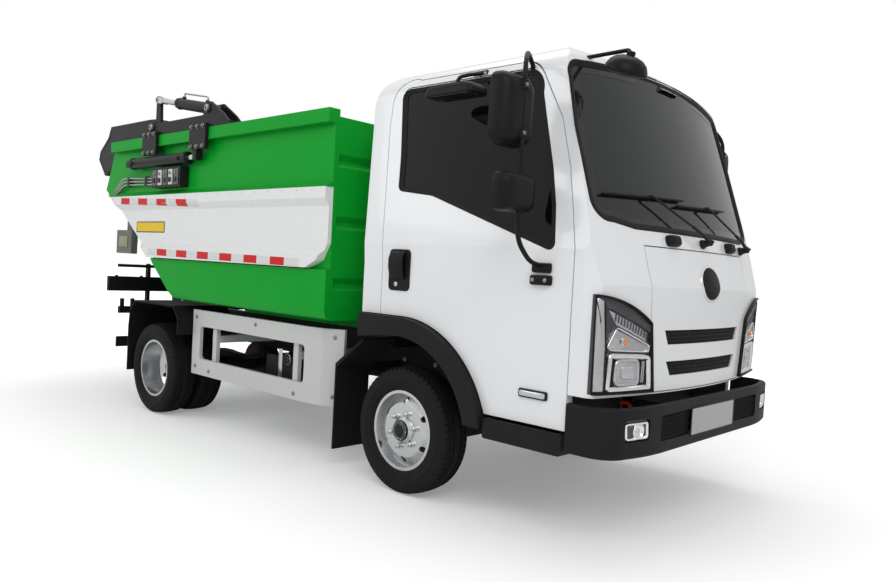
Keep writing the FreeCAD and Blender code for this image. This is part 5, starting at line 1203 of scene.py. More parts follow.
@dataclass
class Wheels:
    """Tyres, wheel nuts and hub covers of one side.

    Attributes:
        side: Side of the vehicle.
        axle_z: Height of the axles.
        front_middle: Distance of a front tyre's middle from the centre line.
        rear_middles: The same for the two tyres of a rear pair.
        bolt_circle: Radius that the nuts stand on.
        nuts: Number of nuts.
        nut_parts: Profile, points round of a nut's collar, of the nut and of its stud.
    """

    side: Side
    axle_z: float = 0.345
    front_middle: float = 0.7925
    rear_middles: tuple[float, float] = (0.8875, 0.6575)
    bolt_circle: float = 0.0925
    nuts: int = 6
    nut_parts: tuple[tuple[tuple[Flat, ...], int], ...] = (
        (((0, 0.0175), (0.004, 0.0170), (0.006, 0.0145)), 20),
        (((0.006, 0.0142), (0.023, 0.0142), (0.026, 0.0118)), 6),
        (((0.025, 0.0082), (0.034, 0.0082), (0.036, 0.0066)), 14))

    def build(self) -> None:
        """Build the tyres and hubs."""
        word = self.side.word
        for node, hub, middles in ((f"front_tyre_{word}", FRONT_HUB, (self.front_middle,)),
                                   (f"rear_tyres_{word}", REAR_HUB, self.rear_middles)):
            form = Form()
            for far in middles:
                Tyre().add(form, self.side.at(hub.x, far, self.axle_z))
            made = form.build(f"{node}_treaded", f"{hub.body}_{word}", TYRE_RUBBER)
            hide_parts(node)
            self._hub(hub)

    def _hub(self, hub: Hub) -> None:
        """Build a wheel's nuts, turned parts and cover bolts.

        Args:
            hub: Kind of wheel.
        """
        form = Form()
        centre = self.side.at(hub.x, hub.face, self.axle_z)
        out = self.side.out
        for foot in on_circle(centre, self.bolt_circle, self.nuts, 0.25):
            for profile, steps in self.nut_parts:
                form.turn(profile, foot, out, steps)
        for profile, steps, slot in hub.turned:
            form.turn(profile, centre, out, steps, slot)
        for foot in on_circle(centre + out * hub.bolt_out, hub.bolt_radius, hub.bolts):
            form.bolt(foot, out, hub.bolt_size, 1)
        form.build(f"{hub.piece}_{self.side.word}", f"{hub.body}_{self.side.word}", POLISHED_RIM,
                   HUB_BLACK, bevel=0.0006)


# Cab


@dataclass(frozen=True)
class Wiper:
    """Where one wiper lies, by places across and up on the cab's front.

    Attributes:
        side: Side whose name it has.
        foot: Its spindle.
        tip: Where its arm holds the blade.
        ends: Both ends of the blade.
    """

    side: Side
    foot: Flat
    tip: Flat
    ends: tuple[Flat, Flat]


@dataclass
class GlassTrim:
    """Rubber frames, dark band and wipers of the cab's windows.

    Attributes:
        step: Distance between points along a frame.
        screen: Section of the windscreen's rubber, as distances outward and heights.
        band: Section of the dark band printed on its edge.
        door: Section of a door window's rubber.
        rear: Section of the rear window's rubber.
        wipers: Both wipers.
    """

    step: float = 0.014
    screen: tuple[Flat, ...] = ((-0.020, -0.001), (-0.020, 0.0016), (-0.016, 0.0052),
                                (-0.004, 0.0112), (0.004, 0.0130), (0.011, 0.0122),
                                (0.0135, 0.0102), (0.0135, 0.009))
    band: tuple[Flat, ...] = ((-0.015, 0.0003), (-0.015, 0.0011), (-0.050, 0.0011),
                              (-0.050, 0.0003))
    door: tuple[Flat, ...] = ((-0.024, -0.001), (-0.024, 0.003), (-0.020, 0.0065),
                              (-0.006, 0.0105), (-0.002, 0.0162), (0.004, 0.0164),
                              (0.006, 0.0146), (0.006, 0.0134), (-0.0006, 0.0134),
                              (-0.0006, -0.001))
    rear: tuple[Flat, ...] = ((-0.018, -0.001), (-0.018, 0.003), (-0.012, 0.009), (0.002, 0.0165),
                              (0.010, 0.0165), (0.012, 0.0148), (0.012, 0.0138))
    wipers: tuple[Wiper, ...] = (
        Wiper(Side.RIGHT, (-0.027, 1.424), (-0.455, 1.612), ((-0.770, 1.594), (-0.150, 1.620))),
        Wiper(Side.LEFT, (0.560, 1.418), (0.090, 1.606), ((-0.215, 1.590), (0.380, 1.613))))

    def build(self) -> None:
        """Build the frames and the wipers."""
        front, back = Skin("cab_glass"), Skin("cab_glass", side=-1)
        self._frame("windscreen_rubber", "cab", front, (0.95, 0, 0.3), self.screen)
        self._frame("windscreen_band", "cab", front, (0.95, 0, 0.3), self.band, PRINTED_BLACK)
        for side in Side:
            pane = Skin(f"door_glass_{side.word}", view=Axis.Y, side=side.value)
            self._frame(f"door_window_rubber_{side.word}", f"door_{side.word}", pane,
                        (0, side.value, 0.05), self.door)
        self._frame("rear_window_rubber", "cab", back, (-1, 0, 0.1), self.rear)
        for wiper in self.wipers:
            self._wiper(wiper, front)

    def _frame(self, name: str, body: str, skin: Skin, view: Point, section: Sequence[Flat],
               finish: Finish = SEAL_RUBBER) -> None:
        """Build a frame round the pane that a view shows at the cab's front or back.

        Args:
            name: Name of the piece.
            body: Body that it moves with.
            skin: Skin of the pane.
            view: Direction that the pane faces.
            section: The frame's section.
            finish: Its finish.
        """
        loops = [loop for loop in rim_loops(skin.nodes[0], view)
                 if (max(point.x for point in loop) > 1.5) == (view[0] >= 0)]
        form = Form()
        bead(form, even_rim(max(loops, key=len), skin, self.step), section)
        form.build(name, body, finish)

    @staticmethod
    def _wiper(wiper: Wiper, glass: Skin) -> None:
        """Build a wiper: spindle cap, arm, hinge, blade rail and rubber.

        Args:
            wiper: Where it lies.
            glass: Skin of the cab's glass.
        """
        form = Form()
        shell = Skin("cab_shell")
        base, out = shell.lay(*wiper.foot), shell.normal(*wiper.foot)
        high = base + out * 0.045
        form.turn([(-0.004, 0.024), (0.012, 0.024), (0.018, 0.019), (0.040, 0.017),
                   (0.050, 0.019), (0.056, 0.015), (0.058, 0.007)], base, out, 24)
        form.turn([(0.056, 0.0075), (0.064, 0.0075), (0.066, 0.005)], base, out, 6, 1)
        arm_end = glass.lay(*wiper.tip, 0.040)
        knee = high.lerp(arm_end, 0.34) + out * 0.010
        form.pipe(bent([high, high.lerp(knee, 0.5) + out * 0.004, knee], 0.03), 0.0105, 10, 0, 0.6)
        form.pipe(bent([knee, knee.lerp(arm_end, 0.6), arm_end], 0.05), 0.0055, 8)
        first, last = (glass.lay(*end, 0.028) for end in wiper.ends)
        line = [first.lerp(last, share / 12) for share in range(13)]
        rail, rubber = ([glass.lay(point.y, point.z, lift) for point in line]
                        for lift in (0.020, 0.009))
        form.pipe(rail, 0.0052, 8)
        form.pipe(rubber, 0.0075, 6, 0, 0.35)
        form.pipe([arm_end, rail[6]], 0.0085, 8)
        form.build(f"wiper_{wiper.side.word}", "cab", WIPER_BLACK)


@dataclass
class Headlamp:
    """What lies inside one headlamp, and the clear lens over it.

    Outlines are given as distance from the centre line and height.

    Attributes:
        side: Side of the vehicle.
        depth: How deep the lamp's floor lies under the cab's skin.
        strip: The silver strip along the outer edge.
        seam: The dark line beside it.
        brow: The grey band under the upper edge.
        field: The silver field under that.
        cell: Corners and roundings of the chrome frame round the amber cell.
        ring: The same of the chrome ring round the main lamp.
        recess: The same of the black recess in it.
        bowl: The same of the reflector in the recess.
        cell_floor: Floor of the amber cell.
        bulb: Where the amber bulb stands.
    """

    side: Side
    depth: float = 0.022
    strip: tuple[Flat, ...] = ((0.886, 1.146), (0.868, 1.132), (0.839, 0.905), (0.835, 0.732),
                               (0.884, 0.732))
    seam: tuple[Flat, ...] = ((0.872, 1.134), (0.843, 0.905), (0.839, 0.732), (0.831, 0.732),
                              (0.835, 0.907), (0.862, 1.128))
    brow: tuple[Flat, ...] = ((0.862, 1.134), (0.700, 1.078), (0.551, 1.024), (0.548, 0.992),
                              (0.700, 1.052), (0.858, 1.106))
    field: tuple[Flat, ...] = ((0.832, 1.094), (0.780, 1.028), (0.550, 0.942), (0.551, 0.985),
                               (0.700, 1.046))
    cell: tuple[Point, ...] = ((0.838, 0.930, 0.012), (0.780, 1.022, 0.02), (0.549, 0.936, 0.01),
                               (0.556, 0.900, 0.01), (0.810, 0.912, 0.01))
    ring: tuple[Point, ...] = ((0.522, 0.728, 0.02), (0.826, 0.728, 0.03), (0.820, 0.905, 0.03),
                               (0.542, 0.893, 0.03))
    recess: tuple[Point, ...] = ((0.541, 0.744, 0.03), (0.803, 0.746, 0.03), (0.799, 0.886, 0.03),
                                 (0.560, 0.880, 0.03))
    bowl: tuple[Point, ...] = ((0.600, 0.752, 0.03), (0.772, 0.754, 0.04), (0.768, 0.878, 0.04),
                               (0.610, 0.874, 0.03))
    cell_floor: tuple[Flat, ...] = ((0.826, 0.930), (0.778, 1.008), (0.556, 0.928),
                                    (0.560, 0.908), (0.800, 0.918))
    bulb: Flat = (0.721, 0.951)

    def build(self) -> None:
        """Build the lamp from its floor to its lens."""
        self.skin = Skin("headlamps")
        self._housing()
        self._chrome()
        self._lights()
        self._lens()

    def _on(self, first: float, up: float, lift: float) -> Vector:
        """Return the point over the lamp's floor at a distance from the centre line."""
        return self.skin.lay(first * self.side.value, up, lift)

    def _cover(self, form: Form, outline: Sequence[Flat], height: float, slot: int,
               crown: float = 0.0, step: float = 0.02) -> None:
        """Lay a pad on the lamp's floor, with the arguments of Form.cover."""
        form.cover(self.skin, self.side.mirrored(outline), height, slot, crown, step)

    def _rim(self, step: float) -> list[RimPoint]:
        """Return the edge of the lamp's floor as points a step apart.

        Args:
            step: Distance between points.

        Returns:
            The points.
        """
        loops = [loop for loop in rim_loops("headlamps", (1, 0, 0))
                 if loop[0].y * self.side.value > 0]
        return even_rim(max(loops, key=len), self.skin, step)

    def _housing(self) -> None:
        """Build the dark border, the silver outer strip and the ridged reflector above."""
        form, deep = Form(), self.depth
        bead(form, self._rim(0.010), [
            (0.0006, -0.002), (0.0006, deep - 0.004), (-0.001, deep - 0.002),
            (-0.006, deep - 0.003), (-0.0075, deep - 0.010), (-0.009, -0.002)])
        self._cover(form, self.strip, 0.012, 1)
        self._cover(form, self.seam, 0.0145, 0)
        self._cover(form, self.brow, 0.010, 2)
        for share in ((index + 0.5) / 16 for index in range(16)):
            spot = self._on(0.566 + share * 0.280, 1.012 + share * 0.108 - 0.012, 0.009)
            form.turn([(-0.003, 0.0065), (0.004, 0.0026)], spot, self.skin.out, 4, 2)
        self._cover(form, self.field, 0.004, 1)
        for share in ((index + 0.5) / 12 for index in range(12)):
            form.pipe([self._on(0.566 + share * 0.232, 0.958 + share * 0.088, 0.0055),
                       self._on(0.560 + share * 0.236, 0.990 + share * 0.090, 0.0055)],
                      0.0032, 6, 2)
        form.build(f"headlamp_housing_{self.side.word}", "cab", MIRROR_PLASTIC, LAMP_SILVER,
                   LAMP_GREY)

    def _chrome(self) -> None:
        """Build the chrome frames: round the amber cell and round the main lamp."""
        form = Form()
        form.bar(self.skin, self.side.mirrored(rounded_outline(self.cell)), 0.009, 0.015)
        form.bar(self.skin, self.side.mirrored(rounded_outline(self.ring, 6)), 0.026, 0.019)
        form.build(f"headlamp_chrome_{self.side.word}", "cab", CHROME)

    def _lights(self) -> None:
        """Build the black recess with its reflector, and the amber bulb."""
        form = Form()
        bowl = rounded_outline(self.bowl, 6)
        self._cover(form, rounded_outline(self.recess), 0.002, 0)
        form.bar(self.skin, self.side.mirrored(bowl), 0.016, 0.010, 1)
        self._cover(form, bowl, 0.004, 1)
        self._cover(form, scaled(bowl, 0.5, (0.686, 0.814)), 0.009, 1, 0.006, 0)
        for first in (0.578, 0.590):
            form.pipe([self._on(first, 0.765, 0.005), self._on(first, 0.862, 0.005)], 0.0035, 6, 1)
        self._cover(form, self.cell_floor, 0.003, 1)
        spot = self._on(*self.bulb, 0.0)
        form.turn([(0.0, 0.024), (0.006, 0.024), (0.008, 0.020)], spot, self.skin.out, 24, 1)
        form.turn([(0.004, 0.0165), (0.010, 0.0165), (0.0145, 0.0120), (0.0165, 0.004)], spot,
                  self.skin.out, 24, 2)
        form.build(f"headlamp_lights_{self.side.word}", "cab", MIRROR_PLASTIC, LAMP_SILVER, AMBER)

    def _lens(self) -> None:
        """Build the clear cover."""
        form, deep = Form(), self.depth
        outline = [(p.place.y - p.outward.y * -0.0005, p.place.z) for p in self._rim(0.016)]
        middle = middle_of(outline)
        form.stack(((0.985, deep - 0.006), (0.975, deep - 0.0015), (0.955, deep), (0.70, deep),
                    (0.35, deep)), lambda share: scaled(outline, share, middle), self.skin.lay)
        form.build(f"headlamp_lens_{self.side.word}", "cab", CLEAR_LENS)


@dataclass
class FrontDress:
    """Small pieces on the cab's nose, its lid and the bumper.

    Attributes:
        disc: Middle of the plain oval disc, across and up.
        disc_size: Its width and height.
        disc_ring: Width of its bright ring.
        hinge_middles: Middle of each hinge cover, across.
        hinge_z: Height of the hinge covers.
        bumper_mesh: Inner and outer end of a mesh field in the bumper, and its levels.
        lid_levels: Lower and upper level of the mesh in each of the lid's slots.
        plate_low: Lower right corner of the blank plate.
        plate_high: Its upper left corner.
        fog_ring: Corners and roundings of a fog lamp's surround.
        fog_lamp: Middle of its reflector.
        tow_eye: Where the towing eye stands.
    """

    disc: Flat = (-0.005, 1.227)
    disc_size: Flat = (0.216, 0.184)
    disc_ring: float = 0.011
    hinge_middles: tuple[float, float] = (-0.330, 0.333)
    hinge_z: float = 1.421
    bumper_mesh: tuple[Flat, Flat] = ((0.268, 0.552), (0.513, 0.623))
    lid_levels: tuple[Flat, Flat] = ((0.936, 0.996), (0.789, 0.849))
    plate_low: Flat = (-0.262, 0.492)
    plate_high: Flat = (0.242, 0.634)
    fog_ring: tuple[Point, ...] = ((0.650, 0.532, 0.02), (0.800, 0.530, 0.02),
                                   (0.808, 0.610, 0.02), (0.656, 0.612, 0.02))
    fog_lamp: Flat = (0.722, 0.571)
    tow_eye: Point = (2.380, -0.395, 0.565)

    def build(self) -> None:
        """Build every piece of the front."""
        self._disc()
        self._hinge_covers()
        self._mesh_fields()
        self._plate()
        for side in Side:
            self._fog_lamp(side)
        self._tow_hook()

    def _disc(self) -> None:
        """Build the plain oval disc with its bright ring."""
        lid, form = Skin("front_lid"), Form()
        for grow, height, crown, slot in ((0.0, 0.006, 0.0, 0),
                                          (-self.disc_ring, 0.0085, 0.004, 1)):
            oval = [(self.disc[0] + math.cos(turn) * (self.disc_size[0] / 2 + grow),
                     self.disc[1] + math.sin(turn) * (self.disc_size[1] / 2 + grow))
                    for turn in (math.tau * step / 48 for step in range(48))]
            form.cover(lid, oval, height, slot, crown, 0)
        form.build("front_disc", "front_lid", CHROME, GLOSS_BLACK)

    def _hinge_covers(self) -> None:
        """Build the two rounded black covers over the lid's hinges."""
        shell = Skin("cab_shell", "cab_glass")
        for middle, side in zip(self.hinge_middles, Side):
            form = Form()
            form.stack(((1.0, -0.004), (1.0, 0.012), (0.93, 0.024), (0.74, 0.032), (0.45, 0.036),
                        (0.12, 0.037)),
                       lambda share: box_round((middle, self.hinge_z),
                                               (0.052 * share, 0.026 * share), 0.022 * share),
                       shell.lay)
            form.build(f"hinge_cover_{side.word}", "cab", GRAINED_PLASTIC)

    def _mesh(self, form: Form, skin: Skin, low: Flat, high: Flat, pitch: float, wire: float,
              lift: float) -> None:
        """Fill a rectangle with hexagon mesh laid on a skin.

        Args:
            form: Form that gets the faces.
            skin: Skin that it lies on.
            low: Its lower corner, across and up.
            high: Its upper corner.
            pitch: Width of a mesh.
            wire: Radius of a wire.
            lift: Height of the wires over the skin.
        """
        rows = max(2, round((high[1] - low[1]) / (pitch * 0.866)))
        columns = max(2, round((high[0] - low[0]) / pitch))
        half, rise = (high[0] - low[0]) / columns / 2, (high[1] - low[1]) / rows
        for row in range(rows):
            self._wire(form, skin, [
                (low[0] + half * column,
                 low[1] + rise * (row + (0.72 if (column + row) % 2 else 0.28)))
                for column in range(2 * columns + 1)], wire, lift)
            for column in range(2 * columns + 1):
                if (column + row) % 2 and row + 1 < rows:
                    self._wire(form, skin, [(low[0] + half * column, low[1] + rise * (row + share))
                                            for share in (0.72, 1.28)], wire, lift)

    @staticmethod
    def _wire(form: Form, skin: Skin, path: Sequence[Flat], wire: float, lift: float) -> None:
        """Lay one wire of a mesh along a path, only where there is skin behind it.

        Args:
            form: Form that gets the faces.
            skin: Skin that it lies on.
            path: Places across and up.
            wire: Radius of the wire.
            lift: Its height over the skin.
        """
        run: list[Vector] = []
        for place in [*path, (FAR, FAR)]:
            spot = skin.hit(*place)
            if spot is not None:
                run.append(spot + skin.out * lift)
                continue
            if len(run) > 1:
                form.pipe(run, wire, 4)
            run = []

    def _mesh_fields(self) -> None:
        """Build the mesh in the bumper's two recesses and in the lid's slots."""
        (near, far), (bottom, top) = self.bumper_mesh
        for side in Side:
            form = Form()
            first, last = sorted((near * side.value, far * side.value))
            self._mesh(form, Skin("front_bumper"), (first, bottom), (last, top), 0.026, 0.0026,
                       0.006)
            form.build(f"bumper_mesh_{side.word}", "chassis", MIRROR_PLASTIC)
        low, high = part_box("grille_mesh")
        form = Form()
        for bottom, top in self.lid_levels:
            self._mesh(form, Skin("grille_mesh"), (low[1] + 0.010, bottom), (high[1] - 0.010, top),
                       0.022, 0.0020, 0.003)
        form.build("lid_mesh", "front_lid", GRILLE_GREY)

    def _plate(self) -> None:
        """Build the blank plate and its frame."""
        skin, form = Skin("front_bumper"), Form()
        low, high = self.plate_low, self.plate_high
        top = max(skin.lay(y, z).x for y in (low[0], 0.0, high[0]) for z in (0.52, 0.57, 0.62))
        inner = box_outline((low[0] + 0.007, low[1] + 0.007), (high[0] - 0.007, high[1] - 0.007),
                            0.008)
        form.slab(box_outline(low, high, 0.012), Axis.X, (top - 0.012, top + 0.003))
        form.slab(inner, Axis.X, (top + 0.001, top + 0.0046), 1)
        form.build("plate_blank", "chassis", MIRROR_PLASTIC, PLATE_WHITE, bevel=0.0012)

    def _fog_lamp(self, side: Side) -> None:
        """Build one side's fog lamp: its bright surround, reflector and bulb.

        Args:
            side: Side of the vehicle.
        """
        lamp, form = Skin("fog_lamps"), Form()
        form.bar(lamp, side.mirrored(rounded_outline(self.fog_ring)), 0.014, 0.012)
        spot = (self.fog_lamp[0] * side.value, self.fog_lamp[1])
        middle, ahead = lamp.lay(*spot), lamp.normal(*spot)
        form.turn([(0.000, 0.036), (0.010, 0.036), (0.012, 0.033), (0.004, 0.026), (0.002, 0.012)],
                  middle, ahead, 28)
        form.turn([(0.001, 0.012), (0.007, 0.011), (0.009, 0.006)], middle, ahead, 20, 1)
        form.build(f"fog_lamp_inside_{side.word}", "chassis", CHROME, LAMP_SILVER)

    def _tow_hook(self) -> None:
        """Build the red towing eye under the cab's nose, ahead of the front wheel."""
        form, base = Form(), Vector(self.tow_eye)
        path = [(0, 0, 0), (0.05, 0, 0.0), (0.075, 0, 0.030), (0.05, 0, 0.062), (0.0, 0, 0.062)]
        form.pipe(bent([base + Vector(p) for p in path], 0.03), 0.009, 10)
        form.block(base + Vector((-0.030, -0.010, -0.016)), base + Vector((0.004, 0.026, 0.078)))
        form.build("tow_hook", "chassis", TOW_RED, bevel=0.002)


@dataclass
class DoorDress:
    """Handle and marker lamp of one door.

    Attributes:
        side: Side of the vehicle.
        handle_low: Lower rear corner of the handle's plate, along and up.
        handle_high: Its upper front corner.
        lamp_low: Lower rear corner of the marker lamp.
        lamp_high: Its upper front corner.
    """

    side: Side
    handle_low: Flat = (1.222, 1.100)
    handle_high: Flat = (1.382, 1.322)
    lamp_low: Flat = (2.140, 0.660)
    lamp_high: Flat = (2.300, 0.700)

    def build(self) -> None:
        """Build the door's pieces."""
        self._handle()
        self._marker()

    def _handle(self) -> None:
        """Build the handle: its plate, the grip over a hollow and the keyhole."""
        skin = Skin(f"door_{self.side.word}", view=Axis.Y, side=self.side.value)
        low, high = self.handle_low, self.handle_high
        middle = (low[0] + high[0]) / 2
        form = Form()
        form.cover(skin, box_outline(low, high, 0.030, 6), 0.007, 0, step=0.03)
        hollow = box_outline((low[0] + 0.022, low[1] + 0.080), (high[0] - 0.022, high[1] - 0.026),
                             0.030, 6)
        form.cover(skin, hollow, 0.0082, 2, step=0.03)
        rings = []
        for up, lift, half in (
                (low[1] + 0.062, 0.010, 0.050), (low[1] + 0.080, 0.026, 0.054),
                (low[1] + 0.125, 0.037, 0.055), (high[1] - 0.050, 0.037, 0.055),
                (high[1] - 0.022, 0.028, 0.053), (high[1] - 0.010, 0.010, 0.046)):
            spot = skin.lay(middle, up, lift)
            rings.append([spot + self.side.at(half * math.cos(turn), 0.008 * math.sin(turn), 0)
                          for turn in (math.tau * step / 16 for step in range(16))])
        form.loft(rings)
        key = skin.lay(middle - 0.020, low[1] + 0.034, 0.006)
        form.turn([(0.0, 0.0125), (0.003, 0.0125), (0.0045, 0.010)], key, skin.out, 24, 1)
        form.turn([(0.0045, 0.0025), (0.006, 0.0020)], key, skin.out, 8, 2)
        form.build(f"door_handle_{self.side.word}", f"door_{self.side.word}", GRAINED_PLASTIC,
                   BRIGHT_STEEL, GLOSS_BLACK)

    def _marker(self) -> None:
        """Build the side marker lamp."""
        skin = Skin(f"door_{self.side.word}", "flares_and_steps", view=Axis.Y,
                    side=self.side.value)
        low, high = self.lamp_low, self.lamp_high
        form = Form()
        form.cover(skin, box_outline(low, high, 0.010), 0.010)
        inner = box_outline((low[0] + 0.008, low[1] + 0.007), (high[0] - 0.008, high[1] - 0.007),
                            0.008)
        form.cover(skin, inner, 0.015, 1, 0.003)
        for first in (low[0] + 0.020 + 0.015 * index for index in range(9)):
            form.pipe([skin.lay(first, up, 0.0165) for up in (low[1] + 0.010, high[1] - 0.010)],
                      0.0018, 6, 1)
        form.build(f"side_marker_{self.side.word}", f"door_{self.side.word}", MIRROR_PLASTIC,
                   LAMP_SILVER)


@dataclass(frozen=True)
class MirrorHead:
    """One mirror head: its middle, its depth, width and height, and its clamps' heights."""

    middle: Point
    size: Point
    clamps: Flat


@dataclass
class DoorMirrors:
    """Mirror heads with their glass, tube and clamps; they stand for the plain CAD mirrors.

    Places are given along, from the centre line and up.

    Attributes:
        side: Side of the vehicle.
        heads: The main and the lower head.
        tube: Corners of the stalk's middle line.
        foot: Middle of its foot on the door.
        kerb: Middle of the mirror that looks down beside the right door.
    """

    side: Side
    heads: tuple[MirrorHead, ...] = (
        MirrorHead((2.150, 1.075, 1.950), (0.098, 0.228, 0.322), (2.055, 1.845)),
        MirrorHead((2.188, 1.075, 1.585), (0.088, 0.236, 0.174), (1.630, 1.540)))
    tube: tuple[Point, ...] = ((2.232, 0.925, 1.270), (2.229, 1.000, 1.285), (2.200, 1.060, 1.375),
                               (2.192, 1.060, 2.140), (2.150, 1.000, 2.215), (2.070, 0.880, 2.252),
                               (2.040, 0.790, 2.196))
    foot: Point = (2.235, 0.900, 1.230)
    kerb: Point = (1.714, 0.985, 2.105)

    def build(self) -> None:
        """Build the side's mirrors."""
        form = Form()
        for head in self.heads:
            self._head(form, head)
        self._stalk(form)
        if self.side is Side.RIGHT:
            self._kerb_mirror(form)
        word = self.side.word
        made = form.build(f"mirror_set_{word}", f"door_{word}", MIRROR_PLASTIC, MIRROR_GLASS,
                          BOLT_STEEL)
        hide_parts(f"mirrors_{word}")

    def _head(self, form: Form, head: MirrorHead) -> None:
        """Add a rounded housing that tapers to the front, with the glass on its back.

        Args:
            form: Form that gets the faces.
            head: The head's place and size.
        """
        centre = self.side.at(*head.middle)
        deep, half = head.size[0], (head.size[1] / 2, head.size[2] / 2)
        corner = min(head.size[1:]) * 0.24
        rim = box_round((0, 0), (half[0] - 0.009, half[1] - 0.009), corner, 6)

        def at(first: float, up: float, along: float) -> Vector:
            """Return the place at a share of the head's depth."""
            return centre + Vector((deep * along, first, up))

        rings = [[at(*spot, along) for spot in box_round(
            (0, 0), (half[0] * share, half[1] * share), corner * share + 0.006, 6)]
            for along, share in (
                (0.52, 0.16), (0.515, 0.34), (0.50, 0.52), (0.48, 0.66), (0.40, 0.80),
                (0.20, 0.92), (-0.10, 0.985), (-0.40, 1.0), (-0.47, 0.995), (-0.5, 0.975))]
        rings += [[at(*spot, along) for spot in scaled(rim, share)]
                  for along, share in ((-0.5, 1.0), (-0.44, 0.99))]
        form.loft(rings)
        form.stack(((1.0, -0.45), (0.985, -0.475), (0.5, -0.485), (0.2, -0.487)),
                   lambda share: scaled(rim, 0.985 * share), at, 1)

    def _stalk(self, form: Form) -> None:
        """Add the bent tube, its foot and top bracket, and the clamps that hold the heads.

        Args:
            form: Form that gets the faces.
        """
        sign, out = self.side.value, self.side.out
        form.pipe(bent([self.side.at(*point) for point in self.tube], 0.055, 8), 0.011, 14)
        foot = self.side.at(*self.foot)
        form.block(foot + Vector((-0.062, min(0, -0.012 * sign), -0.058)),
                   foot + Vector((0.062, max(0.014 * sign, 0), 0.066)))
        for middle, half, far in ((0.030, 0.052, 0.026), (-0.026, 0.058, 0.030)):
            outline = box_outline((-half, -0.023), (half, 0.023), 0.012, 4)
            form.stack(((1.0, 0.0), (1.0, far * 0.6), (0.86, far), (0.5, far * 1.08)),
                       lambda share: scaled(outline, share),
                       lambda first, up, level: foot + Vector((first, sign * level, middle + up)))
        for along in (-0.034, 0.034):
            form.bolt(foot + Vector((along, sign * 0.031, -0.026)), out, 0.014, 2)
        form.turn([(-0.022, 0.019), (0.020, 0.019), (0.026, 0.014)], self.side.at(*self.tube[-1]),
                  (0, sign * 0.4, 0.9), 20)
        for head in self.heads:
            for up in head.clamps:
                spot = self.side.at(2.193, 1.060, up)
                form.turn([(-0.019, 0.0185), (0.019, 0.0185)], spot, (0, 0, 1), 20)
                back = self.side.at(head.middle[0] + head.size[0] * 0.1, 1.066, up)
                form.pipe([spot, back], 0.013, 8)
                form.bolt(spot + Vector((0.017, sign * 0.006, 0)), (1, 0, 0), 0.013, 2)

    def _kerb_mirror(self, form: Form) -> None:
        """Add the flat mirror that looks down beside the door, with its bracket.

        Args:
            form: Form that gets the faces.
        """
        centre, sign = self.side.at(*self.kerb), self.side.value

        def at(first: float, second: float, up: float) -> Vector:
            """Return the place at distances from the mirror's middle."""
            return centre + Vector((first, second, up))

        form.stack(((0.94, -0.034), (1.0, -0.028), (1.0, -0.012), (0.94, 0.006), (0.80, 0.019),
                    (0.55, 0.0245), (0.2, 0.0255)),
                   lambda share: box_round((0, 0), (0.157 * share, 0.069 * share),
                                           0.034 * share, 6), at)
        pane = box_round((0, 0), (0.144, 0.058), 0.028, 6)
        form.stack(((1.0, -0.032), (0.97, -0.0345), (0.4, -0.035)),
                   lambda share: scaled(pane, share), at, 1)
        form.pipe(bent([at(0, 0, 0.022), at(0, -sign * 0.02, 0.068),
                        self.side.at(1.714, 0.880, 2.205), self.side.at(1.714, 0.792, 2.226)],
                       0.035), 0.0095)
        form.turn([(-0.010, 0.030), (0.006, 0.028), (0.012, 0.018)], at(0, 0, 0.024), (0, 0, 1), 24)
        foot = self.side.at(1.714, 0.796, 2.224)
        form.block(foot + Vector((-0.045, -0.010, -0.014)), foot + Vector((0.045, 0.010, 0.014)))
        for along in (-0.030, 0.030):
            form.bolt(foot + Vector((along, sign * 0.010, 0)), self.side.out, 0.013, 2)


@dataclass
class FrontMirror:
    """Round bowl mirror ahead of the windscreen's right top corner, on its bar.

    Attributes:
        middle: Middle of the bowl's rim.
        axis: Way that its glass looks.
        roof: Where the bar ends on the roof.
    """

    middle: Point = (2.480, -0.700, 2.165)
    axis: Point = (-0.35, 0.10, -0.93)
    roof: Point = (2.125, -0.640, 2.268)

    def build(self) -> None:
        """Build the bowl, its glass and its bar."""
        form = Form()
        centre, axis = Vector(self.middle), Vector(self.axis).normalized()
        form.turn([(-0.062, 0.010), (-0.060, 0.034), (-0.050, 0.062), (-0.032, 0.084),
                   (-0.008, 0.096), (0.006, 0.099), (0.012, 0.098), (0.014, 0.094)],
                  centre, axis, 44)
        form.turn([(0.010, 0.094), (0.018, 0.084), (0.026, 0.056), (0.030, 0.024), (0.031, 0.003)],
                  centre, axis, 44, 1)
        top = centre - axis * 0.060
        form.pipe(bent([top, top + Vector((-0.010, 0.006, 0.030)), (2.330, -0.665, 2.262),
                        self.roof], 0.04), 0.0095)
        form.turn([(-0.010, 0.020), (0.016, 0.020), (0.022, 0.014)], top, -axis, 20)
        made = form.build("front_mirror_bowl", "cab", MIRROR_PLASTIC, MIRROR_GLASS)
        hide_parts("front_mirror")


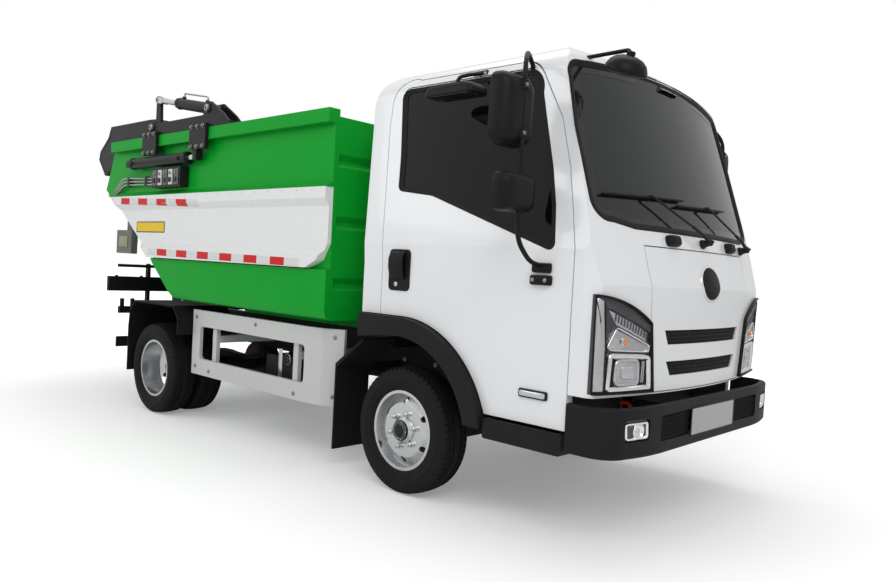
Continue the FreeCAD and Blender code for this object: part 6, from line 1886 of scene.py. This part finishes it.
@dataclass(frozen=True)
class Cushion:
    """A crowned cushion with sewn channels across it and piping round its edge.

    Attributes:
        foot: Middle of its lower edge, halfway through its thickness.
        along: Way that its length runs.
        out: Way that its crown faces.
        length: Its length.
        width: Its width.
        thick: Its thickness.
        channels: Number of sewn fields along it.
    """

    foot: Vector
    along: Vector
    out: Vector
    length: float
    width: float
    thick: float
    channels: int

    def add(self, form: Form) -> None:
        """Add the cushion's cover to a form.

        Args:
            form: Form that gets the faces.
        """
        rows, columns = 12 * self.channels, 28
        rings = []
        for share in (row / rows for row in range(rows + 1)):
            end = 1 - abs(2 * share - 1) ** 5
            seam = abs(math.sin(math.pi * self.channels * share)) ** 0.35 if 0 < share < 1 else 0.0
            half = self.width / 2 * (0.965 + 0.035 * end) * (1 - 0.10 * (1 - end))
            puff = self.thick / 2 * (0.30 + 0.70 * end) * (0.88 + 0.12 * seam)
            ring = []
            for turn in (math.tau * column / columns for column in range(columns)):
                flat = math.copysign(abs(math.cos(turn)) ** 0.42, math.cos(turn))
                rise = math.copysign(abs(math.sin(turn)) ** 0.62, math.sin(turn))
                crown = 1 + 0.10 * (1 - flat * flat) if rise > 0 else 0.92
                ring.append(self.foot + self.along * (self.length * share)
                            + Vector((0, half * flat, 0)) + self.out * (rise * puff * crown))
            rings.append(ring)
        form.loft(rings)

    def pipe(self, form: Form) -> None:
        """Add the piped seam round the cushion's edge to a form.

        Args:
            form: Form that gets the faces.
        """
        half = self.width / 2 * 0.985
        form.pipe(bent([self.foot + self.along * (self.length * share) + Vector((0, half * sign, 0))
                        for share, sign in ((0.04, -1), (0.04, 1), (0.97, 1), (0.97, -1),
                                            (0.04, -1))], 0.06), 0.0042, 8, 1)


@dataclass
class CabInside:
    """Padded seats and what shows of the dashboard through the glass.

    Attributes:
        middle: Distance of each seat's middle from the centre line.
        width: Width of a seat.
        rear: Where the back rest's rear face is at its foot.
        front: Where the cushion ends in front.
        floor: Height that the cushion stands on.
        top: Height of the head rest.
        hood_y: Middle of the instrument hood, across.
        vents: Middle of each air vent, across.
        vent_radius: Radius inside a vent's rim.
    """

    middle: float = 0.480
    width: float = 0.500
    rear: float = 1.170
    front: float = 1.750
    floor: float = 1.020
    top: float = 1.930
    hood_y: float = 0.48
    vents: tuple[float, ...] = (-0.62, -0.16, 0.02, 0.80)
    vent_radius: float = 0.030

    def build(self) -> None:
        """Build the seats, their bases and the dashboard's details."""
        seats = [self._seat(side) for side in Side]
        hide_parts("seats")
        self._bases()
        self._panel()

    def _seat(self, side: Side) -> bpy.types.Object:
        """Build the cushion, back and head rest of a side's seat.

        Args:
            side: Side of the vehicle.

        Returns:
            The object.
        """
        form = Form()
        middle = self.middle * side.value
        rise, out = Vector((-0.12, 0, 1)).normalized(), Vector((1, 0, 0.12)).normalized()
        cushion = Cushion(Vector((self.rear + 0.110, middle, self.floor + 0.165)),
                          Vector((1, 0, 0.06)).normalized(), Vector((-0.06, 0, 1)).normalized(),
                          self.front - self.rear - 0.130, self.width * 0.96, 0.150, 4)
        back = Cushion(Vector((self.rear + 0.125, middle, self.floor + 0.215)), rise, out, 0.510,
                       self.width * 0.94, 0.120, 5)
        head_foot = back.foot + rise * 0.545
        for part in (cushion, back):
            part.add(form)
            part.pipe(form)
        Cushion(head_foot, rise, out, self.top - head_foot.z - 0.004, self.width * 0.52, 0.100,
                1).add(form)
        made = form.build(f"seat_padding_{side.word}", "cab", SEAT_CLOTH, SEAT_PIPING)
        return made

    def _bases(self) -> None:
        """Build the plastic seat boxes and the head rests' stems."""
        form = Form()
        centre = (self.rear + self.front) / 2
        for middle in (-self.middle, self.middle):
            outline = box_outline((self.rear + 0.060, middle - 0.205),
                                  (self.front - 0.060, middle + 0.205), 0.045)
            form.stack(((1.0, 0.0), (0.97, 0.050), (0.96, 0.090), (0.92, 0.105)),
                       lambda share: scaled(outline, share, (centre, middle)),
                       lambda first, second, up: Vector((first, second, self.floor + up)))
            for far in (-0.060, 0.060):
                low = Vector((self.rear + 0.068, middle + far, self.floor + 0.700))
                form.pipe([low, low + Vector((-0.018, 0, 0.110))], 0.006, 10, 1)
        form.build("seat_bases", "cab", DASH_PLASTIC, CHROME)

    def _panel(self) -> None:
        """Build the instrument hood and the air vents on the dashboard."""
        form = Form()
        low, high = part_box("dashboard")
        top = Skin("dashboard", view=Axis.Z).lay((low[0] + high[0]) / 2, self.hood_y)
        form.stack(((1.0, -0.01), (1.0, 0.020), (0.9, 0.042), (0.6, 0.054), (0.2, 0.057)),
                   lambda share: box_outline((top.x - 0.110 * share, self.hood_y - 0.190 * share),
                                             (top.x + 0.085 * share, self.hood_y + 0.190 * share),
                                             0.05 * share),
                   lambda first, second, up: Vector((first, second, top.z + up)))
        rear = Skin("dashboard", side=-1)
        for first in self.vents:
            spot = rear.lay(first, top.z - 0.085)
            form.turn([(0.0, 0.040), (0.008, 0.040), (0.010, 0.034), (0.003, self.vent_radius)],
                      spot, rear.out, 28)
            for up in (row * 0.011 for row in range(-2, 3)):
                reach = math.sqrt(max(0.0, self.vent_radius ** 2 - up ** 2))
                form.pipe([spot + Vector((-0.006, far, up)) for far in (-reach, reach)], 0.002, 6)
        form.build("dash_details", "cab", DASH_PLASTIC)


# Tub and mechanism


@dataclass
class TubDress:
    """Reflecting tape, fixings and, on the right, the blank label on the tub's wall.

    Attributes:
        side: Side of the vehicle.
        wall: Distance of the ribs' faces from the centre line.
        tape: Height of the tape.
        field: Length of one red or white field.
        runs: Both ends of each run of tape, along and up.
        section: Share of half the tape's height and lift of each point across it.
        rivets: Rear end, pitch and height of the row of rivets.
        weld: Rear end, pitch and height of the weld's points under the rail.
    """

    side: Side
    wall: float = 0.985
    tape: float = 0.050
    field: float = 0.153
    runs: tuple[tuple[Flat, Flat], ...] = (((-1.945, 1.634), (-0.731, 1.598)),
                                           ((-1.446, 1.236), (0.504, 1.2195)))
    section: tuple[Flat, ...] = ((-1, -0.001), (-1, 0.0013), (-0.95, 0.0018), (-0.5, 0.0018),
                                 (0, 0.0018), (0.5, 0.0018), (0.95, 0.0018), (1, 0.0013),
                                 (1, -0.001))
    rivets: Point = (-2.10, 0.150, 1.655)
    weld: Point = (-2.10, 0.05, 2.0445)

    def build(self) -> None:
        """Build the wall's tape, fixings and label."""
        self._tape()
        self._fixings()
        if self.side is Side.RIGHT:
            self._label()

    def _tape(self) -> None:
        """Build the runs of tape in red and white fields."""
        form = Form()
        skin = Skin("tub_side_panels", "tub_shell", view=Axis.Y, side=self.side.value)
        for start, (rear, front) in enumerate(self.runs):
            count = max(1, round((front[0] - rear[0]) / self.field))
            for index in range(count):
                rings = []
                for share in ((index + step / 5) / count for step in range(6)):
                    along = rear[0] + (front[0] - rear[0]) * share
                    level = rear[1] + (front[1] - rear[1]) * share
                    rings.append([skin.lay(along, level + self.tape / 2 * far, lift)
                                  for far, lift in self.section])
                form.loft(rings, (index + start) % 2)
        form.build(f"tape_{self.side.word}", "tub", TAPE_RED, TAPE_WHITE)

    def _label(self) -> None:
        """Build the blank yellow label."""
        skin, form = Skin("tub_side_panels", view=Axis.Y, side=self.side.value), Form()
        form.cover(skin, box_outline((-1.722, 1.384), (-1.255, 1.470), 0.008), 0.0012, 0, step=0.04)
        form.cover(skin, box_outline((-1.712, 1.392), (-1.265, 1.462), 0.006), 0.0016, 1, step=0.04)
        form.build("label_blank", "tub", LABEL_DARK, LABEL_YELLOW)

    def _fixings(self) -> None:
        """Build the rivets along the white panel and the weld bead under the rail."""
        form = Form()
        skin = Skin("tub_side_panels", "tub_shell", view=Axis.Y, side=self.side.value)
        rear, pitch, up = self.rivets
        for spot in skin.spots([(rear + index * pitch, up) for index in range(19)],
                               self.wall - 0.003, self.wall + 0.003):
            form.turn([(-0.001, 0.0062), (0.0012, 0.0060), (0.0030, 0.0036), (0.0036, 0.001)],
                      spot, skin.out, 10)
        rear, pitch, up = self.weld
        form.pipe([self.side.at(rear + index * pitch, self.wall, up) for index in range(56)],
                  0.0042, 8, 1)
        form.build(f"tub_fixings_{self.side.word}", "tub", BRIGHT_STEEL, GREEN_PAINT)


@dataclass
class Mechanism:
    """Pins, bolts, pipes and glands of the carriage and the blade on one side.

    Attributes:
        side: Side of the vehicle.
        slide: Rear end of the slide cylinder's axis.
        blade_y: Distance of the blade cylinder from the centre line.
        foot: Pin at the foot of the blade cylinder, along and up.
        eye: Pin at its rod's eye.
        rear_pin: Pin at the rear of the carriage.
        clamps: Rear and front end of each clamp.
        clamp_levels: Heights of the clamps' bolts.
        blade_bolts: Places along and up of the bolts on the blade's arm.
    """

    side: Side
    slide: Point = (-1.772, 0.985, 1.925)
    blade_y: float = 0.930
    foot: Flat = (-0.629, 2.257)
    eye: Flat = (-1.457, 2.410)
    rear_pin: Flat = (-1.450, 2.190)
    clamps: tuple[Flat, Flat] = ((-1.545, -1.350), (-0.818, -0.620))
    clamp_levels: Flat = (1.992, 2.132)
    blade_bolts: tuple[Flat, ...] = ((-2.56, 2.10), (-2.44, 2.22), (-2.28, 2.31), (-2.10, 2.36))

    def build(self) -> None:
        """Build the side's details."""
        self._carriage_pins()
        self._blade_pins()
        self._blade_cylinder()
        self._slide_glands()

    def _skin(self, node: str) -> Skin:
        """Return a node's skin as seen from this side."""
        return Skin(node, view=Axis.Y, side=self.side.value)

    @staticmethod
    def _pin(form: Form, skin: Skin, place: Flat, radius: float, proud: float) -> None:
        """Add a pin's head with its keeper plate and screw.

        Args:
            form: Form that gets the faces.
            skin: Skin that it stands on.
            place: Where it stands, along and up.
            radius: The pin's radius.
            proud: How far it stands out.
        """
        spot = skin.lay(*place)
        form.turn([(-0.004, radius * 1.35), (proud * 0.35, radius * 1.35),
                   (proud * 0.42, radius * 1.2)], spot, skin.out, 28)
        form.turn([(proud * 0.3, radius), (proud * 0.92, radius), (proud, radius * 0.86)], spot,
                  skin.out, 28, 1)
        form.turn([(proud, radius * 0.22), (proud + 0.004, radius * 0.20)], spot, skin.out, 10)

    def _carriage_pins(self) -> None:
        """Build the carriage's pins and its clamps' bolts."""
        skin, form = self._skin("carriage"), Form()
        for place in (self.rear_pin, self.foot):
            self._pin(form, skin, place, 0.026, 0.020)
        form.bolts(skin, [(along, up) for start, end in self.clamps
                          for along in (start + 0.020, (start + end) / 2, end - 0.020)
                          for up in self.clamp_levels], 0.026, 0.98, slot=1)
        form.build(f"carriage_pins_{self.side.word}", "carriage", MECHANISM_BLACK, BOLT_STEEL,
                   bevel=0.0008)

    def _blade_pins(self) -> None:
        """Build the pins and bolts that turn with the blade."""
        skin, form = self._skin("push_blade"), Form()
        self._pin(form, skin, self.eye, 0.022, 0.016)
        form.bolts(skin, self.blade_bolts, 0.024, 0.9, slot=1)
        form.build(f"blade_pins_{self.side.word}", "blade", MECHANISM_BLACK, BOLT_STEEL,
                   bevel=0.0008)

    def _blade_cylinder(self) -> None:
        """Build the gland nut, port blocks and feed pipe of the blade cylinder."""
        form, skin = Form(), self._skin("blade_barrels")
        foot, eye = (self.side.at(along, self.blade_y, up) for along, up in (self.foot, self.eye))
        ahead = (eye - foot).normalized()
        reach = (foot.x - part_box("blade_barrels")[0][0]) / abs(ahead.x)
        spot = foot + ahead * (reach * 0.62)
        radius = abs(abs(skin.lay(spot.x, spot.z).y) - self.blade_y)
        form.turn([(0, radius * 0.98), (0.0, radius * 1.10), (0.036, radius * 1.10),
                   (0.040, radius * 1.02)], foot + ahead * (reach - 0.048), ahead, 8)
        up = Vector((0, 0, 1))
        lift = (up - ahead * up.dot(ahead)).normalized()
        ports = []
        for share in (0.22, 0.86):
            spot = foot + ahead * (reach * share) + lift * (radius - 0.004)
            form.turn([(0, 0.015), (0.016, 0.015), (0.018, 0.013)], spot, lift, 16)
            form.turn([(0.018, 0.011), (0.026, 0.011)], spot, lift, 6, 1)
            ports.append(spot + lift * 0.026)
        rise = lift * 0.016
        form.pipe(bent([ports[0], ports[0] + rise, ports[1] + rise, ports[1]], 0.018, 5), 0.0062,
                  10, 1)
        form.build(f"blade_cylinder_details_{self.side.word}", "blade_barrels", MECHANISM_BLACK,
                   PIPE_STEEL)

    def _slide_glands(self) -> None:
        """Build the collars and ports of the slide cylinder."""
        form, axis, centre = Form(), Vector((1, 0, 0)), self.side.at(*self.slide)
        form.turn([(0.850, 0.0425), (0.850, 0.0475), (0.897, 0.0475), (0.900, 0.044)], centre,
                  axis, 10)
        form.turn([(0.020, 0.0425), (0.020, 0.0465), (0.050, 0.0465), (0.052, 0.0425)], centre,
                  axis, 40)
        for along in (0.075, 0.815):
            form.turn([(0, 0.016), (0.014, 0.016), (0.016, 0.013)],
                      centre + self.side.at(along, 0.038, -0.004), self.side.out, 16)
        form.build(f"slide_cylinder_details_{self.side.word}", "tub", MECHANISM_BLACK, PIPE_STEEL)


@dataclass
class ValveBlock:
    """The valve block's spools, fittings and rigid pipes on the right wall.

    Attributes:
        wall: Where the pipes run, from the centre line.
        clamps: Where the pipes' clamps stand, along.
        pipe_levels: Height where each pipe leaves the block.
    """

    wall: float = -0.962
    clamps: Flat = (-1.560, -1.860)
    pipe_levels: Point = (1.800, 1.776, 1.752)

    def build(self) -> None:
        """Build the block's details."""
        form = Form()
        low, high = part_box("valve_block")
        face, wall, out = low[1], self.wall, Side.RIGHT.out
        for index in range(5):
            along = low[0] + 0.050 + index * 0.082
            form.block((along - 0.030, face - 0.006, low[2] + 0.016),
                       (along + 0.030, face + 0.004, high[2] - 0.016), index % 2)
            form.turn([(0, 0.019), (0.010, 0.019), (0.013, 0.016)],
                      (along, face - 0.006, low[2] + 0.052), out, 20, 2)
            form.turn([(0, 0.012), (0.008, 0.012), (0.010, 0.010)],
                      (along, face - 0.006, high[2] - 0.045), out, 6, 3)
        for index, up in enumerate(self.pipe_levels):
            form.pipe(bent([(low[0] + 0.01, wall, up), (-1.640, wall, up + 0.008),
                            (-1.960, wall - 0.004, up + 0.020 - index * 0.004),
                            (-2.150, wall + 0.004, up - 0.090)], 0.06), 0.0075, 10, 3)
        for along in self.clamps:
            form.block((along - 0.016, wall - 0.012, 1.748), (along + 0.016, -0.944, 1.822), 2)
        form.build("valve_details", "tub", BRACKET_GREY, VALVE_WHITE, MECHANISM_BLACK, PIPE_STEEL,
                   bevel=0.0012)


@dataclass
class Underbody:
    """Lamp lenses, bolts, straps and caps on the chassis and at the back.

    Attributes:
        lamp_fields: Lower and upper level of each coloured field of a rear lamp.
        lamp_edges: Inner and outer edge of those fields, from the centre line.
        guard_bolts: Places along and up of the bolts on a side guard.
        comb_bolts: Number of bolts on the bin comb.
        straps: Where the tanks' straps stand, along.
        cap: Where the tanks' filler caps stand, along and up.
        rail_bolts: Rear end, pitch and number of the bolts along a frame rail.
        rail_levels: Their heights.
        stand_bolts: Places along and up of the bolts on a stand.
    """

    lamp_fields: tuple[Flat, ...] = ((1.222, 1.272), (1.276, 1.330), (1.334, 1.388))
    lamp_edges: Flat = (0.903, 0.945)
    guard_bolts: tuple[Flat, ...] = ((-0.830, 0.780), (-0.830, 0.420), (0.690, 0.780),
                                     (0.690, 0.420), (-0.070, 0.790), (-0.640, 0.400),
                                     (0.380, 0.400))
    comb_bolts: int = 9
    straps: Flat = (-0.330, 0.060)
    cap: Flat = (0.150, 0.58)
    rail_bolts: tuple[float, float, int] = (-2.14, 0.27, 17)
    rail_levels: Flat = (0.530, 0.640)
    stand_bolts: tuple[Flat, ...] = ((-2.180, 0.900), (-2.060, 0.900), (-2.180, 1.040))

    def build(self) -> None:
        """Build the details."""
        for side in Side:
            self._rear_lamp(side)
            form = Form()
            guard = Skin("side_guards", "rear_mudguards", view=Axis.Y, side=side.value)
            form.bolts(guard, self.guard_bolts, 0.020, 0.8)
            form.build(f"guard_bolts_{side.word}", "chassis", BOLT_STEEL)
        self._comb_bolts()
        self._tank_details()
        self._frame_bolts()

    def _rear_lamp(self, side: Side) -> None:
        """Build a rear lamp's lenses on the lamp box's back, and its side reflector.

        Args:
            side: Side of the vehicle.
        """
        form, back = Form(), Skin("tail_lamps", side=-1)
        for index, (low, high) in enumerate(self.lamp_fields):
            outline = box_outline((self.lamp_edges[0], low), (self.lamp_edges[1], high), 0.006)
            form.cover(back, side.mirrored(outline), 0.010, index, 0.002)
        form.cover(Skin("tail_lamps", view=Axis.Y, side=side.value),
                   box_outline((-2.030, 1.262), (-1.880, 1.352), 0.012), 0.006, 3, 0.0015, 0.03)
        form.build(f"rear_lamp_lenses_{side.word}", "tub", LAMP_RED, LAMP_AMBER, LAMP_RED,
                   LAMP_OLIVE)

    def _comb_bolts(self) -> None:
        """Build the bolts along the bin comb's bar."""
        form = Form()
        low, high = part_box("bin_comb")
        step = (high[1] - low[1] - 0.16) / (self.comb_bolts - 1)
        form.bolts(Skin("bin_comb", side=-1), [(low[1] + 0.080 + index * step, high[2] - 0.12)
                                               for index in range(self.comb_bolts)],
                   0.022, -low[0] - 0.08)
        form.build("comb_bolts", "bin_comb", BOLT_STEEL)

    def _tank_details(self) -> None:
        """Build the straps round the tanks and their filler caps."""
        form = Form()
        skins = [Skin("chassis_tanks", view=Axis.Y, side=side.value) for side in Side]
        for along in self.straps:
            for skin in skins:
                for hit in skin.spots([(along, 0.50)], 0.0):
                    faces = (hit.y + skin.side * 0.0012, hit.y - skin.side * 0.0018)
                    form.block((along - 0.020, min(faces), 0.345),
                               (along + 0.020, max(faces), 0.640))
        for skin in skins:
            for hit in skin.spots([self.cap], 0.0):
                form.turn([(-0.004, 0.040), (0.010, 0.040), (0.013, 0.037), (0.013, 0.030),
                           (0.026, 0.029), (0.029, 0.025)], hit, skin.out, 28, 1)
        form.build("tank_details", "chassis", BRIGHT_STEEL, MIRROR_PLASTIC, bevel=0.0008)

    def _frame_bolts(self) -> None:
        """Build the bolt rows on the frame rails and the stands."""
        form = Form()
        rear, pitch, count = self.rail_bolts
        for side in Side:
            skin = Skin("chassis_frame", "pivot_stands", view=Axis.Y, side=side.value)
            form.bolts(skin, [(rear + index * pitch, up) for index in range(count)
                              for up in self.rail_levels], 0.022, 0.3, 0.45)
            form.bolts(skin, self.stand_bolts, 0.026, 0.5)
        form.build("frame_bolts", "chassis", BOLT_STEEL)


# Camera and studio


@dataclass
class Studio:
    """Camera at the photograph's angle, plain light and a pale floor.

    Attributes:
        place: Where the camera stands.
        azimuth: Degrees it is turned from looking along +Y.
        pitch: Degrees it looks up.
        roll: Degrees it is rolled.
        focal: Focal length in pixels of the photograph.
        centre: Pixel where the camera's axis meets the picture.
        picture: Width and height of the photograph in pixels.
        ambient: Strength of the world's plain light.
    """

    place: Point = (4.2414, -3.7085, 1.2375)
    azimuth: float = 42.47
    pitch: float = -2.09
    roll: float = 3.15
    focal: float = 753.9
    centre: Flat = (449.8, 295.3)
    picture: Flat = (896.0, 582.0)
    ambient: float = 0.58

    def build(self) -> None:
        """Set up the camera, the light and the floor."""
        self._camera()
        self._light()
        self._floor()
        bpy.context.scene.view_settings.view_transform = "Standard"
        log.info("studio ready")

    def _camera(self) -> None:
        """Place the camera."""
        turn = math.radians(self.azimuth)
        lift = math.radians(self.pitch)
        tilt = math.radians(self.roll)
        ahead = Vector((-math.sin(turn) * math.cos(lift), math.cos(turn) * math.cos(lift),
                        math.sin(lift)))
        side = Vector((math.cos(turn), math.sin(turn), 0.0))
        top = side.cross(ahead)
        right = math.cos(tilt) * side + math.sin(tilt) * top
        up = -math.sin(tilt) * side + math.cos(tilt) * top
        data = bpy.data.cameras.new("camera")
        width, height = self.picture
        data.sensor_width = 36.0
        data.lens = self.focal / width * data.sensor_width
        data.shift_x = (width / 2 - self.centre[0]) / width
        data.shift_y = (self.centre[1] - height / 2) / width
        data.clip_end = 200.0
        camera = bpy.data.objects.new("camera", data)
        basis = Matrix((right, up, -ahead)).transposed().to_4x4()
        camera.matrix_world = Matrix.Translation(self.place) @ basis
        bpy.context.scene.collection.objects.link(camera)
        bpy.context.scene.camera = camera

    @staticmethod
    def _area(name: str, place: Point, size: Flat, power: float) -> None:
        """Add a soft lamp that faces the middle of the vehicle.

        Args:
            name: Name of the lamp.
            place: Where it stands.
            size: Its width and height.
            power: Its power in watts.
        """
        data = bpy.data.lights.new(name, "AREA")
        data.shape = "RECTANGLE"
        data.size, data.size_y = size
        data.energy = power
        lamp = bpy.data.objects.new(name, data)
        lamp.location = place
        aim = Vector((0.4, 0.0, 1.0)) - Vector(place)
        lamp.rotation_euler = aim.to_track_quat("-Z", "Y").to_euler()
        bpy.context.scene.collection.objects.link(lamp)

    def _light(self) -> None:
        """Set the world's plain light and two large soft lamps."""
        world = bpy.data.worlds.new("studio")
        bpy.context.scene.world = world
        world.use_nodes = True
        world.node_tree.nodes.clear()
        board = Board(world.node_tree)
        path = board.node("ShaderNodeLightPath")
        seen = board.math("MAXIMUM", path.outputs["Is Camera Ray"],
                          path.outputs["Is Transmission Ray"])
        seen = board.math("MAXIMUM", seen,
                          board.math("MULTIPLY", path.outputs["Is Glossy Ray"], 0.35))
        plain, white = (board.node("ShaderNodeBackground",
                                   {"Color": (1, 1, 1, 1), "Strength": power})
                        for power in (self.ambient, 1.0))
        both = board.node("ShaderNodeMixShader",
                          {0: seen, 1: plain.outputs[0], 2: white.outputs[0]})
        board.node("ShaderNodeOutputWorld", {"Surface": both.outputs[0]})
        self._area("key_lamp", (6.5, -5.5, 6.5), (5.0, 4.0), 210.0)
        self._area("side_lamp", (-3.5, -7.5, 5.0), (5.0, 3.5), 110.0)
        self._area("top_lamp", (0.0, 1.0, 8.5), (7.0, 4.0), 190.0)

    @staticmethod
    def _floor() -> None:
        """Lay the pale floor, which keeps the vehicle's shadow."""
        mesh = bpy.data.meshes.new("floor")
        reach = 60.0
        mesh.from_pydata([(-reach, -reach, 0), (reach, -reach, 0), (reach, reach, 0),
                          (-reach, reach, 0)], [], [(0, 1, 2, 3)])
        floor = bpy.data.objects.new("floor", mesh)
        bpy.context.scene.collection.objects.link(floor)
        pale = bpy.data.materials.new("floor_pale")
        pale.use_nodes = True
        pale.node_tree.nodes.clear()
        board = Board(pale.node_tree)
        path = board.node("ShaderNodeLightPath")
        seen = board.math("MAXIMUM", path.outputs["Is Camera Ray"],
                          path.outputs["Is Transmission Ray"])
        place = board.node("ShaderNodeTexCoord").outputs["Object"]
        away = board.node("ShaderNodeVectorMath", {0: place}, operation="LENGTH").outputs["Value"]
        strength = board.math("MULTIPLY", seen, board.remap(away, 2.6, 7.0, 0.24, 0.80))
        flat = board.node("ShaderNodeBsdfDiffuse", {"Color": (0.88, 0.88, 0.88, 1)})
        glow = board.node("ShaderNodeEmission", {"Color": (1, 1, 1, 1), "Strength": strength})
        both = board.node("ShaderNodeAddShader", {0: flat.outputs[0], 1: glow.outputs[0]})
        board.node("ShaderNodeOutputMaterial", {"Surface": both.outputs[0]})
        mesh.materials.append(pale)


def main() -> None:
    """Build the scene in order."""
    logging.basicConfig(level=logging.INFO, format="%(name)s: %(message)s")
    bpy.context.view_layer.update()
    Studio().build()
    dress_nodes()
    for paired in (Wheels, Headlamp, DoorDress, DoorMirrors, TubDress, Mechanism):
        for side in Side:
            paired(side).build()
            log.info("%s of the %s side done", paired.__name__, side.word)
    for single in (GlassTrim, FrontDress, FrontMirror, CabInside, ValveBlock, Underbody):
        single().build()
        log.info("%s done", single.__name__)


if __name__ == "__main__":
    main()
